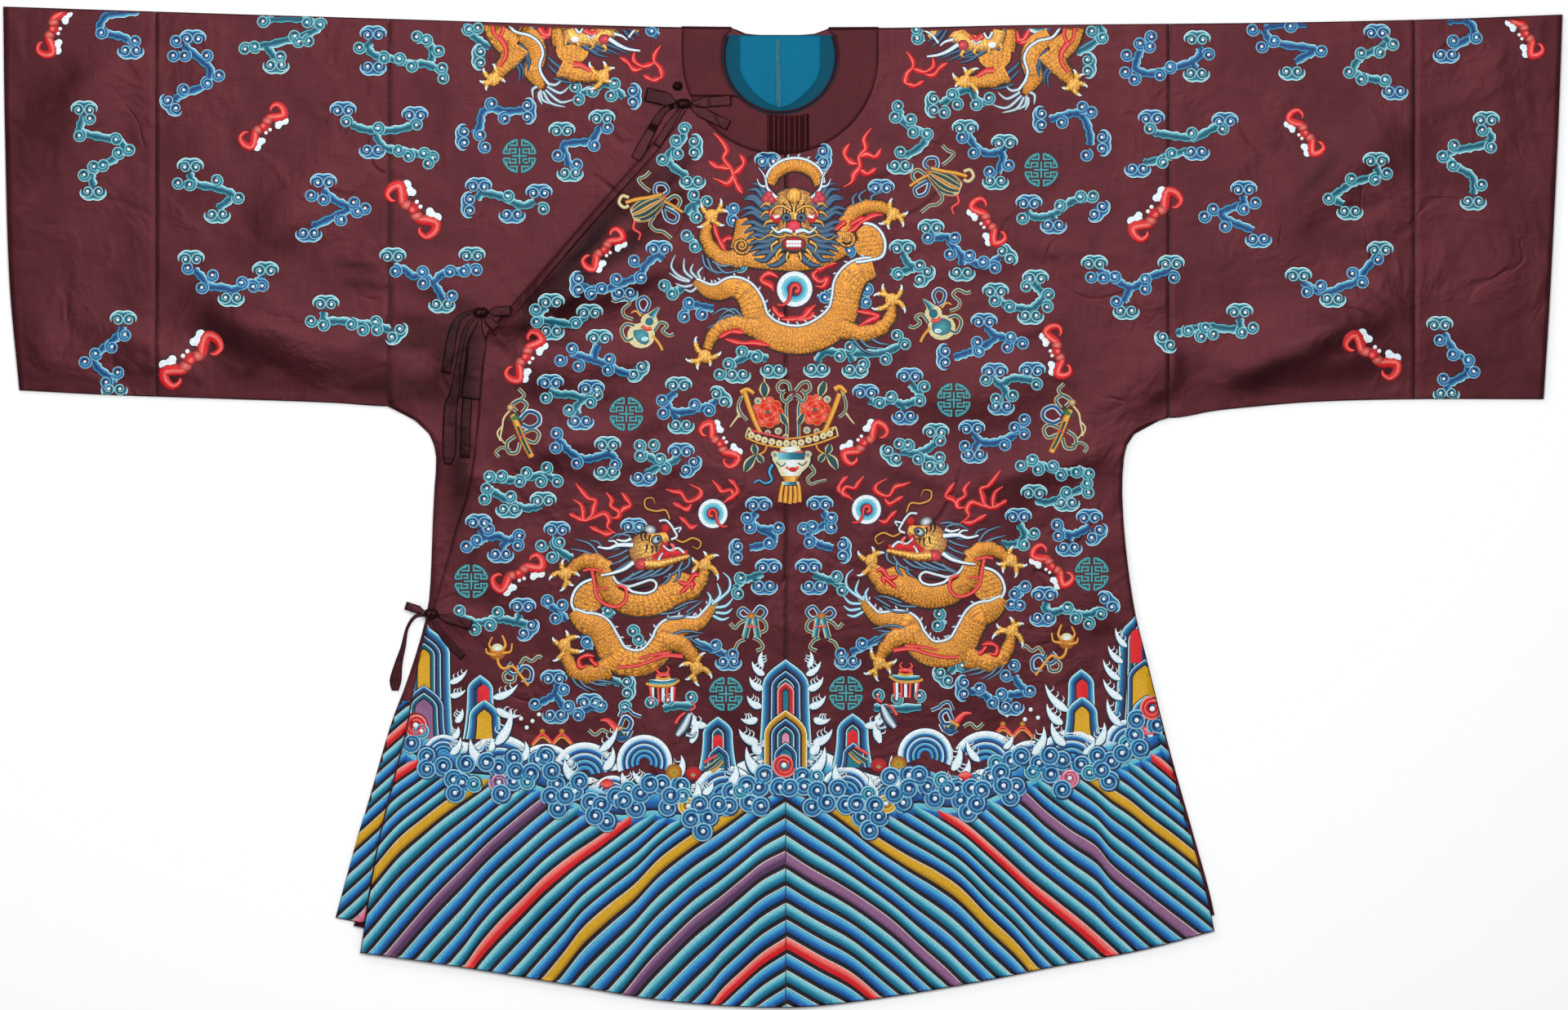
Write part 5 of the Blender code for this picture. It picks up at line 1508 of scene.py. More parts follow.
def rock(form, apex, half, foot, kinds, core, level, flare):
    """A rock in the sea: pointed arches nested in one another round a coloured core."""
    rings = [ring for kind in kinds.split() for ring in RINGS[kind]]
    rows, dyes, inset = [], [], 0.0
    for width, shades in rings + [(0.0, core), (None, None)]:
        h, top = max(half - inset, 0.05), apex[1] + 1.25 * inset
        low = top + 1.1 * h
        right = [(h * s, top + h * d) for s, d in ((0.22, 0.16), (0.50, 0.36), (0.74, 0.58), (0.92, 0.84))]
        right += [(h + flare * h / half * (k / 8) ** 2, low + (foot - low) * k / 8) for k in range(9)]
        row = [(apex[0] - x, y) for x, y in reversed(right)] + [(apex[0], top)]
        row += [(apex[0] + x, y) for x, y in right]
        rows.append(row)
        if width is None:
            break
        dyes.append(shades)
        inset = half if shades == core and width == 0.0 else inset + width
    field(form, rows, dyes, [level + 0.35 * math.sin(math.pi * k / len(rows)) for k in range(len(rows))])


BILLOW = (  # rings from the rim inward: share of the radius, dyes
    (1.0, "navy"), (0.97, "white"), (0.86, ("white", "sky")), (0.77, ("azure", "cobalt")), (0.69, "navy"),
    (0.66, ("white", "sky")), (0.58, ("azure", "cobalt")), (0.49, "navy"), (0.46, ("ice", "azure")),
    (0.36, "cobalt"), (0.29, ("sky", "azure")),
)
BILLOW_CORE = 0.18  # share of the radius left open in the middle


def dome(form, centre, radius, first, last, level):
    """A billow: rings of stitches about a centre, from a white rim to a deep blue inside."""
    angles = [math.radians(a) for a in evenly(first, last, 9)]
    radii = [share * radius for share, _ in BILLOW] + [BILLOW_CORE * radius]
    rows = [[(centre[0] + r * math.cos(a), centre[1] - r * math.sin(a)) for a in angles] for r in radii]
    field(form, rows, [shade for _, shade in BILLOW], [level + 0.3 * (k % 3) for k in range(len(rows))])


OUTLINED_WHITE = [(0.2, "navy", "navy"), (0.6, "white", "white"), (0.2, "navy", "navy")]
FOAM_BANDS = [
    (0.12, "navy", "navy"), (0.16, "sky", "white"), (0.52, "white", "white"), (0.12, "white", "sky"),
    (0.10, "navy", "navy"),
]


def foam(form, base, tip, bend, width, level):
    """A crest of foam: a white horn that bends over, with small claws along its hollow side."""
    end = Vector(tip)
    start = Vector(base) + (Vector(base) - end) * 0.35
    way = end - start
    width, bend = width * 1.45, bend * 1.3
    side = Vector((-way.y, way.x)).normalized() * bend
    line = [
        start * (1 - t) ** 2 + (start.lerp(end, 0.55) + side) * (2 * t * (1 - t)) + end * t * t
        for t in spread(9, 0, 1)
    ]
    widths = [width * (1 - (k / 8) ** 1.6) * (0.3, 0.8, 1)[min(k, 2)] + 0.6 for k in range(9)]
    strip(form, line, widths, FOAM_BANDS, level, 0.4)
    inward = -1 if bend > 0 else 1
    for k in (2, 4, 6):
        ahead = (line[k + 1] - line[k]).normalized()
        off = Vector((ahead.y, -ahead.x)) * inward
        root = line[k] - off * (widths[k] * 0.35)
        claw = [
            root, root - off * (width * 0.34) + ahead * 0.5,
            root - off * (width * 0.46) + ahead * (width * 0.34),
        ]
        strip(form, curved(claw, 2), [2.6, 2.4, 2.0, 1.4, 0.6], OUTLINED_WHITE, level + 0.1, 0.3)


ROCKS = (  # apex, half width, foot, rings, core, level, flare
    ((519, 763), 33, 905, "rock blue teal", "yellow", 0.45, 4),
    ((519, 838), 25, 905, "blue teal", "mauve", 0.8, 3),
    ((588, 825), 17, 905, "rock", "cobalt", 0.45, 6),
    ((592, 838), 7, 866, "", "red", 0.9, 0),
    ((593, 855), 20, 905, "rock", "yellow", 1.0, 4),
    ((1324, 818), 17, 900, "rock", "cobalt", 0.45, 6),
    ((1325, 832), 7, 860, "", "red", 0.9, 0),
    ((1325, 851), 20, 900, "rock", "yellow", 1.0, 4),
    ((1400, 748), 31, 900, "rock teal blue", "cobalt", 0.45, 10),
    ((1391, 770), 7, 812, "", "red", 0.95, 0),
    ((1402, 806), 22, 900, "blue", "yellow", 1.0, 2),
    ((1404, 850), 19, 900, "rock", "dye_pink", 1.3, 2),
    ((962, 806), 30, 946, "rock blue teal", "teal", 0.45, 7),
    ((962, 834), 11.5, 878, "red", "teal", 1.0, 0),
    ((962, 868), 27.5, 946, "yellow blue teal", "rose", 1.3, 0),
    ((962, 908), 15, 946, "blue", "teal", 1.7, 0),
    ((879, 876), 19.5, 944, "rock teal", "cobalt", 0.5, 6),
    ((879, 899), 6, 925, "", "red", 1.0, 0),
    ((880, 912), 14, 944, "blue", "teal", 1.2, 3),
    ((1044, 872), 20.5, 940, "rock teal", "cobalt", 0.5, 6),
    ((1044, 893), 6, 922, "", "red", 1.0, 0),
    ((1045, 908), 14, 940, "blue", "teal", 1.2, 3),
)
DOMES = (  # centre, radius, from and to in degrees, level
    ((612, 948), 49, 20, 160, 0.8), ((543, 925), 26, 20, 160, 0.8), ((668, 948), 38, 15, 140, 0.75),
    ((716, 950), 42, 10, 160, 0.85), ((789, 934), 35, -20, 200, 1.0), ((888, 978), 42, 15, 150, 0.9),
    ((750, 975), 26, 20, 150, 0.95), ((1036, 972), 34, 10, 150, 0.95), ((1133, 926), 35, -20, 200, 1.0),
    ((1207, 938), 44, 15, 150, 0.85), ((1262, 940), 34, 20, 160, 0.8), ((1312, 936), 44, 20, 160, 0.8),
    ((1383, 912), 32, 20, 170, 0.9), ((1085, 975), 24, 20, 160, 1.0), ((935, 950), 20, 10, 170, 0.8),
    ((988, 950), 20, 10, 170, 0.8),
)
FOAM = (  # root, tip, bend, width
    "555,918 564,903 5 9", "590,930 576,905 -8 15", "600,915 601,903 4 8", "640,925 643,908 6 9",
    "560,880 566,868 4 8",
    "556,850 570,845 4 7", "556,832 572,820 5 7", "556,900 561,890 4 8", "612,900 626,868 8 12",
    "616,870 638,876 7 9",
    "612,850 634,838 6 9", "702,948 692,930 -7 13", "742,935 750,915 7 11", "770,960 762,946 -5 12",
    "788,955 775,944 -6 10",
    "740,912 756,890 6 9", "829,945 834,925 7 11", "850,975 852,957 6 11", "864,968 873,958 4 9",
    "895,955 900,936 6 12",
    "928,940 914,915 -8 13", "930,918 925,905 -6 12", "922,905 905,893 -7 11", "922,880 907,880 -6 9",
    "928,862 915,852 -6 9",
    "930,840 918,829 -6 9", "932,822 921,810 -5 8", "934,812 934,798 -5 7", "846,900 846,872 8 10",
    "858,886 838,878 -5 9",
    "996,940 1010,915 8 13", "994,918 999,905 6 12", "1002,905 1019,893 7 11", "1002,880 1017,880 6 9",
    "996,862 1011,852 6 9",
    "994,840 1008,829 6 9", "992,822 1005,810 5 8", "990,812 992,798 5 7", "1078,900 1078,872 -8 10",
    "1066,886 1086,878 5 9",
    "1029,955 1024,936 -6 12", "1072,968 1066,950 -5 10", "1099,955 1092,925 -7 11",
    "1104,960 1112,946 5 10",
    "1160,960 1152,944 -6 11", "1168,935 1174,912 7 11", "1178,948 1186,930 6 11", "1195,925 1184,905 -6 9",
    "1232,912 1240,900 4 8", "1268,915 1278,890 8 12", "1296,880 1282,862 -7 10", "1300,862 1280,838 -7 10",
    "1300,905 1288,884 -7 11", "1345,905 1352,885 6 10", "1368,880 1356,856 -7 9", "1368,850 1351,832 -6 9",
    "1366,826 1351,808 -6 8", "1370,806 1357,791 -5 8", "1376,786 1366,769 -5 7", "1330,918 1340,905 5 8",
)
FRONT_CURLS = {  # centres of the curls along the stripes, from left to right
    "blue": (
        "504,910 523,926 523,942 543,938 555,955 557,971 571,935 566,958 596,934 611,940 629,928 632,944 "
        "629,957 614,972 650,947 658,930 668,926 676,944 682,960 675,975 693,974 683,990 704,969 710,957 "
        "723,983 736,985 729,999 743,1006 754,976 764,981 779,990 784,971 796,960 811,960 818,989 821,974 "
        "834,962 857,985 846,1003 868,1001 861,1018 880,985 896,970 893,987 914,962 929,964 918,983 "
        "932,987 936,949 955,964 967,964 983,950 985,963 1001,968 1026,966 994,988 1013,983 1036,985 "
        "1049,985 1072,986 1056,1001 1076,1000 1065,1017 1106,983 1090,952 1094,972 1113,949 1126,949 "
        "1113,966 1136,963 1145,978 1160,966 1172,966 1190,965 1202,968 1176,980 1186,995 1196,984 "
        "1213,952 1226,946 1229,962 1245,963 1238,976 1251,926 1238,932 1272,934 1286,925 1301,931 "
        "1287,948 1301,967 1324,936 1344,925 1349,943 1361,932 1358,957 1374,922 1390,900 1396,916 "
        "1392,882 1417,888"
    ),
    "teal": (
        "516,895 580,960 646,958 770,966 836,975 906,968 1000,951 1064,972 1153,956 1220,934 1265,945 "
        "1334,946 1380,912"
    ),
    "red": "509,888 960,937 1411,868", "yellow": "843,987 1085,984", "mauve": "611,958", "pink": "1310,953",
}
CURL_TONES = {
    "blue": ("white", "sky", "blue", "cobalt"), "teal": ("white", "ice", "lagoon", "deep_teal"),
    "red": ("blush", "salmon", "red", "dark_red"), "yellow": ("white", "lemon", "yellow", "ochre"),
    "mauve": ("white", "rose", "mauve", "plum"), "pink": ("white", "rose", "dye_pink", "mauve"),
}
rocks = new_drawing()
for values in ROCKS:
    rock(rocks, *values)
lay(rocks, "sea_rocks", floss, front_panels)
SWELL = spots(  # the water between the rocks and the curls
    "496,902 530,922 570,934 610,938 650,946 690,962 724,978 762,986 800,980 840,986 880,976 915,957 "
    "940,947 962,952"
)
SWELL_WIDTH = 54
SWELL_BANDS = [
    (0.05, "navy", "navy"), (0.14, "white", "white"), (0.14, "white", "sky"), (0.20, "sky", "azure"),
    (0.15, "azure", "cobalt"), (0.05, "navy", "navy"), (0.12, "ice", "sky"), (0.15, "azure", "cobalt"),
]
billows = new_drawing()
for swell in (SWELL, [(1925 - x, y - 9) for x, y in reversed(SWELL)]):
    strip(billows, curved(swell, 4), SWELL_WIDTH, SWELL_BANDS, 0.25, 0.35)
for values in DOMES:
    dome(billows, *values)
for values in FOAM:
    root, tip, bend, width = values.split()
    foam(billows, spots(root)[0], spots(tip)[0], float(bend), float(width), 1.35)
lay(billows, "sea_billows", floss, front_panels)
crests = new_drawing()
for kind, places in FRONT_CURLS.items():
    tones = CURL_TONES[kind]
    size = {"red": 17, "blue": 14.2, "teal": 12}.get(kind, 14)
    for number, spot in enumerate(spots(places)):
        disc(crests, spot, size * 0.92, tones[3], tones[2], 1.3 + 0.1 * (number % 3), 0.1, sides=14)
        start = math.radians(200 - 220 * (number % 2) + 37 * (number % 5))
        curl(crests, spot, start, 1 if number % 2 else -1, size, tones, 1.3 + 0.1 * (number % 3), turns=1.9)
lay(crests, "sea_curls", floss, front_panels)


# ---- Dragons: couched gold thread with satin-stitched manes, spines and nails ----
# Each dragon is gold thread laid in scales between dark lines, with a row of white spines along
# its back. Manes, horns, tails and flames are floss. The two on the shoulders run up to the fold.

SCALE_SIZE = 0.0044
couched_gold = silk_thread("couched_gold_thread", 0.45, 0.36, 0.35, scales=SCALE_SIZE)
black_line = [(0.5, "black", "black"), (0.5, "black", "black")]
white_edge = [(0.22, "slate", "mist"), (0.56, "white", "white"), (0.22, "mist", "slate")]
thorn_white = [(0.5, "mist", "white"), (0.5, "white", "mist")]
nail_white = [(0.2, "black", "mist"), (0.6, "white", "white"), (0.2, "mist", "black")]


def limb(gold, form, line, widths, level):
    """A leg: a tapering band of gold scales with a dark outline."""
    route = curved(spots(line), 4)
    wide = [w * (1 + 0.10 * math.sin(1.7 * k)) for k, w in enumerate(spread(len(route), *widths))]
    strip(form, route, [w + 3.2 for w in wide], black_line, level - 0.2, 0.1)
    rim = [(0.14, "bronze", "gold"), (0.72, "gold", "gold"), (0.14, "gold", "bronze")]
    strip(gold, route, wide, rim, level, 0.9)


def claw_foot(gold, form, palm, tips, level):
    """A gold palm with five bent toes, each with a white nail."""
    centre = Vector(spots(palm)[0])
    for number, tip in enumerate(spots(tips)):
        end = Vector(tip)
        way = end - centre
        side = Vector((-way.y, way.x)) * (0.20 if number % 2 else -0.20)
        toe = curved([centre, centre + way * 0.46 + side, centre + way * 0.92 + side * 0.6], 4)
        strip(form, toe, spread(9, 9.4, 7.6), black_line, level - 0.1, 0.1)
        strip(gold, toe, spread(9, 7.6, 5.8), [(0.5, "gold", "brass"), (0.5, "brass", "gold")], level, 0.8)
        nail = [toe[-2], centre + way * 1.02 + side * 0.3, end + way * 0.10 - side * 0.3]
        strip(form, curved(nail, 3), spread(7, 5.4, 2.0), nail_white, level + 0.4, 0.4)
    disc(gold, centre, 8.0, "gold", "brass", level + 0.3, 0.8, sides=14)


SPINE_WIDTH = 4.6


def body(gold, form, line, widths, level, spine=-1):
    """A length of the body: gold scales between dark lines, with a thorned white spine on one side."""
    route = curved(spots(line), 6)
    wide = [
        follow([(k / (len(widths) - 1), w) for k, w in enumerate(widths)], share)
        for share in spread(len(route), 0, 1)
    ]
    strip(form, route, [w + 3.6 for w in wide], black_line, level - 0.2, 0.1)
    rim = [(0.08, "bronze", "gold"), (0.84, "gold", "gold"), (0.08, "gold", "bronze")]
    strip(gold, route, wide, rim, level, 0.7)
    if not spine:
        return
    ridge = []
    for k in range(len(route)):
        ahead = (route[min(k + 1, len(route) - 1)] - route[max(k - 1, 0)]).normalized()
        ridge.append((route[k] + Vector((ahead.y, -ahead.x)) * (spine * (wide[k] / 2 + 0.6)), ahead))
    strip(form, [spot for spot, _ in ridge], SPINE_WIDTH, white_edge, level + 0.2, 0.7)
    for k in range(3, len(ridge) - 2, 4):
        spot, ahead = ridge[k]
        out = Vector((ahead.y, -ahead.x)) * spine
        thorn = [spot, spot + out * 3.4 + ahead * 0.8, spot + out * 5.4 + ahead * 2.6]
        strip(form, curved(thorn, 2), [3.4, 3.0, 2.4, 1.6, 0.6], thorn_white, level + 0.2, 0.4)


def hair(form, strands, dyes, width, level):
    """Tapering strands of floss, such as a mane, whiskers or a tail's tuft."""
    outer, inner = dyes
    bands = [(0.20, "navy", outer), (0.28, outer, inner), (0.32, inner, outer), (0.20, outer, "navy")]
    for strand in strands.split(";"):
        route = curved(spots(strand), 5)
        shares = spread(len(route), 0, 1)
        wide = [width * (0.55 + 0.9 * share - 1.4 * share * share) + 0.5 for share in shares]
        strip(form, route, wide, bands, level, 0.5)


def flame(form, tongues, width=9.0, level=0.35):
    """Red flames: wavering tongues, dark at the edge and salmon inside."""
    bands = [
        (0.22, "dark_red", "red"), (0.24, "red", "red"), (0.20, "salmon", "salmon"),
        (0.34, "red", "dark_red"),
    ]
    for tongue in tongues.split(";"):
        route = curved(spots(tongue), 5)
        shares = spread(len(route), 0, 1)
        wide = [
            width * min(1.0, 0.25 + 3 * share, 0.25 + 3 * (1 - share)) * (0.9 + 0.2 * math.sin(11 * share))
            for share in shares
        ]
        strip(form, route, wide, bands, level, 0.35)


def pearl(form, centre, radius, level=0.5, hand=1):
    """The flaming pearl: a white rim, rings of pale blue, and a red comma whose tail licks past the rim."""
    for share, outer, inner in (
        (1.0, "slate", "slate"), (0.96, "white", "white"), (0.72, "ice", "ice"), (0.58, "sky", "teal"),
        (0.42, "deep_teal", "navy"),
    ):
        disc(form, centre, radius * share, outer, inner, level + 0.4 * (1 - share), 0.05, sides=26)
    comma = (
        (-0.02, 0.16), (-0.20, 0.12), (-0.24, -0.08), (-0.06, -0.24), (0.18, -0.10), (0.24, 0.28),
        (0.34, 0.62), (0.62, 0.86), (0.94, 0.84),
    )
    route = curved([(centre[0] + hand * x * radius, centre[1] + y * radius) for x, y in comma], 4)
    bands = [(0.3, "dark_red", "red"), (0.3, "salmon", "red"), (0.4, "red", "dark_red")]
    strip(form, route, spread(len(route), 0.34 * radius, 0.16 * radius), bands, level + 0.7, 0.3)


def dragon_face(gold, form, centre, tilt, size, level):
    """A gold face seen from the front: a leafy mane, white horns, round eyes, a red nose and jaws."""
    middle = Vector(centre)
    along, up = Vector((math.cos(tilt), math.sin(tilt))), Vector((math.sin(tilt), -math.cos(tilt)))

    def at(x, y):
        return middle + along * (x * size) + up * (y * size)

    def text(*points):
        return " ".join("%g,%g" % tuple(at(x, y)) for x, y in points)

    def stroke(points, first, last, bands, rise, drawing=form):
        line = curved([at(x, y) for x, y in points], 4)
        strip(drawing, line, [w * size for w in spread(len(line), first, last)], bands, level + rise, 0.4)

    horn_white = [
        (0.2, "navy", "navy"), (0.3, "mist", "white"), (0.3, "white", "white"), (0.2, "navy", "navy"),
    ]
    ear_gold = [
        (0.16, "black", "black"), (0.34, "bronze", "brass"), (0.34, "brass", "bronze"),
        (0.16, "black", "black"),
    ]
    for hand in (-1, 1):
        for points in (
            ((20, -16), (34, -24), (48, -22), (60, -28)), ((22, -8), (38, -12), (52, -6), (66, -10)),
            ((24, 2), (40, 4), (54, 12), (68, 8)), ((22, 12), (38, 16), (50, 26), (62, 24)),
            ((18, 18), (34, 28), (42, 40), (52, 42)), ((14, -40), (26, -44), (36, -54), (50, -52)),
            ((24, 6), (38, 12), (50, 22), (62, 22)), ((22, -2), (38, -2), (52, 6), (66, 0)),
            ((20, -12), (36, -18), (50, -14), (62, -20)),
            ((20, 16), (36, 22), (46, 34), (58, 34)), ((18, -22), (32, -30), (46, -30), (58, -36)),
            ((16, -34), (28, -42), (40, -44), (52, -48)),
            ((20, -30), (34, -36), (46, -38), (56, -44)), ((8, -46), (14, -54), (24, -60), (34, -60)),
        ):
            hair(form, text(*((hand * x, y) for x, y in points)), ("slate", "steel"), 13 * size, level)
        stroke(((hand * 22, 24), (hand * 33, 36), (hand * 36, 50), (hand * 44, 62)), 8, 1, horn_white, 0.6)
        stroke(((hand * 34, 38), (hand * 42, 40), (hand * 46, 48)), 5, 1, OUTLINED_WHITE, 0.5)
        for x, y in ((28, 22), (35, 23), (31, 28)):
            disc(form, at(hand * x, y), 5.6 * size, "dark_red", "dye_pink", level + 0.9, 0.5, sides=12)
        for points in (
            ((30, 16), (36, 17), (42, 12)), ((28, 6), (36, 6), (42, 0)), ((24, -4), (34, -6), (38, -13)),
            ((20, -14), (28, -18), (31, -25)),
        ):
            stroke([(hand * x, y) for x, y in points], 9, 1.5, ear_gold, 0.7)
    skull = ((22, 14, 1.75), (6, 18, 1.6), (-14, 17, 1.2), (-30, 13, 1.4))  # height, radius, stretch
    for y, radius, stretch in skull:
        disc(
            form, at(0, y), (radius + 1.8) * size, "black", "black", level + 0.2, 0.1, turn=tilt,
            stretch=stretch, sides=26,
        )
    for y, radius, stretch in reversed(skull):
        disc(
            gold, at(0, y), radius * size, "bronze", "brass", level + 0.45, 0.7, turn=tilt, stretch=stretch,
            sides=26,
        )
    disc(form, at(0, 27), 10.2 * size, "bronze", "black", level + 1.0, 0.2, sides=18)
    disc(gold, at(0, 27), 8.8 * size, "gold", "brass", level + 1.2, 0.5, sides=16)
    gold_wire = [(0.25, "black", "bronze"), (0.5, "brass", "brass"), (0.25, "bronze", "black")]
    brow = [
        (0.16, "navy", "navy"), (0.26, "sky", "white"), (0.42, "white", "white"), (0.16, "navy", "navy"),
    ]
    for hand in (-1, 1):
        stroke(((hand * 4, 8), (hand * 14, 14), (hand * 24, 12), (hand * 30, 4)), 4.5, 3, gold_wire, 1.3)
        stroke(
            ((hand * 17, 0), (hand * 22, -5), (hand * 26, -1), (hand * 30, 9)), 5, 7,
            [(0.5, "dark_red", "red"), (0.5, "red", "dark_red")], 1.0,
        )
        stroke(((hand * 18, 2), (hand * 24, 0), (hand * 29, 4)), 3, 4, [(1.0, "white", "white")], 1.2)
        disc(
            form, at(hand * 9.6, 0), 6.0 * size, "black", "black", level + 1.2, 0.2, stretch=1.1, turn=tilt,
            sides=14,
        )
        disc(
            form, at(hand * 9.6, -0.4), 5.0 * size, "slate", "mist", level + 1.4, 0.3, stretch=1.1,
            turn=tilt, sides=14,
        )
        disc(form, at(hand * 9.2, -0.6), 2.7 * size, "black", "navy", level + 1.8, 0.1, sides=10)
        for x in (5, 9, 13):
            stroke(
                ((hand * x, 5), (hand * (x + 0.4), 9), (hand * (x + 0.2), 12)), 2.2, 1.0, black_line, 1.5,
            )
            stroke(((hand * x, -5), (hand * x, -8)), 1.8, 1.0, black_line, 1.5)
        stroke(((hand * 2, -18), (hand * 12, -16), (hand * 20, -19), (hand * 28, -12)), 8, 3, brow, 1.3)
        stroke(
            ((hand * 8, -22), (hand * 18, -25), (hand * 30, -22), (hand * 42, -28), (hand * 52, -24)), 3.5,
            1.5, gold_wire, 1.1,
        )
        for points in (
            ((20, -30), (28, -36), (26, -44)), ((16, -40), (22, -48), (18, -54)),
            ((7, -44), (9, -52), (4, -58)),
        ):
            stroke([(hand * x, y) for x, y in points], 6, 1.2, gold_wire, 1.0)
    disc(form, at(0, -33), 9.6 * size, "black", "black", level + 1.2, 0.1, turn=tilt, stretch=1.6, sides=18)
    disc(
        form, at(0, -33), 8.6 * size, "dark_red", "red", level + 1.35, 0.1, turn=tilt, stretch=1.6,
        sides=18,
    )
    for k in range(5):
        disc(form, at(-7.2 + 3.6 * k, -31), 2.5 * size, "white", "white", level + 1.6, 0.2, sides=6)
        disc(form, at(-7.2 + 3.6 * k, -35.4), 2.2 * size, "white", "white", level + 1.6, 0.2, sides=6)
    disc(
        form, at(0, -11), 8.2 * size, "black", "black", level + 1.3, 0.2, turn=tilt, stretch=1.25, sides=14,
    )
    disc(
        form, at(0, -11), 7.0 * size, "red", "dye_pink", level + 1.5, 0.7, turn=tilt, stretch=1.25,
        sides=14,
    )
    for hand in (-1, 1):
        stroke(((hand * 2, 6), (hand * 3, 14), (hand * 7, 20)), 2.4, 1.2, black_line, 1.3)
        stroke(((hand * 8, 9), (hand * 10, 14), (hand * 14, 18)), 2.2, 1.2, black_line, 1.3)


gold, silk = new_drawing(), new_drawing()
# The chest dragon coils about its pearl, with its head straight above.
flame(silk, (
    "953,340 941,335 932,343 944,350 947,357;946,375 953,385 961,387;957,391 970,391 983,388 991,380 "
    "999,373;976,392 992,389 996,382;1024,322 1013,325 1003,330 1001,321;1003,330 996,337 1004,345 "
    "1013,341 1008,351 998,350"
))
flame(silk, (
    "874,163 883,172 890,184 886,194 894,205 898,215 891,225 882,222 873,218;868,197 877,204 886,205 "
    "895,207;906,189 911,199 905,208 897,214;898,215 902,226 909,237;1067,157 1058,170 1060,182 1052,192 "
    "1053,204 1046,214 1043,223 1033,229;1040,176 1034,188 1041,198 1051,201;1079,182 1072,192 1061,189 "
    "1053,193;1073,206 1062,213 1053,207"
), 9.0)
body(
    gold, silk, "943,225 949,213 960,205 974,202 987,205 998,213 1003,226", (12, 15, 16, 16, 16, 15, 12),
    0.9, spine=1,
)
body(
    gold, silk, "898,314 922,316 950,320 980,321 1008,315 1032,302", (20, 24, 22, 22, 22, 24), 0.6, spine=0,
)
body(gold, silk, "908,268 911,282 910,296 904,308", (14, 24, 28, 22), 0.9, spine=0)
disc(silk, (1065, 297), 20.5, "black", "black", 0.5, 0.1, stretch=1.17, turn=1.45, sides=24)
disc(gold, (1065, 297), 19.0, "gold", "gold", 0.8, 0.7, stretch=1.17, turn=1.45, sides=24)
body(gold, silk, (
    "1070,328 1052,334 1040,348 1036,366 1031,386 1014,404 990,415 966,416 942,408 926,392 920,372 910,357 "
    "896,352 880,358 866,356 850,345"
),
     (24, 32, 36, 34, 36, 37, 35, 34, 33, 31, 29, 27, 24, 20, 16, 8), 0.9)
strip(silk, curved(spots(
    "1057,273 1070,276 1080,286 1084,300 1080,314 1064,319 1048,321"
), 6), 5.0, white_edge, 1.7, 0.5)
hair(silk, (
    "845,344 830,337 822,326 827,312;848,341 838,331 838,316;853,340 846,332 849,323;858,341 855,334 "
    "861,327;844,345 832,342 819,334;848,349 838,351 827,347;853,352 846,357 838,354"
), ("mist", "white"), 6.5, 1.1)
limb(gold, silk, "906,316 886,316 872,306 864,290 866,274", (24, 13), 1.1)
claw_foot(gold, silk, "871,264", "860,250 882,246 890,260 885,275 856,277", 1.3)
limb(gold, silk, "1036,296 1036,278 1044,262 1062,253 1080,254 1092,260", (26, 12), 1.3)
claw_foot(gold, silk, "1094,262", "1092,245 1110,260 1105,276 1089,279 1078,273", 1.5)
limb(gold, silk, "926,402 902,396 884,400 872,412 866,427", (24, 12), 1.3)
claw_foot(gold, silk, "863,436", "853,415 881,432 842,440 855,451 869,447", 1.5)
limb(gold, silk, "1030,402 1056,408 1078,402 1090,388 1092,375", (24, 12), 1.3)
claw_foot(gold, silk, "1092,367", "1082,350 1103,351 1107,381 1072,362 1070,377", 1.5)
flame(silk, (
    "1048,381 1062,383 1076,387 1064,393 1050,400;880,414 896,406 913,408;888,415 906,420 926,420 944,424;"
    "874,273 878,288 884,300 889,308;884,297 890,292 897,292;1036,286 1046,280 1056,271 1070,264 1082,263;"
    "1040,276 1050,270 1058,266;1022,282 1030,276 1036,270"
), 8, 2.0)
for spot, hand in (((908, 301), 1), ((1038, 292), -1)):  # scrolls of gold cord on the shoulders
    turns = zip(spread(21, 0.4, 10.4), spread(21, 10.5, 2.0))
    coil = [(spot[0] + hand * r * math.cos(a), spot[1] + r * math.sin(a)) for a, r in turns]
    strip(gold, coil, 3.4, [(0.5, "bronze", "brass"), (0.5, "brass", "bronze")], 2.0, 0.7)
    strip(silk, coil, 5.0, [(0.5, "black", "dark_red"), (0.5, "dark_red", "black")], 1.8, 0.1)
hair(silk, (
    "1050,410 1062,424 1080,426;1044,414 1056,428 1072,434;1064,412 1076,420 1090,422;908,388 900,379 "
    "890,381 880,390;904,392 894,386 884,390 874,398;900,384 886,378 872,386;894,396 880,396 866,402;"
    "860,312 864,326 880,337;866,316 874,332 894,334;876,322 888,334 908,330;872,320 886,326 902,322;"
    "1058,252 1052,240 1062,232;1066,250 1068,240 1080,236;1048,256 1044,244 1050,236"
), ("slate", "mist"), 6.5, 1.4)
pearl(silk, (973, 354), 22.5, 1.2, hand=-1)
dragon_face(gold, silk, (972, 266), 0.0, 0.98, 1.5)


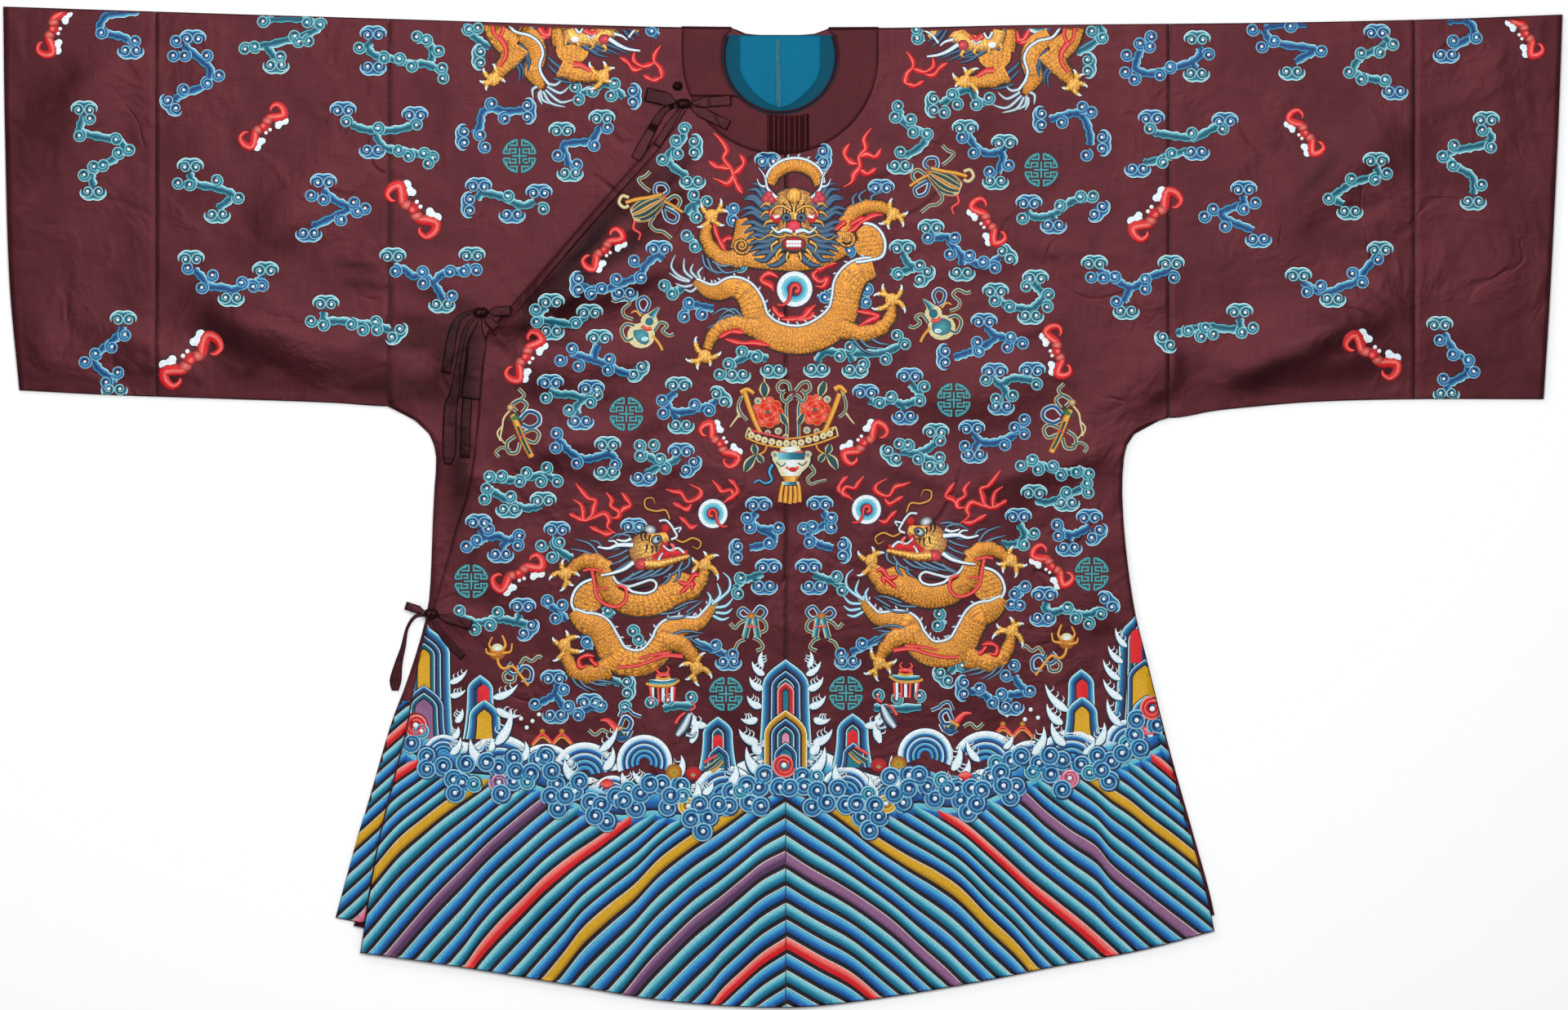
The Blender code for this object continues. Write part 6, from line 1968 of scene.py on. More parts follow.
def drawn_twice(turned):
    """Ways to draw a left-hand shape as it is, or turned over and moved by the given function."""
    def place(text):
        return text if not turned else " ".join("%g,%g" % turned(x, y) for x, y in spots(text))

    def each(text):
        return ";".join(place(part) for part in text.split(";"))

    def stroke(drawing, text, first, last, bands, level, crown=0.4):
        if turned:
            bands = other_way(bands)
        line = curved(spots(place(text)), 4)
        strip(drawing, line, spread(len(line), first, last), bands, level, crown)

    def dot(drawing, text, radius, outer, inner, level, stretch=1.0, turn=0.0):
        lean = -turn if turned else turn
        disc(drawing, spots(place(text))[0], radius, outer, inner, level, 0.4, stretch, lean, 16)

    return place, each, stroke, dot


white_line = [
    (0.20, "navy", "slate"), (0.20, "mist", "white"), (0.44, "white", "white"), (0.16, "mist", "navy"),
]
red_line = [(0.2, "dark_red", "red"), (0.6, "red", "salmon"), (0.2, "red", "dark_red")]
gold_line = [(0.5, "gold", "brass"), (0.5, "brass", "bronze")]


def small_dragon(mirrored):
    """The skirt's dragons face each other; the second is the first turned over and set a little higher."""
    turned = (lambda x, y: (1930 - x, y - 5 - 0.065 * (870 - x))) if mirrored else None
    place, each, stroke, dot = drawn_twice(turned)
    inner = -1 if mirrored else 1
    flame(silk, each(
        "705,592 712,601 720,610 729,613 727,622 724,632 714,637;702,612 711,618 714,627 715,637 726,634 "
        "740,629 746,637 744,646 757,655;697,629 706,634 716,638;742,603 749,612 748,620 758,627 756,634 "
        "747,634;761,603 767,611 772,619 763,624 759,631;722,645 732,650 742,654 752,652"
    ), 8.0)
    flame(silk, each(
        "815,599 824,602 834,604 841,614 851,612 858,606 856,599 844,593;824,616 832,620 841,624 847,617;"
        "832,633 839,639 846,646 854,643;872,588 879,596 884,602 894,600 898,607 891,612 885,617;892,587 "
        "899,593 903,602 897,609"
    ), 7.5)
    hair(silk, each(
        "732,678 722,666 704,660;728,680 714,675 698,672;738,672 732,664 722,662;772,657 758,654 744,662;"
        "772,664 756,672 742,674;773,671 758,679 742,684;773,678 760,687 744,693;774,686 762,694 750,700;"
        "778,652 766,652 756,658"
    ), ("slate", "mist"), 6.0, 0.5)
    dot(silk, "720,730", 20.0, "black", "black", 0.4, 1.2, 1.9)
    dot(gold, "721,731", 18.5, "gold", "gold", 0.7, 1.2, 1.9)
    stroke(silk, "728,709 714,714 704,724 700,738 704,748", 5, 5, white_line, 1.0)
    body(gold, silk, each(
        "700,750 714,762 732,769 742,785 754,806 776,813 796,808 812,790 819,775 832,768 845,766 857,763 "
        "867,752 877,737"
    ),
         (10, 24, 30, 31, 34, 32, 31, 31, 30, 25, 19, 15, 12, 8), 0.5, spine=inner)
    hair(silk, each(
        "872,740 882,733 893,722 893,709 885,701;874,738 882,728 878,714;868,742 870,732 866,725;876,744 "
        "889,742 898,732;876,750 889,751 897,745;873,754 884,759 893,756"
    ), ("sky", "white"), 6.5, 1.1)
    body(
        gold, silk, each("746,724 764,738 790,741 814,732 832,716 838,702"), (18, 26, 29, 32, 32, 24), 0.9,
        spine=0,
    )
    stroke(silk, (
        "751,706 757,714 769,718 784,714 797,710 804,715 801,723 790,727 775,725 768,720"
    ), 4.6, 4.6, white_line, 1.7)
    stroke(silk, "774,720 784,720 797,717", 3, 3, black_line, 1.4)
    limb(gold, silk, each("826,728 846,724 858,711 863,698"), (26, 13), 1.0)
    claw_foot(gold, silk, place("863,692"), place("849,684 862,677 878,681 849,702 878,708"), 1.2)
    flame(silk, each("830,712 841,715 850,704 857,706;832,728 840,720 848,714 846,724"), 7.0, 1.9)
    body(gold, silk, each("737,696 742,710 746,724 753,736"), (18, 24, 24, 16), 0.9, spine=0)
    limb(gold, silk, each("742,698 731,689 718,687 706,692 697,700"), (24, 13), 1.1)
    claw_foot(gold, silk, place("692,703"), place("690,687 674,709 687,722 701,716 708,705"), 1.3)
    stroke(silk, "714,699 724,697 738,700", 4, 4, red_line, 2.0)
    stroke(silk, "725,699 728,714 731,730 741,740 756,743 766,735 766,721 757,717", 5, 5, red_line, 2.0)
    stroke(silk, "730,722 738,720 744,722", 3.4, 3.4, red_line, 2.0)
    limb(gold, silk, each("746,818 722,826 704,822 695,808 692,797"), (26, 12), 1.0)
    claw_foot(gold, silk, place("691,790"), place("678,782 693,774 708,781 713,796 679,808"), 1.2)
    flame(silk, each("728,804 718,803 709,808 711,817 720,814;722,806 727,812 733,816"), 7.0, 1.9)
    limb(gold, silk, each("808,786 832,788 846,801 853,812"), (28, 12), 1.0)
    claw_foot(gold, silk, place("853,818"), place("862,801 834,816 841,831 855,838 870,829"), 1.2)
    stroke(silk, "756,817 775,816 795,810 815,803 836,804", 4, 6, red_line, 1.6)
    stroke(silk, "782,807 800,802 820,799", 3, 5, red_line, 1.6)
    hair(silk, each(
        "820,779 838,773 862,776;826,783 846,780 856,778;845,782 854,788 862,792;808,752 826,750 842,742;"
        "816,758 836,756 850,748;826,746 844,738 856,736;840,750 852,742 860,736;700,828 706,838 722,848;"
        "708,830 716,840 730,846;716,832 730,838 744,840;724,832 740,834 756,838"
    ), ("slate", "mist"), 5.5, 1.0)
    hair(silk, each(
        "844,680 843,692 832,700;836,688 828,700 812,708;824,692 812,702 796,707;812,695 798,704 780,710;"
        "800,698 784,706 766,712;788,698 772,706 756,714;832,696 831,706 824,714;820,702 818,710 810,716;"
        "776,702 768,710 760,714"
    ), ("slate", "mist"), 7.0, 1.7)
    stroke(silk, "775,668 757,668 745,672 732,670", 8, 3.4, white_line, 1.9)
    stroke(silk, "757,668 752,663 745,663", 5, 2, white_line, 1.9)
    stroke(silk, "776,689 765,697 751,702 736,705", 8, 3.4, white_line, 1.9)
    stroke(silk, "773,660 765,663 755,661", 6, 3, white_line, 1.9)
    dot(silk, "791,674", 22.5, "black", "black", 1.5, 1.05, 1.3)
    dot(silk, "796,649", 6.4, "black", "white", 1.7, 1.3, 0.3)
    dot(gold, "791,674", 21.0, "bronze", "brass", 2.0, 1.05, 1.3)
    stroke(gold, "796,664 808,661 818,657", 21, 13, gold_line, 2.1, 0.7)
    tongue_red = [(0.5, "red", "red"), (0.5, "red", "dark_red")]
    stroke(silk, "800,686 811,680 826,678 842,678", 15, 8, tongue_red, 2.1)
    stroke(silk, "803,683 811,674 815,664", 5, 9, [(0.5, "dark_red", "red"), (0.5, "red", "dark_red")], 2.6)
    stroke(silk, "812,668 820,674 830,671 838,677", 3, 5, white_line, 2.9)
    tongue_tip = [(0.5, "dye_pink", "salmon"), (0.5, "salmon", "dye_pink")]
    stroke(silk, "823,676 825,670 821,666", 5, 3, tongue_tip, 3.0)
    stroke(silk, "806,686 809,680 812,677", 5, 1.5, white_line, 3.0)
    jaw_gold = [(0.3, "bronze", "gold"), (0.4, "brass", "brass"), (0.3, "gold", "bronze")]
    stroke(gold, "786,690 806,691 826,686 844,681", 15, 6, jaw_gold, 2.4, 0.7)
    dot(silk, "815,647", 5.6, "dark_red", "red", 2.7)
    stroke(silk, "807,638 815,637 821,642 826,650 829,657 822,661", 4, 4, white_line, 2.7)
    stroke(silk, "826,648 834,646 831,652", 4, 2, white_line, 2.7)
    dot(silk, "785,691", 7.2, "dark_red", "dye_pink", 2.9, 1.15, -0.4)
    dot(silk, "786,691", 3.2, "red", "salmon", 3.3)
    dot(silk, "804,661", 5.8, "black", "black", 2.8, 1.3, -0.5)
    dot(silk, "804,661", 4.6, "slate", "white", 3.1, 1.3, -0.5)
    dot(silk, "806,660", 2.2, "black", "black", 3.5)
    for lash in ("786,650 785,658 788,663", "791,651 790,658 792,662", "796,655 795,660 796,664",
            "798,668 799,673 798,678",
                 "803,668 804,672 804,676", "792,667 792,672 790,677"):
        stroke(silk, lash, 2.6, 1.2, black_line, 2.9)
    hair(silk, each(
        "820,636 815,625 803,626 791,622 790,612 799,610 802,617;827,660 836,664 848,659 858,664 855,672 "
        "847,669"
    ), ("bronze", "brass"), 5.0, 2.6)


small_dragon(False)
small_dragon(True)
pearl(silk, (873, 629), 18.5)
pearl(silk, (1061, 624), 18.5, hand=-1)


def shoulder_dragon(mirrored):
    """The shoulders' dragons are only seen below the fold, where their heads hang down from it."""
    place, each, stroke, dot = drawn_twice((lambda x, y: (1919 - x, y + 7)) if mirrored else None)
    flame(silk, each(
        "809,56 802,66 801,75 808,83 810,94 801,98;777,63 776,74 786,81 796,79 802,76;759,70 768,76 776,85 "
        "787,84;788,92 799,98 809,95"
    ), 8.0)
    flame(silk, each("658,28 664,40 672,42 674,30;652,38 662,44 670,46"), 11.0)
    for share, outer, inner in (
        (1.0, "slate", "slate"), (0.94, "white", "white"), (0.66, "ice", "teal"), (0.4, "red", "salmon"),
    ):
        dot(silk, "648,22", 17 * share, outer, inner, 0.5 + 0.4 * (1 - share))
    body(
        gold, silk, each("634,36 648,46 655,58 656,72 652,86 658,98 664,108"), (20, 26, 26, 24, 22, 16, 8),
        0.6, spine=0,
    )
    stroke(silk, "620,24 630,38 648,43 660,52 665,65 661,80 664,92 673,104", 5, 5, white_line, 1.3)
    hair(silk, each(
        "658,106 652,110 653,121;662,110 664,122 676,128;665,112 674,126 692,131;668,110 686,125 704,121;"
        "670,106 686,114 697,106;670,102 680,104 688,98;660,112 660,120 664,128"
    ), ("mist", "white"), 7.0, 1.2)
    body(gold, silk, each("600,22 608,40 620,52 630,58"), (20, 26, 30, 26), 0.7, spine=0)
    limb(gold, silk, each("636,56 626,70 614,84 606,94"), (34, 12), 0.9)
    claw_foot(gold, silk, place("604,97"), place("593,85 604,80 589,99 596,109 617,100"), 1.2)
    stroke(silk, "603,26 605,40 611,46 616,36 615,28", 5, 5, red_line, 1.8)
    stroke(silk, "611,45 619,57 619,70 611,82", 8, 4, red_line, 1.8)
    hair(silk, each(
        "636,54 646,66 642,84;640,60 648,74 646,88;628,76 636,86 635,101;632,72 640,84 640,96;671,70 "
        "680,78 690,84;672,80 682,90 696,96;674,74 686,84 694,94;678,96 690,100 704,102"
    ), ("slate", "steel"), 6.5, 1.0)
    body(gold, silk, each("684,22 683,40 684,56"), (17, 17, 15), 0.7, spine=0)
    dot(silk, "701,61", 19.0, "black", "black", 0.8, 1.15)
    dot(gold, "701,61", 17.6, "gold", "gold", 1.1, 1.15)
    limb(gold, silk, each("686,82 702,89 718,92 732,93"), (26, 14), 0.9)
    claw_foot(gold, silk, place("738,93"), place("723,78 739,77 751,84 748,99 723,108"), 1.2)
    stroke(silk, "702,79 712,80 723,87", 9, 5, red_line, 1.8)
    hair(silk, each(
        "706,50 720,60 738,64;712,48 728,58 748,66;720,50 738,58 760,68;730,50 748,56 770,66;716,56 730,66 "
        "744,70;700,46 690,38 688,28;704,44 698,52 690,54;740,46 756,54 768,62;760,30 768,42 778,50;764,28 "
        "774,38 784,44"
    ), ("slate", "steel"), 7.5, 1.5)
    stroke(gold, "694,30 700,44 716,47 736,44 752,32", 17, 22, gold_line, 1.9, 0.7)
    stroke(gold, "772,24 776,34 782,38", 14, 7, gold_line, 1.4, 0.7)
    stroke(silk, "788,30 778,36 770,46", 4, 4, white_line, 1.8)
    stroke(silk, "716,36 724,42 732,37", 9, 5, red_line, 2.7)
    stroke(silk, "704,32 709,40 714,33", 5, 4, white_line, 2.8)
    stroke(silk, "718,43 724,46 729,42", 4, 2.5, white_line, 2.9)
    dot(silk, "704,48", 3.6, "white", "white", 2.8, 1.3)
    dot(silk, "740,48", 6.4, "dark_red", "dye_pink", 2.8, 1.15)
    dot(silk, "741,48", 2.8, "red", "salmon", 3.2)
    for tuft in (
        "694,46 692,54 696,58", "706,50 708,57 704,60", "722,51 726,57 722,60", "738,55 742,60 738,63",
    ):
        stroke(gold, tuft, 6, 1.5, gold_line, 2.2)
    stroke(silk, "746,47 758,55 770,60 784,62", 8, 3.4, white_line, 2.9)
    stroke(silk, "752,41 762,44 768,49", 6, 2.5, white_line, 2.9)


shoulder_dragon(False)
shoulder_dragon(True)
lay(gold, "gold_dragons", couched_gold, front_panels)
lay(silk, "dragon_silks", floss, front_panels)


# ---- Small motifs: bats, fret roundels, ribboned emblems, flower basket, pavilions ----
# Each is satin-stitched in floss between couched lines, and lies between the clouds and dragons.
# The right-hand ones mirror the left-hand ones.

BANDS = {  # bands of one strip, from left to right: share, left dye, right dye
    "ribbon": [(0.25, "cream", "cream"), (0.50, "teal", "deep_teal"), (0.25, "cream", "gold")],
    "blue": [(0.22, "white", "white"), (0.56, "blue", "cobalt"), (0.22, "sky", "cream")],
    "gold": [(0.22, "bronze", "gold"), (0.56, "brass", "gold"), (0.22, "gold", "bronze")],
    "cream": [(0.2, "bronze", "cream"), (0.6, "cream", "cream"), (0.2, "cream", "bronze")],
    "red": [(0.2, "dark_red", "red"), (0.6, "red", "salmon"), (0.2, "red", "dark_red")],
    "leaf": [(0.17, "cream", "cream"), (0.33, "leaf", "deep_teal"), (0.33, "deep_teal", "leaf"),
        (0.17, "cream", "cream")],
    "white": [(0.18, "navy", "navy"), (0.64, "white", "white"), (0.18, "navy", "navy")],
    "teal": [(0.14, "cream", "cream"), (0.36, "deep_teal", "teal"), (0.36, "teal", "ice"),
        (0.14, "cream", "cream")],
    "fret": [(0.18, "leaf", "deep_fret"), (0.64, "fret", "fret"), (0.18, "deep_fret", "leaf")],
    "tape": [(0.12, "deep_teal", "teal"), (0.38, "teal", "deep_fret"), (0.38, "deep_fret", "teal"),
        (0.12, "teal", "deep_teal")],
    "china": [(0.05, "navy", "navy"), (0.45, "cream", "white"), (0.45, "white", "cream"),
        (0.05, "navy", "navy")],
    "black": [(1.0, "black", "black")],
    "scale": [(0.2, "navy", "slate"), (0.3, "steel", "white"), (0.3, "white", "steel"),
        (0.2, "slate", "navy")],
    "fan": [
        (0.06, "cream", "gold"), (0.15, "deep_teal", "leaf"), (0.05, "cream", "gold"),
        (0.16, "leaf", "deep_teal"),
        (0.05, "gold", "cream"), (0.10, "ochre", "gold"), (0.05, "cream", "gold"),
        (0.16, "deep_teal", "leaf"),
        (0.05, "gold", "cream"), (0.12, "leaf", "deep_teal"), (0.05, "cream", "bronze"),
    ],
    "branch": [(0.15, "navy", "navy"), (0.35, "blue", "sky"), (0.35, "sky", "blue"),
        (0.15, "navy", "navy")],
    "bat": [
        (0.14, "dark_red", "red"), (0.3, "red", "salmon"), (0.16, "salmon", "red"), (0.26, "red", "red"),
        (0.14, "dark_red", "dark_red"),
    ],
}


def motif(form, rows, dx=0.0, dy=0.0, mirrored=False, level=0.3):
    """Draws rows of 'kind widths: points', or of 'o rim/middle radius stretch: centres' for discs."""
    for number, row in enumerate(rows.strip().split("\n")):
        kind, route = row.strip().split(":")
        words = kind.split()
        points = [((-x if mirrored else x) + dx, y + dy) for x, y in spots(route)]
        high = level + 0.04 * number
        if words[0] == "o":
            rim, centre = words[1].split("/")
            for point in points:
                disc(
                    form, point, float(words[2]), rim, centre, high, 0.4, stretch=float(words[3]), sides=14,
                )
            continue
        stiff = words[0] in ("white", "black")
        line = points if stiff and len(points) == 2 else curved(points, 2 if stiff else 5)
        stops = [float(word) for word in words[1:]]
        wide = stops[0]
        if len(stops) > 1:
            table = [(k / (len(stops) - 1), w) for k, w in enumerate(stops)]
            wide = [follow(table, t) for t in spread(len(line), 0, 1)]
        strip(form, line, wide, BANDS[words[0]], high, 0.4)


BAT_WEBS = ((16, 7, 5.2), (21, 10, 4.4), (12, 9, 3.6))  # x, y, radius
BAT_WING = ((3, -1), (10, -4), (18, 2), (25, 5), (29, -2), (27, -10), (20, -11), (17, -8))
BAT_WING_WIDTHS = ((0, 9), (0.3, 10.5), (0.55, 9), (0.75, 6), (0.9, 4), (1, 0.8))  # share, width


def bat(form, first, last, white_side):
    """A red bat with hooked wing tips and white webs on one side."""
    start, end = Vector(first), Vector(last)
    middle, along = (start + end) / 2, (end - start).normalized()
    size = (end - start).length / 52
    down = Vector((-along.y, along.x)) * white_side

    def at(x, y):
        return middle + along * (x * size) + down * (y * size)

    for hand in (-1, 1):
        for x, y, r in BAT_WEBS:
            disc(form, at(hand * x, y), (r + 0.9) * size, "navy", "navy", 0.25, 0.05, sides=12)
        for x, y, r in BAT_WEBS:
            disc(form, at(hand * x, y), r * size, "white", "white", 0.4, 0.4, sides=12)
        line = curved([at(hand * x, y) for x, y in BAT_WING], 3)
        wide = [follow(BAT_WING_WIDTHS, t) * size for t in spread(len(line), 0, 1)]
        strip(form, line, wide, BANDS["bat"], 0.5, 0.4)
        disc(form, at(hand * 7, -3), 5.0 * size, "dark_red", "salmon", 0.8, 0.4, stretch=1.2, sides=12)
    disc(form, at(0, 0), 6.4 * size, "dark_red", "red", 0.9, 0.5, sides=14)
    disc(form, at(0, -2), 3.2 * size, "red", "salmon", 1.2, 0.3, sides=10)
    for x, y in ((-2.6, 6), (3.0, 5.4)):
        disc(form, at(x, y), 2.0 * size, "white", "white", 1.3, 0.3, sides=8)


def roundel(form, centre):
    """A fret roundel: a ring in four parts round mirrored keys."""
    x0, y0 = centre
    for sx in (-1, 1):
        for sy in (-1, 1):
            arc = [math.radians(a) for a in spread(9, 10, 80)]
            strip(
                form, [(x0 + sx * 20 * math.cos(a), y0 + sy * 20 * math.sin(a)) for a in arc], 3.4,
                BANDS["fret"], 0.3, 0.4,
            )
            for route in (
                "3,19 3,13 11,13", "7,17 10,16.5", "18.5,3 12,3 12,8.5 4.5,8.5 4.5,4 8.5,4",
                "15.5,7 15.5,11.5",
            ):
                line = [(x0 + sx * x, y0 + sy * y) for x, y in spots(route)]
                for a, b in zip(line, line[1:]):
                    way = (Vector(b) - Vector(a)).normalized() * 1.2
                    strip(form, [Vector(a) - way, Vector(b) + way], 3.0, BANDS["fret"], 0.35, 0.4)
    strip(form, [(x0 - 9, y0), (x0 + 9, y0)], 3.0, BANDS["fret"], 0.4, 0.4)
    strip(form, [(x0, y0 - 10), (x0, y0 + 10)], 3.0, BANDS["fret"], 0.4, 0.4)


FAN = """ribbon 4.5: 4,-16 12,-22 18,-30 10,-34 4,-40
blue 5: -10,-10 -18,-16 -14,-24 -4,-24 -2,-15 -8,-9
ribbon 5: -14,-2 -26,-10 -33,-4 -28,4 -16,1
blue 5: -14,4 -22,8 -30,14 -26,22 -16,18 -12,6
ribbon 4.5: -2,14 4,24 -2,32 -12,34 -22,42
red 4.5 2.5: 22,20 24,30 16,36 18,44
cream 4.5: 30,-8 38,-10 42,-2 36,4 30,2
gold 4: -36,10 -24,2 -12,-4 2,-8
cream 10 28 29 17: -12,-6 2,2 14,9 26,14
fan 8 25 26 14: -12,-6 2,2 14,9 25,13
gold 5: -10,-12 6,-8 20,-6 34,-2
o red/salmon 4 1.4: 0,0
o bronze/gold 5.5 1.2: -10,-8
o deep_teal/teal 3.4 1.3: -10,-9"""
GOURD = """blue 5: 2,-14 -2,-24 4,-31 12,-26 10,-16 4,-12
ribbon 4.5: 18,-4 28,-8 30,-16 22,-24 28,-30 38,-26 44,-28
ribbon 5: 16,4 26,2 32,10 26,22 16,18
ribbon 4.5: -8,10 -16,0 -24,4 -18,10 -26,16 -32,14
gold 4: -6,16 -14,26 -18,34
gold 4 2: 8,-8 14,-14 20,-12
o cream/cream 15.6 1.1: 8,16
o deep_teal/fret 13.6 1.1: 8,16
o cream/cream 10.6 1.0: -2,-1
o deep_teal/teal 8.8 1.0: -2,-1
teal 12 7 1: -4,-7 -9,-13 -15,-19
red 4.5: -5,7 2,8 7,4
o white/ice 3 1.6: 4,20"""
SWORD = """ribbon 4.5: -7,-22 2,-27 9,-34 2,-42
ribbon 5: 0,-14 -6,-22 4,-28 12,-22 6,-12
blue 6: 4,-4 14,-14 26,-10 27,0 16,6 6,2
ribbon 5: 8,12 20,8 27,14 22,24 10,20
ribbon 5: -2,16 -12,24 -10,36 0,36 4,24
ribbon 4: -8,34 -18,30 -26,36 -22,42
cream 3 2: -8,-16 -16,-6 -18,6 -20,18 -14,26
cream 2.6: -18,4 -24,12 -20,22
gold 8 9 8: -6,-10 0,2 8,22 18,42
leaf 5 5: 1,4 9,24 16,38
red 4: 2,18 10,14
o leaf/green 6.2 1.0: -3,-6
o bronze/cream 4.6 1.0: -8,-19"""
CORAL = """blue 5: 2,4 -4,12 4,18 12,14 10,6
ribbon 5: 0,12 -8,18 -6,26 4,26 6,16
blue 5.5: 10,14 18,8 26,14 24,26 14,24
ribbon 4.5: 12,6 18,-2 26,2 34,-4 38,-2
gold 4: -16,-2 -14,6 -8,11 2,8 10,16 22,32
gold 5.5 4 2.5: -12,-10 -6,-18 -10,-30
gold 4.5 3 2: -10,-8 0,-10 2,-20
gold 5 3 2: -20,-10 -26,-18 -22,-28
gold 4.5 2: -18,-6 -28,-8 -30,-14
o bronze/gold 9.5 1.1: -16,-9
o cream/white 6.8 1.1: -16,-13"""
CLAPPERS = """blue 5: 0,-12 -10,-20 -16,-14 -10,-8 0,-10
blue 5: 2,-12 10,-22 18,-16 12,-8 2,-10
ribbon 4.5: 4,-10 16,-4 18,6 10,10
ribbon 4.5: -2,-8 -14,-2 -20,4 -26,-2
ribbon 4.5: 2,16 10,20 14,28 6,32
ribbon 4.5: -8,18 -16,22 -20,30
teal 8 8: -2,-8 -8,16
teal 8 8: 4,-8 8,16
red 4: -6,2 9,3
o bronze/gold 5 1.0: 0,-10"""
HORN = """blue 4.5: 9,-12 14,-22 22,-20 26,-16 36,-12
blue 6: 10,0 16,-12 24,-6 20,4 12,4
ribbon 4.5: -4,8 -12,4 -20,10 -28,4
blue 6: 4,12 12,16 20,12 24,4
leaf 11 12: 6,2 12,12
red 2 7 11: -14,-8 -4,-7 8,6
gold 5: 2,7 12,1
o navy/blue 5.5 1.8: 12,13"""
PAVILION = """white 6: -13,10 -13,28
white 6: 0,10 0,28
white 6: 11,10 11,28
red 4 3: -16,10 -13,29
red 4: -6,10 -5,29
red 4: 5,10 5,29
red 4 3: 14,10 13,29
black 3: -9,14 -9,27
black 3: 2,14 2,27
white 8: -17,4 16,3
teal 7: -17,4 0,5 17,3
gold 4: -21,6 -12,9 8,9 20,2
gold 4: -9,-1 0,1 9,-1
red 6: -8,-3 0,-5 8,-4
red 4 1.5: -3,-5 -8,-10 -5,-14
red 4 1.5: 3,-5 7,-11 4,-15"""
CHEVRON = """red 4: -13,10 0,-3 13,9
gold 2.5: -13,13 0,1 13,12
o bronze/yellow 3.6 1.0: 0,-6"""
BASKET_BEADS = (  # round the rim
    "920,533 928,536 936,539 945,541 954,543 963,543 972,543 981,542 990,539 999,537 1008,534 1016,531"
)
BASKET = f"""cream 3: 911,483 905,492 903,502 906,511
ribbon 4: 908,486 904,496 907,506 915,515
cream 3.4 1.6: 905,508 899,516 894,523
cream 3: 1030,478 1035,488 1036,499 1032,507
ribbon 4: 1033,484 1036,495 1034,505 1027,511
cream 3.4 1.6: 1036,506 1041,513 1046,519
ribbon 4.4: 963,540 964,522 963,502 965,489 971,484
ribbon 4.4: 978,538 978,518 978,500 980,488 974,483
ribbon 4.6: 968,479 966,470 958,467 952,473 955,480 962,479
ribbon 4.2: 970,487 962,492 957,486 960,480
ribbon 4.6: 974,479 981,470 989,468 992,476 986,481 981,477
ribbon 4.2: 976,488 983,492 987,486 984,481
cream 2.2: 936,470 936,461
cream 2.6: 936,490 936,478
cream 2.6: 1003,490 1007,478
leaf 4 13 3: 936,486 936,477 935,468
leaf 4 12 3: 1004,485 1007,476 1010,467
leaf 3 9 3: 956,506 960,514 963,520
leaf 3 9 3: 984,506 980,514 978,520
o cream/teal 4.4 1.0: 928,491 1013,489 953,528 988,527
o cream/deep_teal 3.6 1.0: 940,530 1000,528 962,535
gold 7 6: 911,478 918,500 926,520 931,530
gold 7 6: 1028,482 1021,502 1013,521 1008,531
gold 7 5: 907,481 915,477 923,482
gold 8 5: 1022,477 1029,474 1036,481
red 2.6: 916,526 940,532 962,537
gold 2.6: 962,538 990,534 1022,523
cream 2.4: 913,535 917,524 920,530
cream 2.4: 1026,534 1023,523 1018,529
gold 2.6: 913,536 930,543 948,547 966,548 985,547 1005,542 1026,534
o cream/cream 4.2 1.0: {BASKET_BEADS}
o deep_teal/navy 2.9 1.0: {BASKET_BEADS}
china 26 29: 967,547 967.4,550 968,554
china 52 50 34 24: 969,557 969,566 968,576 968,583
teal 50 44: 969,554 969,563
o cream/teal 5 1.0: 949,557 989,557
red 3: 953,553 967,555 983,553
ribbon 3: 951,566 957,571 962,567
ribbon 3: 988,565 983,570 977,567
o dark_red/red 4.4 1.5: 970,575
o red/salmon 2.4 1.0: 964,573 976,573
gold 25 17 22: 968,583 968,588 968,593
teal 21 22: 968,590 968,594
gold 4.6 6: 958,594 956,605 955,615
gold 4.6 6: 963,595 962,606 961,616
gold 4.6 6: 968,595 968,606 967,617
gold 4.6 6: 973,595 974,606 973,616
gold 4.6 6: 978,594 979,605 979,615
gold 2.6: 939,545 936,553 926,558
gold 2.6: 999,544 1002,551 1011,557
leaf 3 10 3: 925,557 924,550 923,544
leaf 3 12 3: 925,558 917,568 912,578
leaf 3 9 3: 927,557 931,562 934,567
leaf 3 10 3: 1012,556 1015,550 1016,544
leaf 3 9 3: 1010,556 1006,561 1003,566
leaf 3 12 3: 1013,557 1020,565 1025,575
branch 6 3: 946,569 942,578 945,588 937,592 929,588 923,592
ribbon 5 3: 992,570 997,578 989,586 993,593 1002,590 1012,588"""
TAPE = "tape 7: 953,37 952,70 953,100 953,131"  # over the lining's middle seam
TREASURES = """red 1 13 1: 734,960 743,960 752,960
white 1 13 1: 713,959 722,956 731,955
o dark_red/red 3 1.0: 719,957 726,955
o bronze/yellow 10.5 1.0: 825,946
o leaf/green 7 1.0: 825,946
o gold/lemon 3.4 1.0: 825,946
o dark_red/red 8.5 1.2: 849,947
o cream/green 5.4 1.2: 849,948
o dark_red/salmon 2.6 1.2: 849,948
leaf 7 4: 864,943 874,936 882,929
red 5 3: 862,934 870,929 878,925
gold 4 2: 871,945 879,940 886,932
scale 9 14 7: 829,901 838,889 845,874
red 5 3: 827,886 832,878 839,873
scale 7 2: 840,900 848,902 853,896
o white/white 2.6 1.0: 843,878
red 4 2: 845,870 851,866 848,860"""
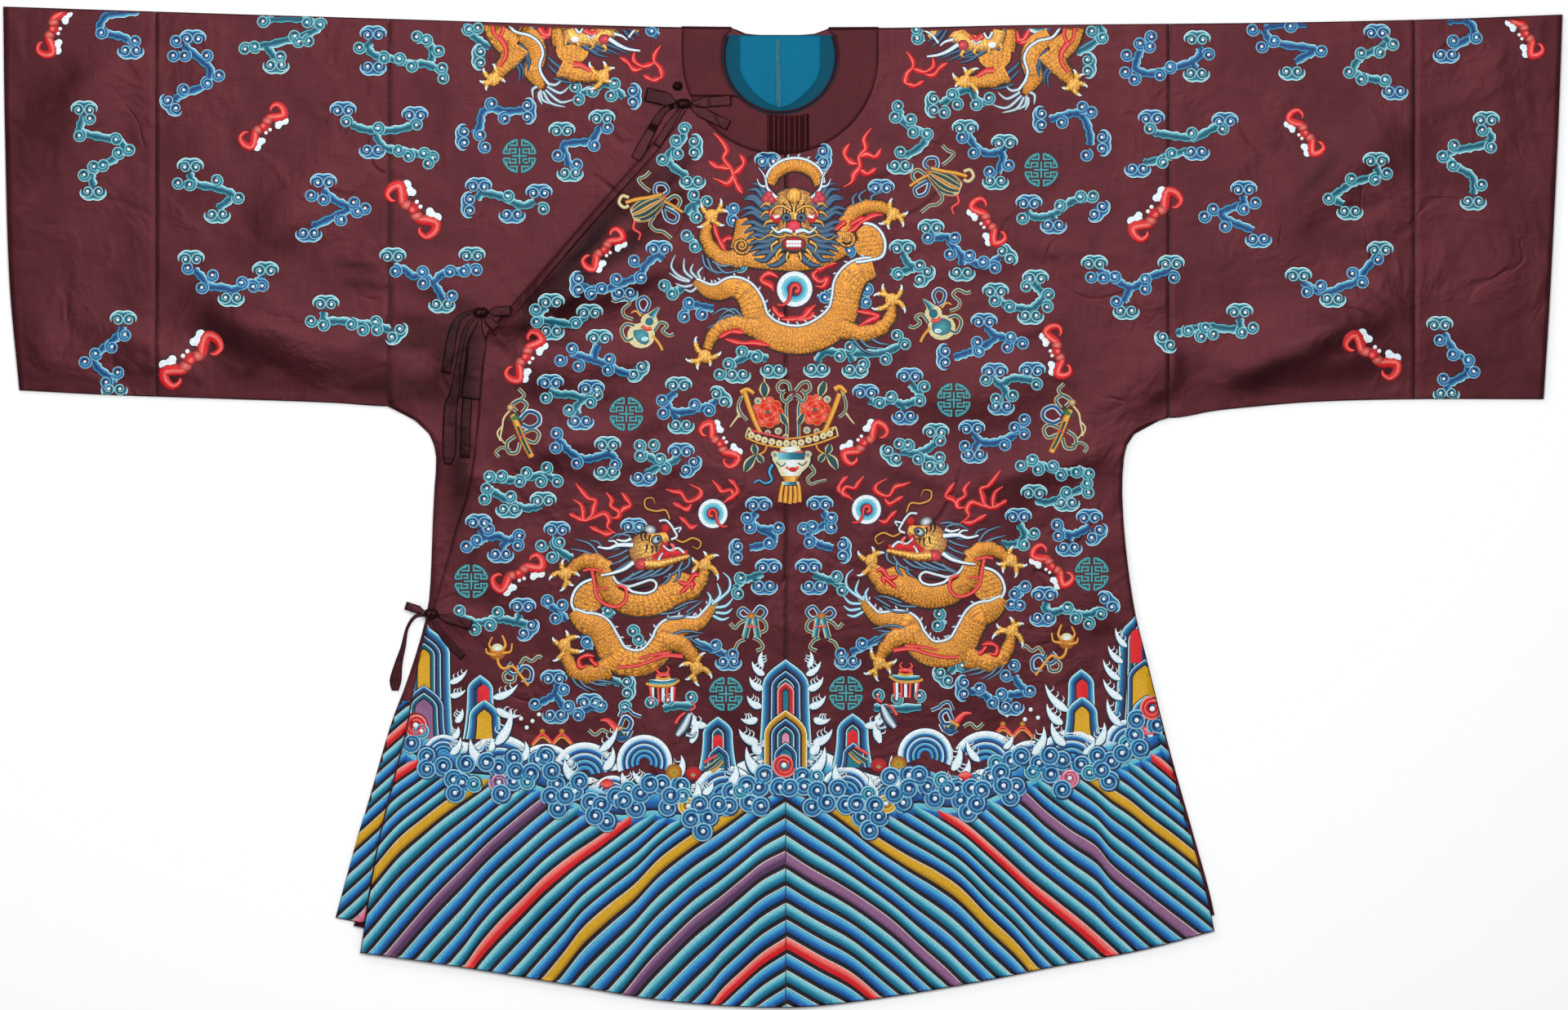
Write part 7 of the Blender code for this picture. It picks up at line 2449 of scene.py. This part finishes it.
BATS = (
    "75,8 58,64 -1", "345,136 303,176 -1", "484,230 530,280 -1", "260,416 204,462 1", "760,288 722,326 -1",
    "660,413 630,463 -1", "1194,250 1222,296 1", "1436,238 1390,284 1", "1582,142 1612,186 1",
    "1656,414 1708,452 -1",
    "1854,18 1880,66 1", "1286,404 1300,458 1", "662,690 610,718 -1", "1268,676 1306,714 1",
    "866,521 900,564 -1",
    "1078,522 1036,560 1",
)
ROUNDELS = "636,191 1275,208 767,507 1168,490 577,712 1337,703 889,850 1036,849"
motifs = new_drawing()
for text in BATS:
    first, last, side = text.split()
    bat(motifs, spots(first)[0], spots(last)[0], int(side))
for spot in spots(ROUNDELS):
    roundel(motifs, spot)
for rows, x, y, mirrored in (
    (FAN, 1150, 218, False), (FAN, 800, 250, True), (GOURD, 1145, 385, False), (GOURD, 793, 395, True),
    (SWORD, 633, 518, False), (SWORD, 1305, 512, True), (CORAL, 625, 808, False), (CORAL, 1290, 795, True),
    (CLAPPERS, 920, 765, False), (CLAPPERS, 1006, 765, True),
    (HORN, 749, 890, False), (HORN, 1176, 882, True),
    (PAVILION, 812, 831, False), (PAVILION, 1109, 826, True),
    (CHEVRON, 664, 902, False), (CHEVRON, 688, 902, False),
    (CHEVRON, 1228, 893, False), (CHEVRON, 1252, 893, False),
):
    motif(motifs, rows, x, y, mirrored)
for x, y in spots("940,505 998,502"):  # peonies of ruffled petals, each edged with gold
    for ring, (petals, far, size) in enumerate(((9, 14.5, 6.0), (8, 9.0, 5.4), (5, 4.0, 4.4))):
        for k in range(petals):
            turn = math.tau * k / petals + ring
            spot = (x + far * math.cos(turn), y + far * math.sin(turn))
            high = 0.4 + 0.35 * ring + 0.02 * k
            disc(motifs, spot, size, "gold", "gold", high, 0.1, turn=turn, stretch=0.85, sides=12)
            disc(
                motifs, spot, size * 0.84, "red", "salmon" if k % 2 else "red", high + 0.06, 0.4, turn=turn,
                stretch=0.85, sides=10,
            )
    disc(motifs, (x, y), 2.6, "leaf", "green", 1.6, 0.2, sides=8)
motif(motifs, BASKET, level=0.7)
motif(motifs, TAPE, level=0.1)
motif(motifs, TREASURES, level=1.6)
motif(motifs, TREASURES, 1925, -10, mirrored=True, level=1.6)
for spot in spots("652,883 645,891 1233,876 1255,881 1262,869 1271,879 660,875 638,880"):  # flecks of spray
    disc(motifs, spot, 2.6, "white", "white", 0.4, 0.3, sides=8)
lay(motifs, "small_motifs", floss, front_panels)


# ---- Ties: three pairs of satin strings in bows, with a ball button at the neck ----
# Each string is a narrow tube of satin pressed flat. A pair is knotted into a bow where the
# flap meets the side, with gathered loops and hanging tails, and rests on the cloth.

KNOTS = {"neck": (-0.1114, 0.4528), "armpit": (-0.3390, 0.2185), "waist": (-0.3950, -0.1197)}
KNOT_SIZE = (0.0085, 0.0065, 0.0042)  # half length, half width, half height
TIE_TAILS = {  # x, y, width
    "tie_neck_tail_1": (
        (-0.1170, 0.4520, 0.0035), (-0.1343, 0.4440, 0.0080), (-0.1492, 0.4200, 0.0110),
        (-0.1600, 0.4000, 0.0125), (-0.1650, 0.3905, 0.0110),
    ),
    "tie_neck_tail_2": (
        (-0.1135, 0.4480, 0.0035), (-0.1220, 0.4360, 0.0070), (-0.1310, 0.4230, 0.0090),
        (-0.1415, 0.4050, 0.0090),
    ),
    "tie_armpit_tail_1": (
        (-0.3450, 0.2200, 0.0035), (-0.3610, 0.2135, 0.0060), (-0.3693, 0.1990, 0.0100),
        (-0.3742, 0.1750, 0.0115), (-0.3782, 0.1500, 0.0100),
    ),
    "tie_armpit_tail_2": (
        (-0.3440, 0.2148, 0.0035), (-0.3555, 0.2000, 0.0050), (-0.3635, 0.1650, 0.0060),
        (-0.3680, 0.1300, 0.0110), (-0.3730, 0.1100, 0.0150), (-0.3745, 0.0650, 0.0155),
        (-0.3755, 0.0475, 0.0090),
    ),
    "tie_armpit_tail_3": (
        (-0.3385, 0.2130, 0.0035), (-0.3440, 0.1900, 0.0080), (-0.3540, 0.1200, 0.0110),
        (-0.3570, 0.0550, 0.0110),
    ),
    "tie_waist_tail_1": (
        (-0.4010, -0.1210, 0.0035), (-0.4125, -0.1230, 0.0040), (-0.4215, -0.1360, 0.0035),
        (-0.4260, -0.1570, 0.0055), (-0.4310, -0.1750, 0.0085), (-0.4345, -0.1940, 0.0130),
        (-0.4350, -0.2060, 0.0080),
    ),
    "tie_waist_tail_2": (
        (-0.3940, -0.1255, 0.0035), (-0.3860, -0.1380, 0.0070), (-0.3740, -0.1530, 0.0090),
        (-0.3585, -0.1690, 0.0080),
    ),
}
TIE_LOOPS = {  # knot, direction in degrees, length, width
    "tie_neck_loop_1": ("neck", 166, 0.044, 0.016),
    "tie_neck_loop_2": ("neck", 4, 0.054, 0.012),
    "tie_neck_loop_3": ("neck", -26, 0.057, 0.012),
    "tie_armpit_loop_1": ("armpit", 3, 0.034, 0.011),
    "tie_armpit_loop_2": ("armpit", -97, 0.098, 0.021),
    "tie_armpit_loop_3": ("armpit", -46, 0.026, 0.010),
    "tie_waist_loop_1": ("waist", 162, 0.030, 0.009),
    "tie_waist_loop_2": ("waist", -16, 0.048, 0.011),
}
LOOP_RISE = 0.0042  # height of a loop's upper ribbon over its lower one
GATHERED = 0.0035  # width of a loop where it leaves its knot
BALL_AT, BALL_RADIUS = (-0.1180, 0.4725), 0.0056

tie_satin = satin("tie_satin", (0.006, 0.0012, 0.0019), (0.034, 0.0072, 0.0094), 0.30, 0.0016)


def pile_top(built, spot, reach):
    """Height of the highest surface within reach of a place."""
    highest = 0.0
    for dx in (-reach, -reach / 2, 0, reach / 2, reach):
        for dy in (-reach, -reach / 2, 0, reach / 2, reach):
            above = Vector((spot[0] + dx, spot[1] + dy, 0.1))
            for tree in built:
                hit = tree.ray_cast(above, Vector((0, 0, -1)))[0]
                if hit:
                    highest = max(highest, hit.z)
    return highest


TIE_GROOVE = 0.0004  # depth of the creases along a string


def ribbon(name, line, widths, side_of):
    """A strip along line, creased lengthwise; side_of(k) is its sideways direction."""
    cells = 6

    def place(column, row):
        share = 0.5 - column / cells
        wave = math.cos(2 * math.pi * share * 1.5 + row * 0.35)
        groove = TIE_GROOVE * wave * min(1.0, widths[row] / 0.012)
        return line[row] + side_of(row) * share * widths[row] + Vector((0, 0, abs(groove)))

    return sheet(name, cells, len(line) - 1, place, tie_satin, wall=TRIM)


TAIL_STEPS = 8  # cells between two places of a tail's table


def tie_tail(name, built, table):
    """A hanging tail through the table's places, lying on whatever is highest under it."""
    steps = TAIL_STEPS * (len(table) - 1)
    stops = []
    for k in range(steps + 1):
        x, y, width = (
            follow([(i, row[c]) for i, row in enumerate(table)], k / TAIL_STEPS) for c in range(3)
        )
        stops.append((Vector((x, y)), width))
    line = []
    for spot, width in stops:
        rest = pile_top(built, spot, width / 2 + 0.0020)
        line.append(Vector((spot.x, spot.y, rest + (SEAM if rest else 0.0) + TRIM)))

    def side_of(k):
        ahead = (stops[min(k + 1, steps)][0] - stops[max(k - 1, 0)][0]).normalized()
        return Vector((-ahead.y, ahead.x, 0))

    length = sum((a - b).length for a, b in zip(line, line[1:]))
    middle = sum(width for spot, width in stops) / len(stops)
    return ribbon(name, line, [width for spot, width in stops], side_of), (middle, length)


def tie_loop(name, built, knot, degrees, length, width):
    """A loop of a bow: out along the cloth, round, and back above itself."""
    direction = math.radians(degrees)
    ahead = Vector((math.cos(direction), math.sin(direction), 0))
    sideways = Vector((-ahead.y, ahead.x, 0))
    start = 1 / math.hypot(ahead.x / KNOT_SIZE[0], ahead.y / KNOT_SIZE[1]) + SEAM
    steps, bend_steps = 14, 8
    radius = LOOP_RISE / 2
    run = length - radius - start
    profile = [(start + run * k / steps, 0.0) for k in range(steps)]
    for k in range(bend_steps + 1):
        turn = math.pi * k / bend_steps
        profile.append((start + run + radius * math.sin(turn), radius - radius * math.cos(turn)))
    profile += [(start + run - run * k / steps, LOOP_RISE) for k in range(1, steps + 1)]
    widths = [GATHERED + (width - GATHERED) * smooth(3 * (at - start) / run) for at, up in profile]
    centre = Vector((*knot, 0))
    rest = max(pile_top(built, centre + ahead * at, half) for (at, up), half in zip(
        profile[:steps + bend_steps], [w / 2 + 0.0003 for w in widths],
    ))
    line = [centre + ahead * at + Vector((0, 0, rest + SEAM + up)) for at, up in profile]
    made = ribbon(name, line, widths, lambda k: -sideways)
    return made, (sum(widths) / len(widths), sum((a - b).length for a, b in zip(line, line[1:])))


def knot_ball(name, built, spot, half_sizes):
    """A wound knot or ball button: a ball pulled in at the waist, its turns raised across it."""
    form = bmesh.new()
    bmesh.ops.create_uvsphere(form, u_segments=40, v_segments=24, radius=1.0)
    base = pile_top(built, spot, half_sizes[1] * 0.7) + SEAM
    for vertex in form.verts:
        waist = 1 - 0.16 * math.exp(-((vertex.co.x / 0.28) ** 2))
        turns = 1 + 0.05 * math.sin(9 * vertex.co.x + 4 * vertex.co.y)
        vertex.co = Vector((
            spot[0] + vertex.co.x * half_sizes[0], spot[1] + vertex.co.y * half_sizes[1] * waist * turns,
            base + half_sizes[2] * (1 + vertex.co.z * waist * turns),
        ))
    cloth_object(name + "_wound", mesh_from(form, name), tie_satin, 0, [name])


garment = list(laid.values())
for name, table in TIE_TAILS.items():
    tie_tail(name, garment, table)
with_tails = list(laid.values())
for tie, spot in KNOTS.items():
    knot_ball(f"tie_{tie}_knot", with_tails, spot, KNOT_SIZE)
knot_ball("neck_ball", with_tails, BALL_AT, (BALL_RADIUS,) * 3)
for name, (knot, degrees, length, width) in TIE_LOOPS.items():
    tie_loop(name, with_tails, KNOTS[knot], degrees, length, width)
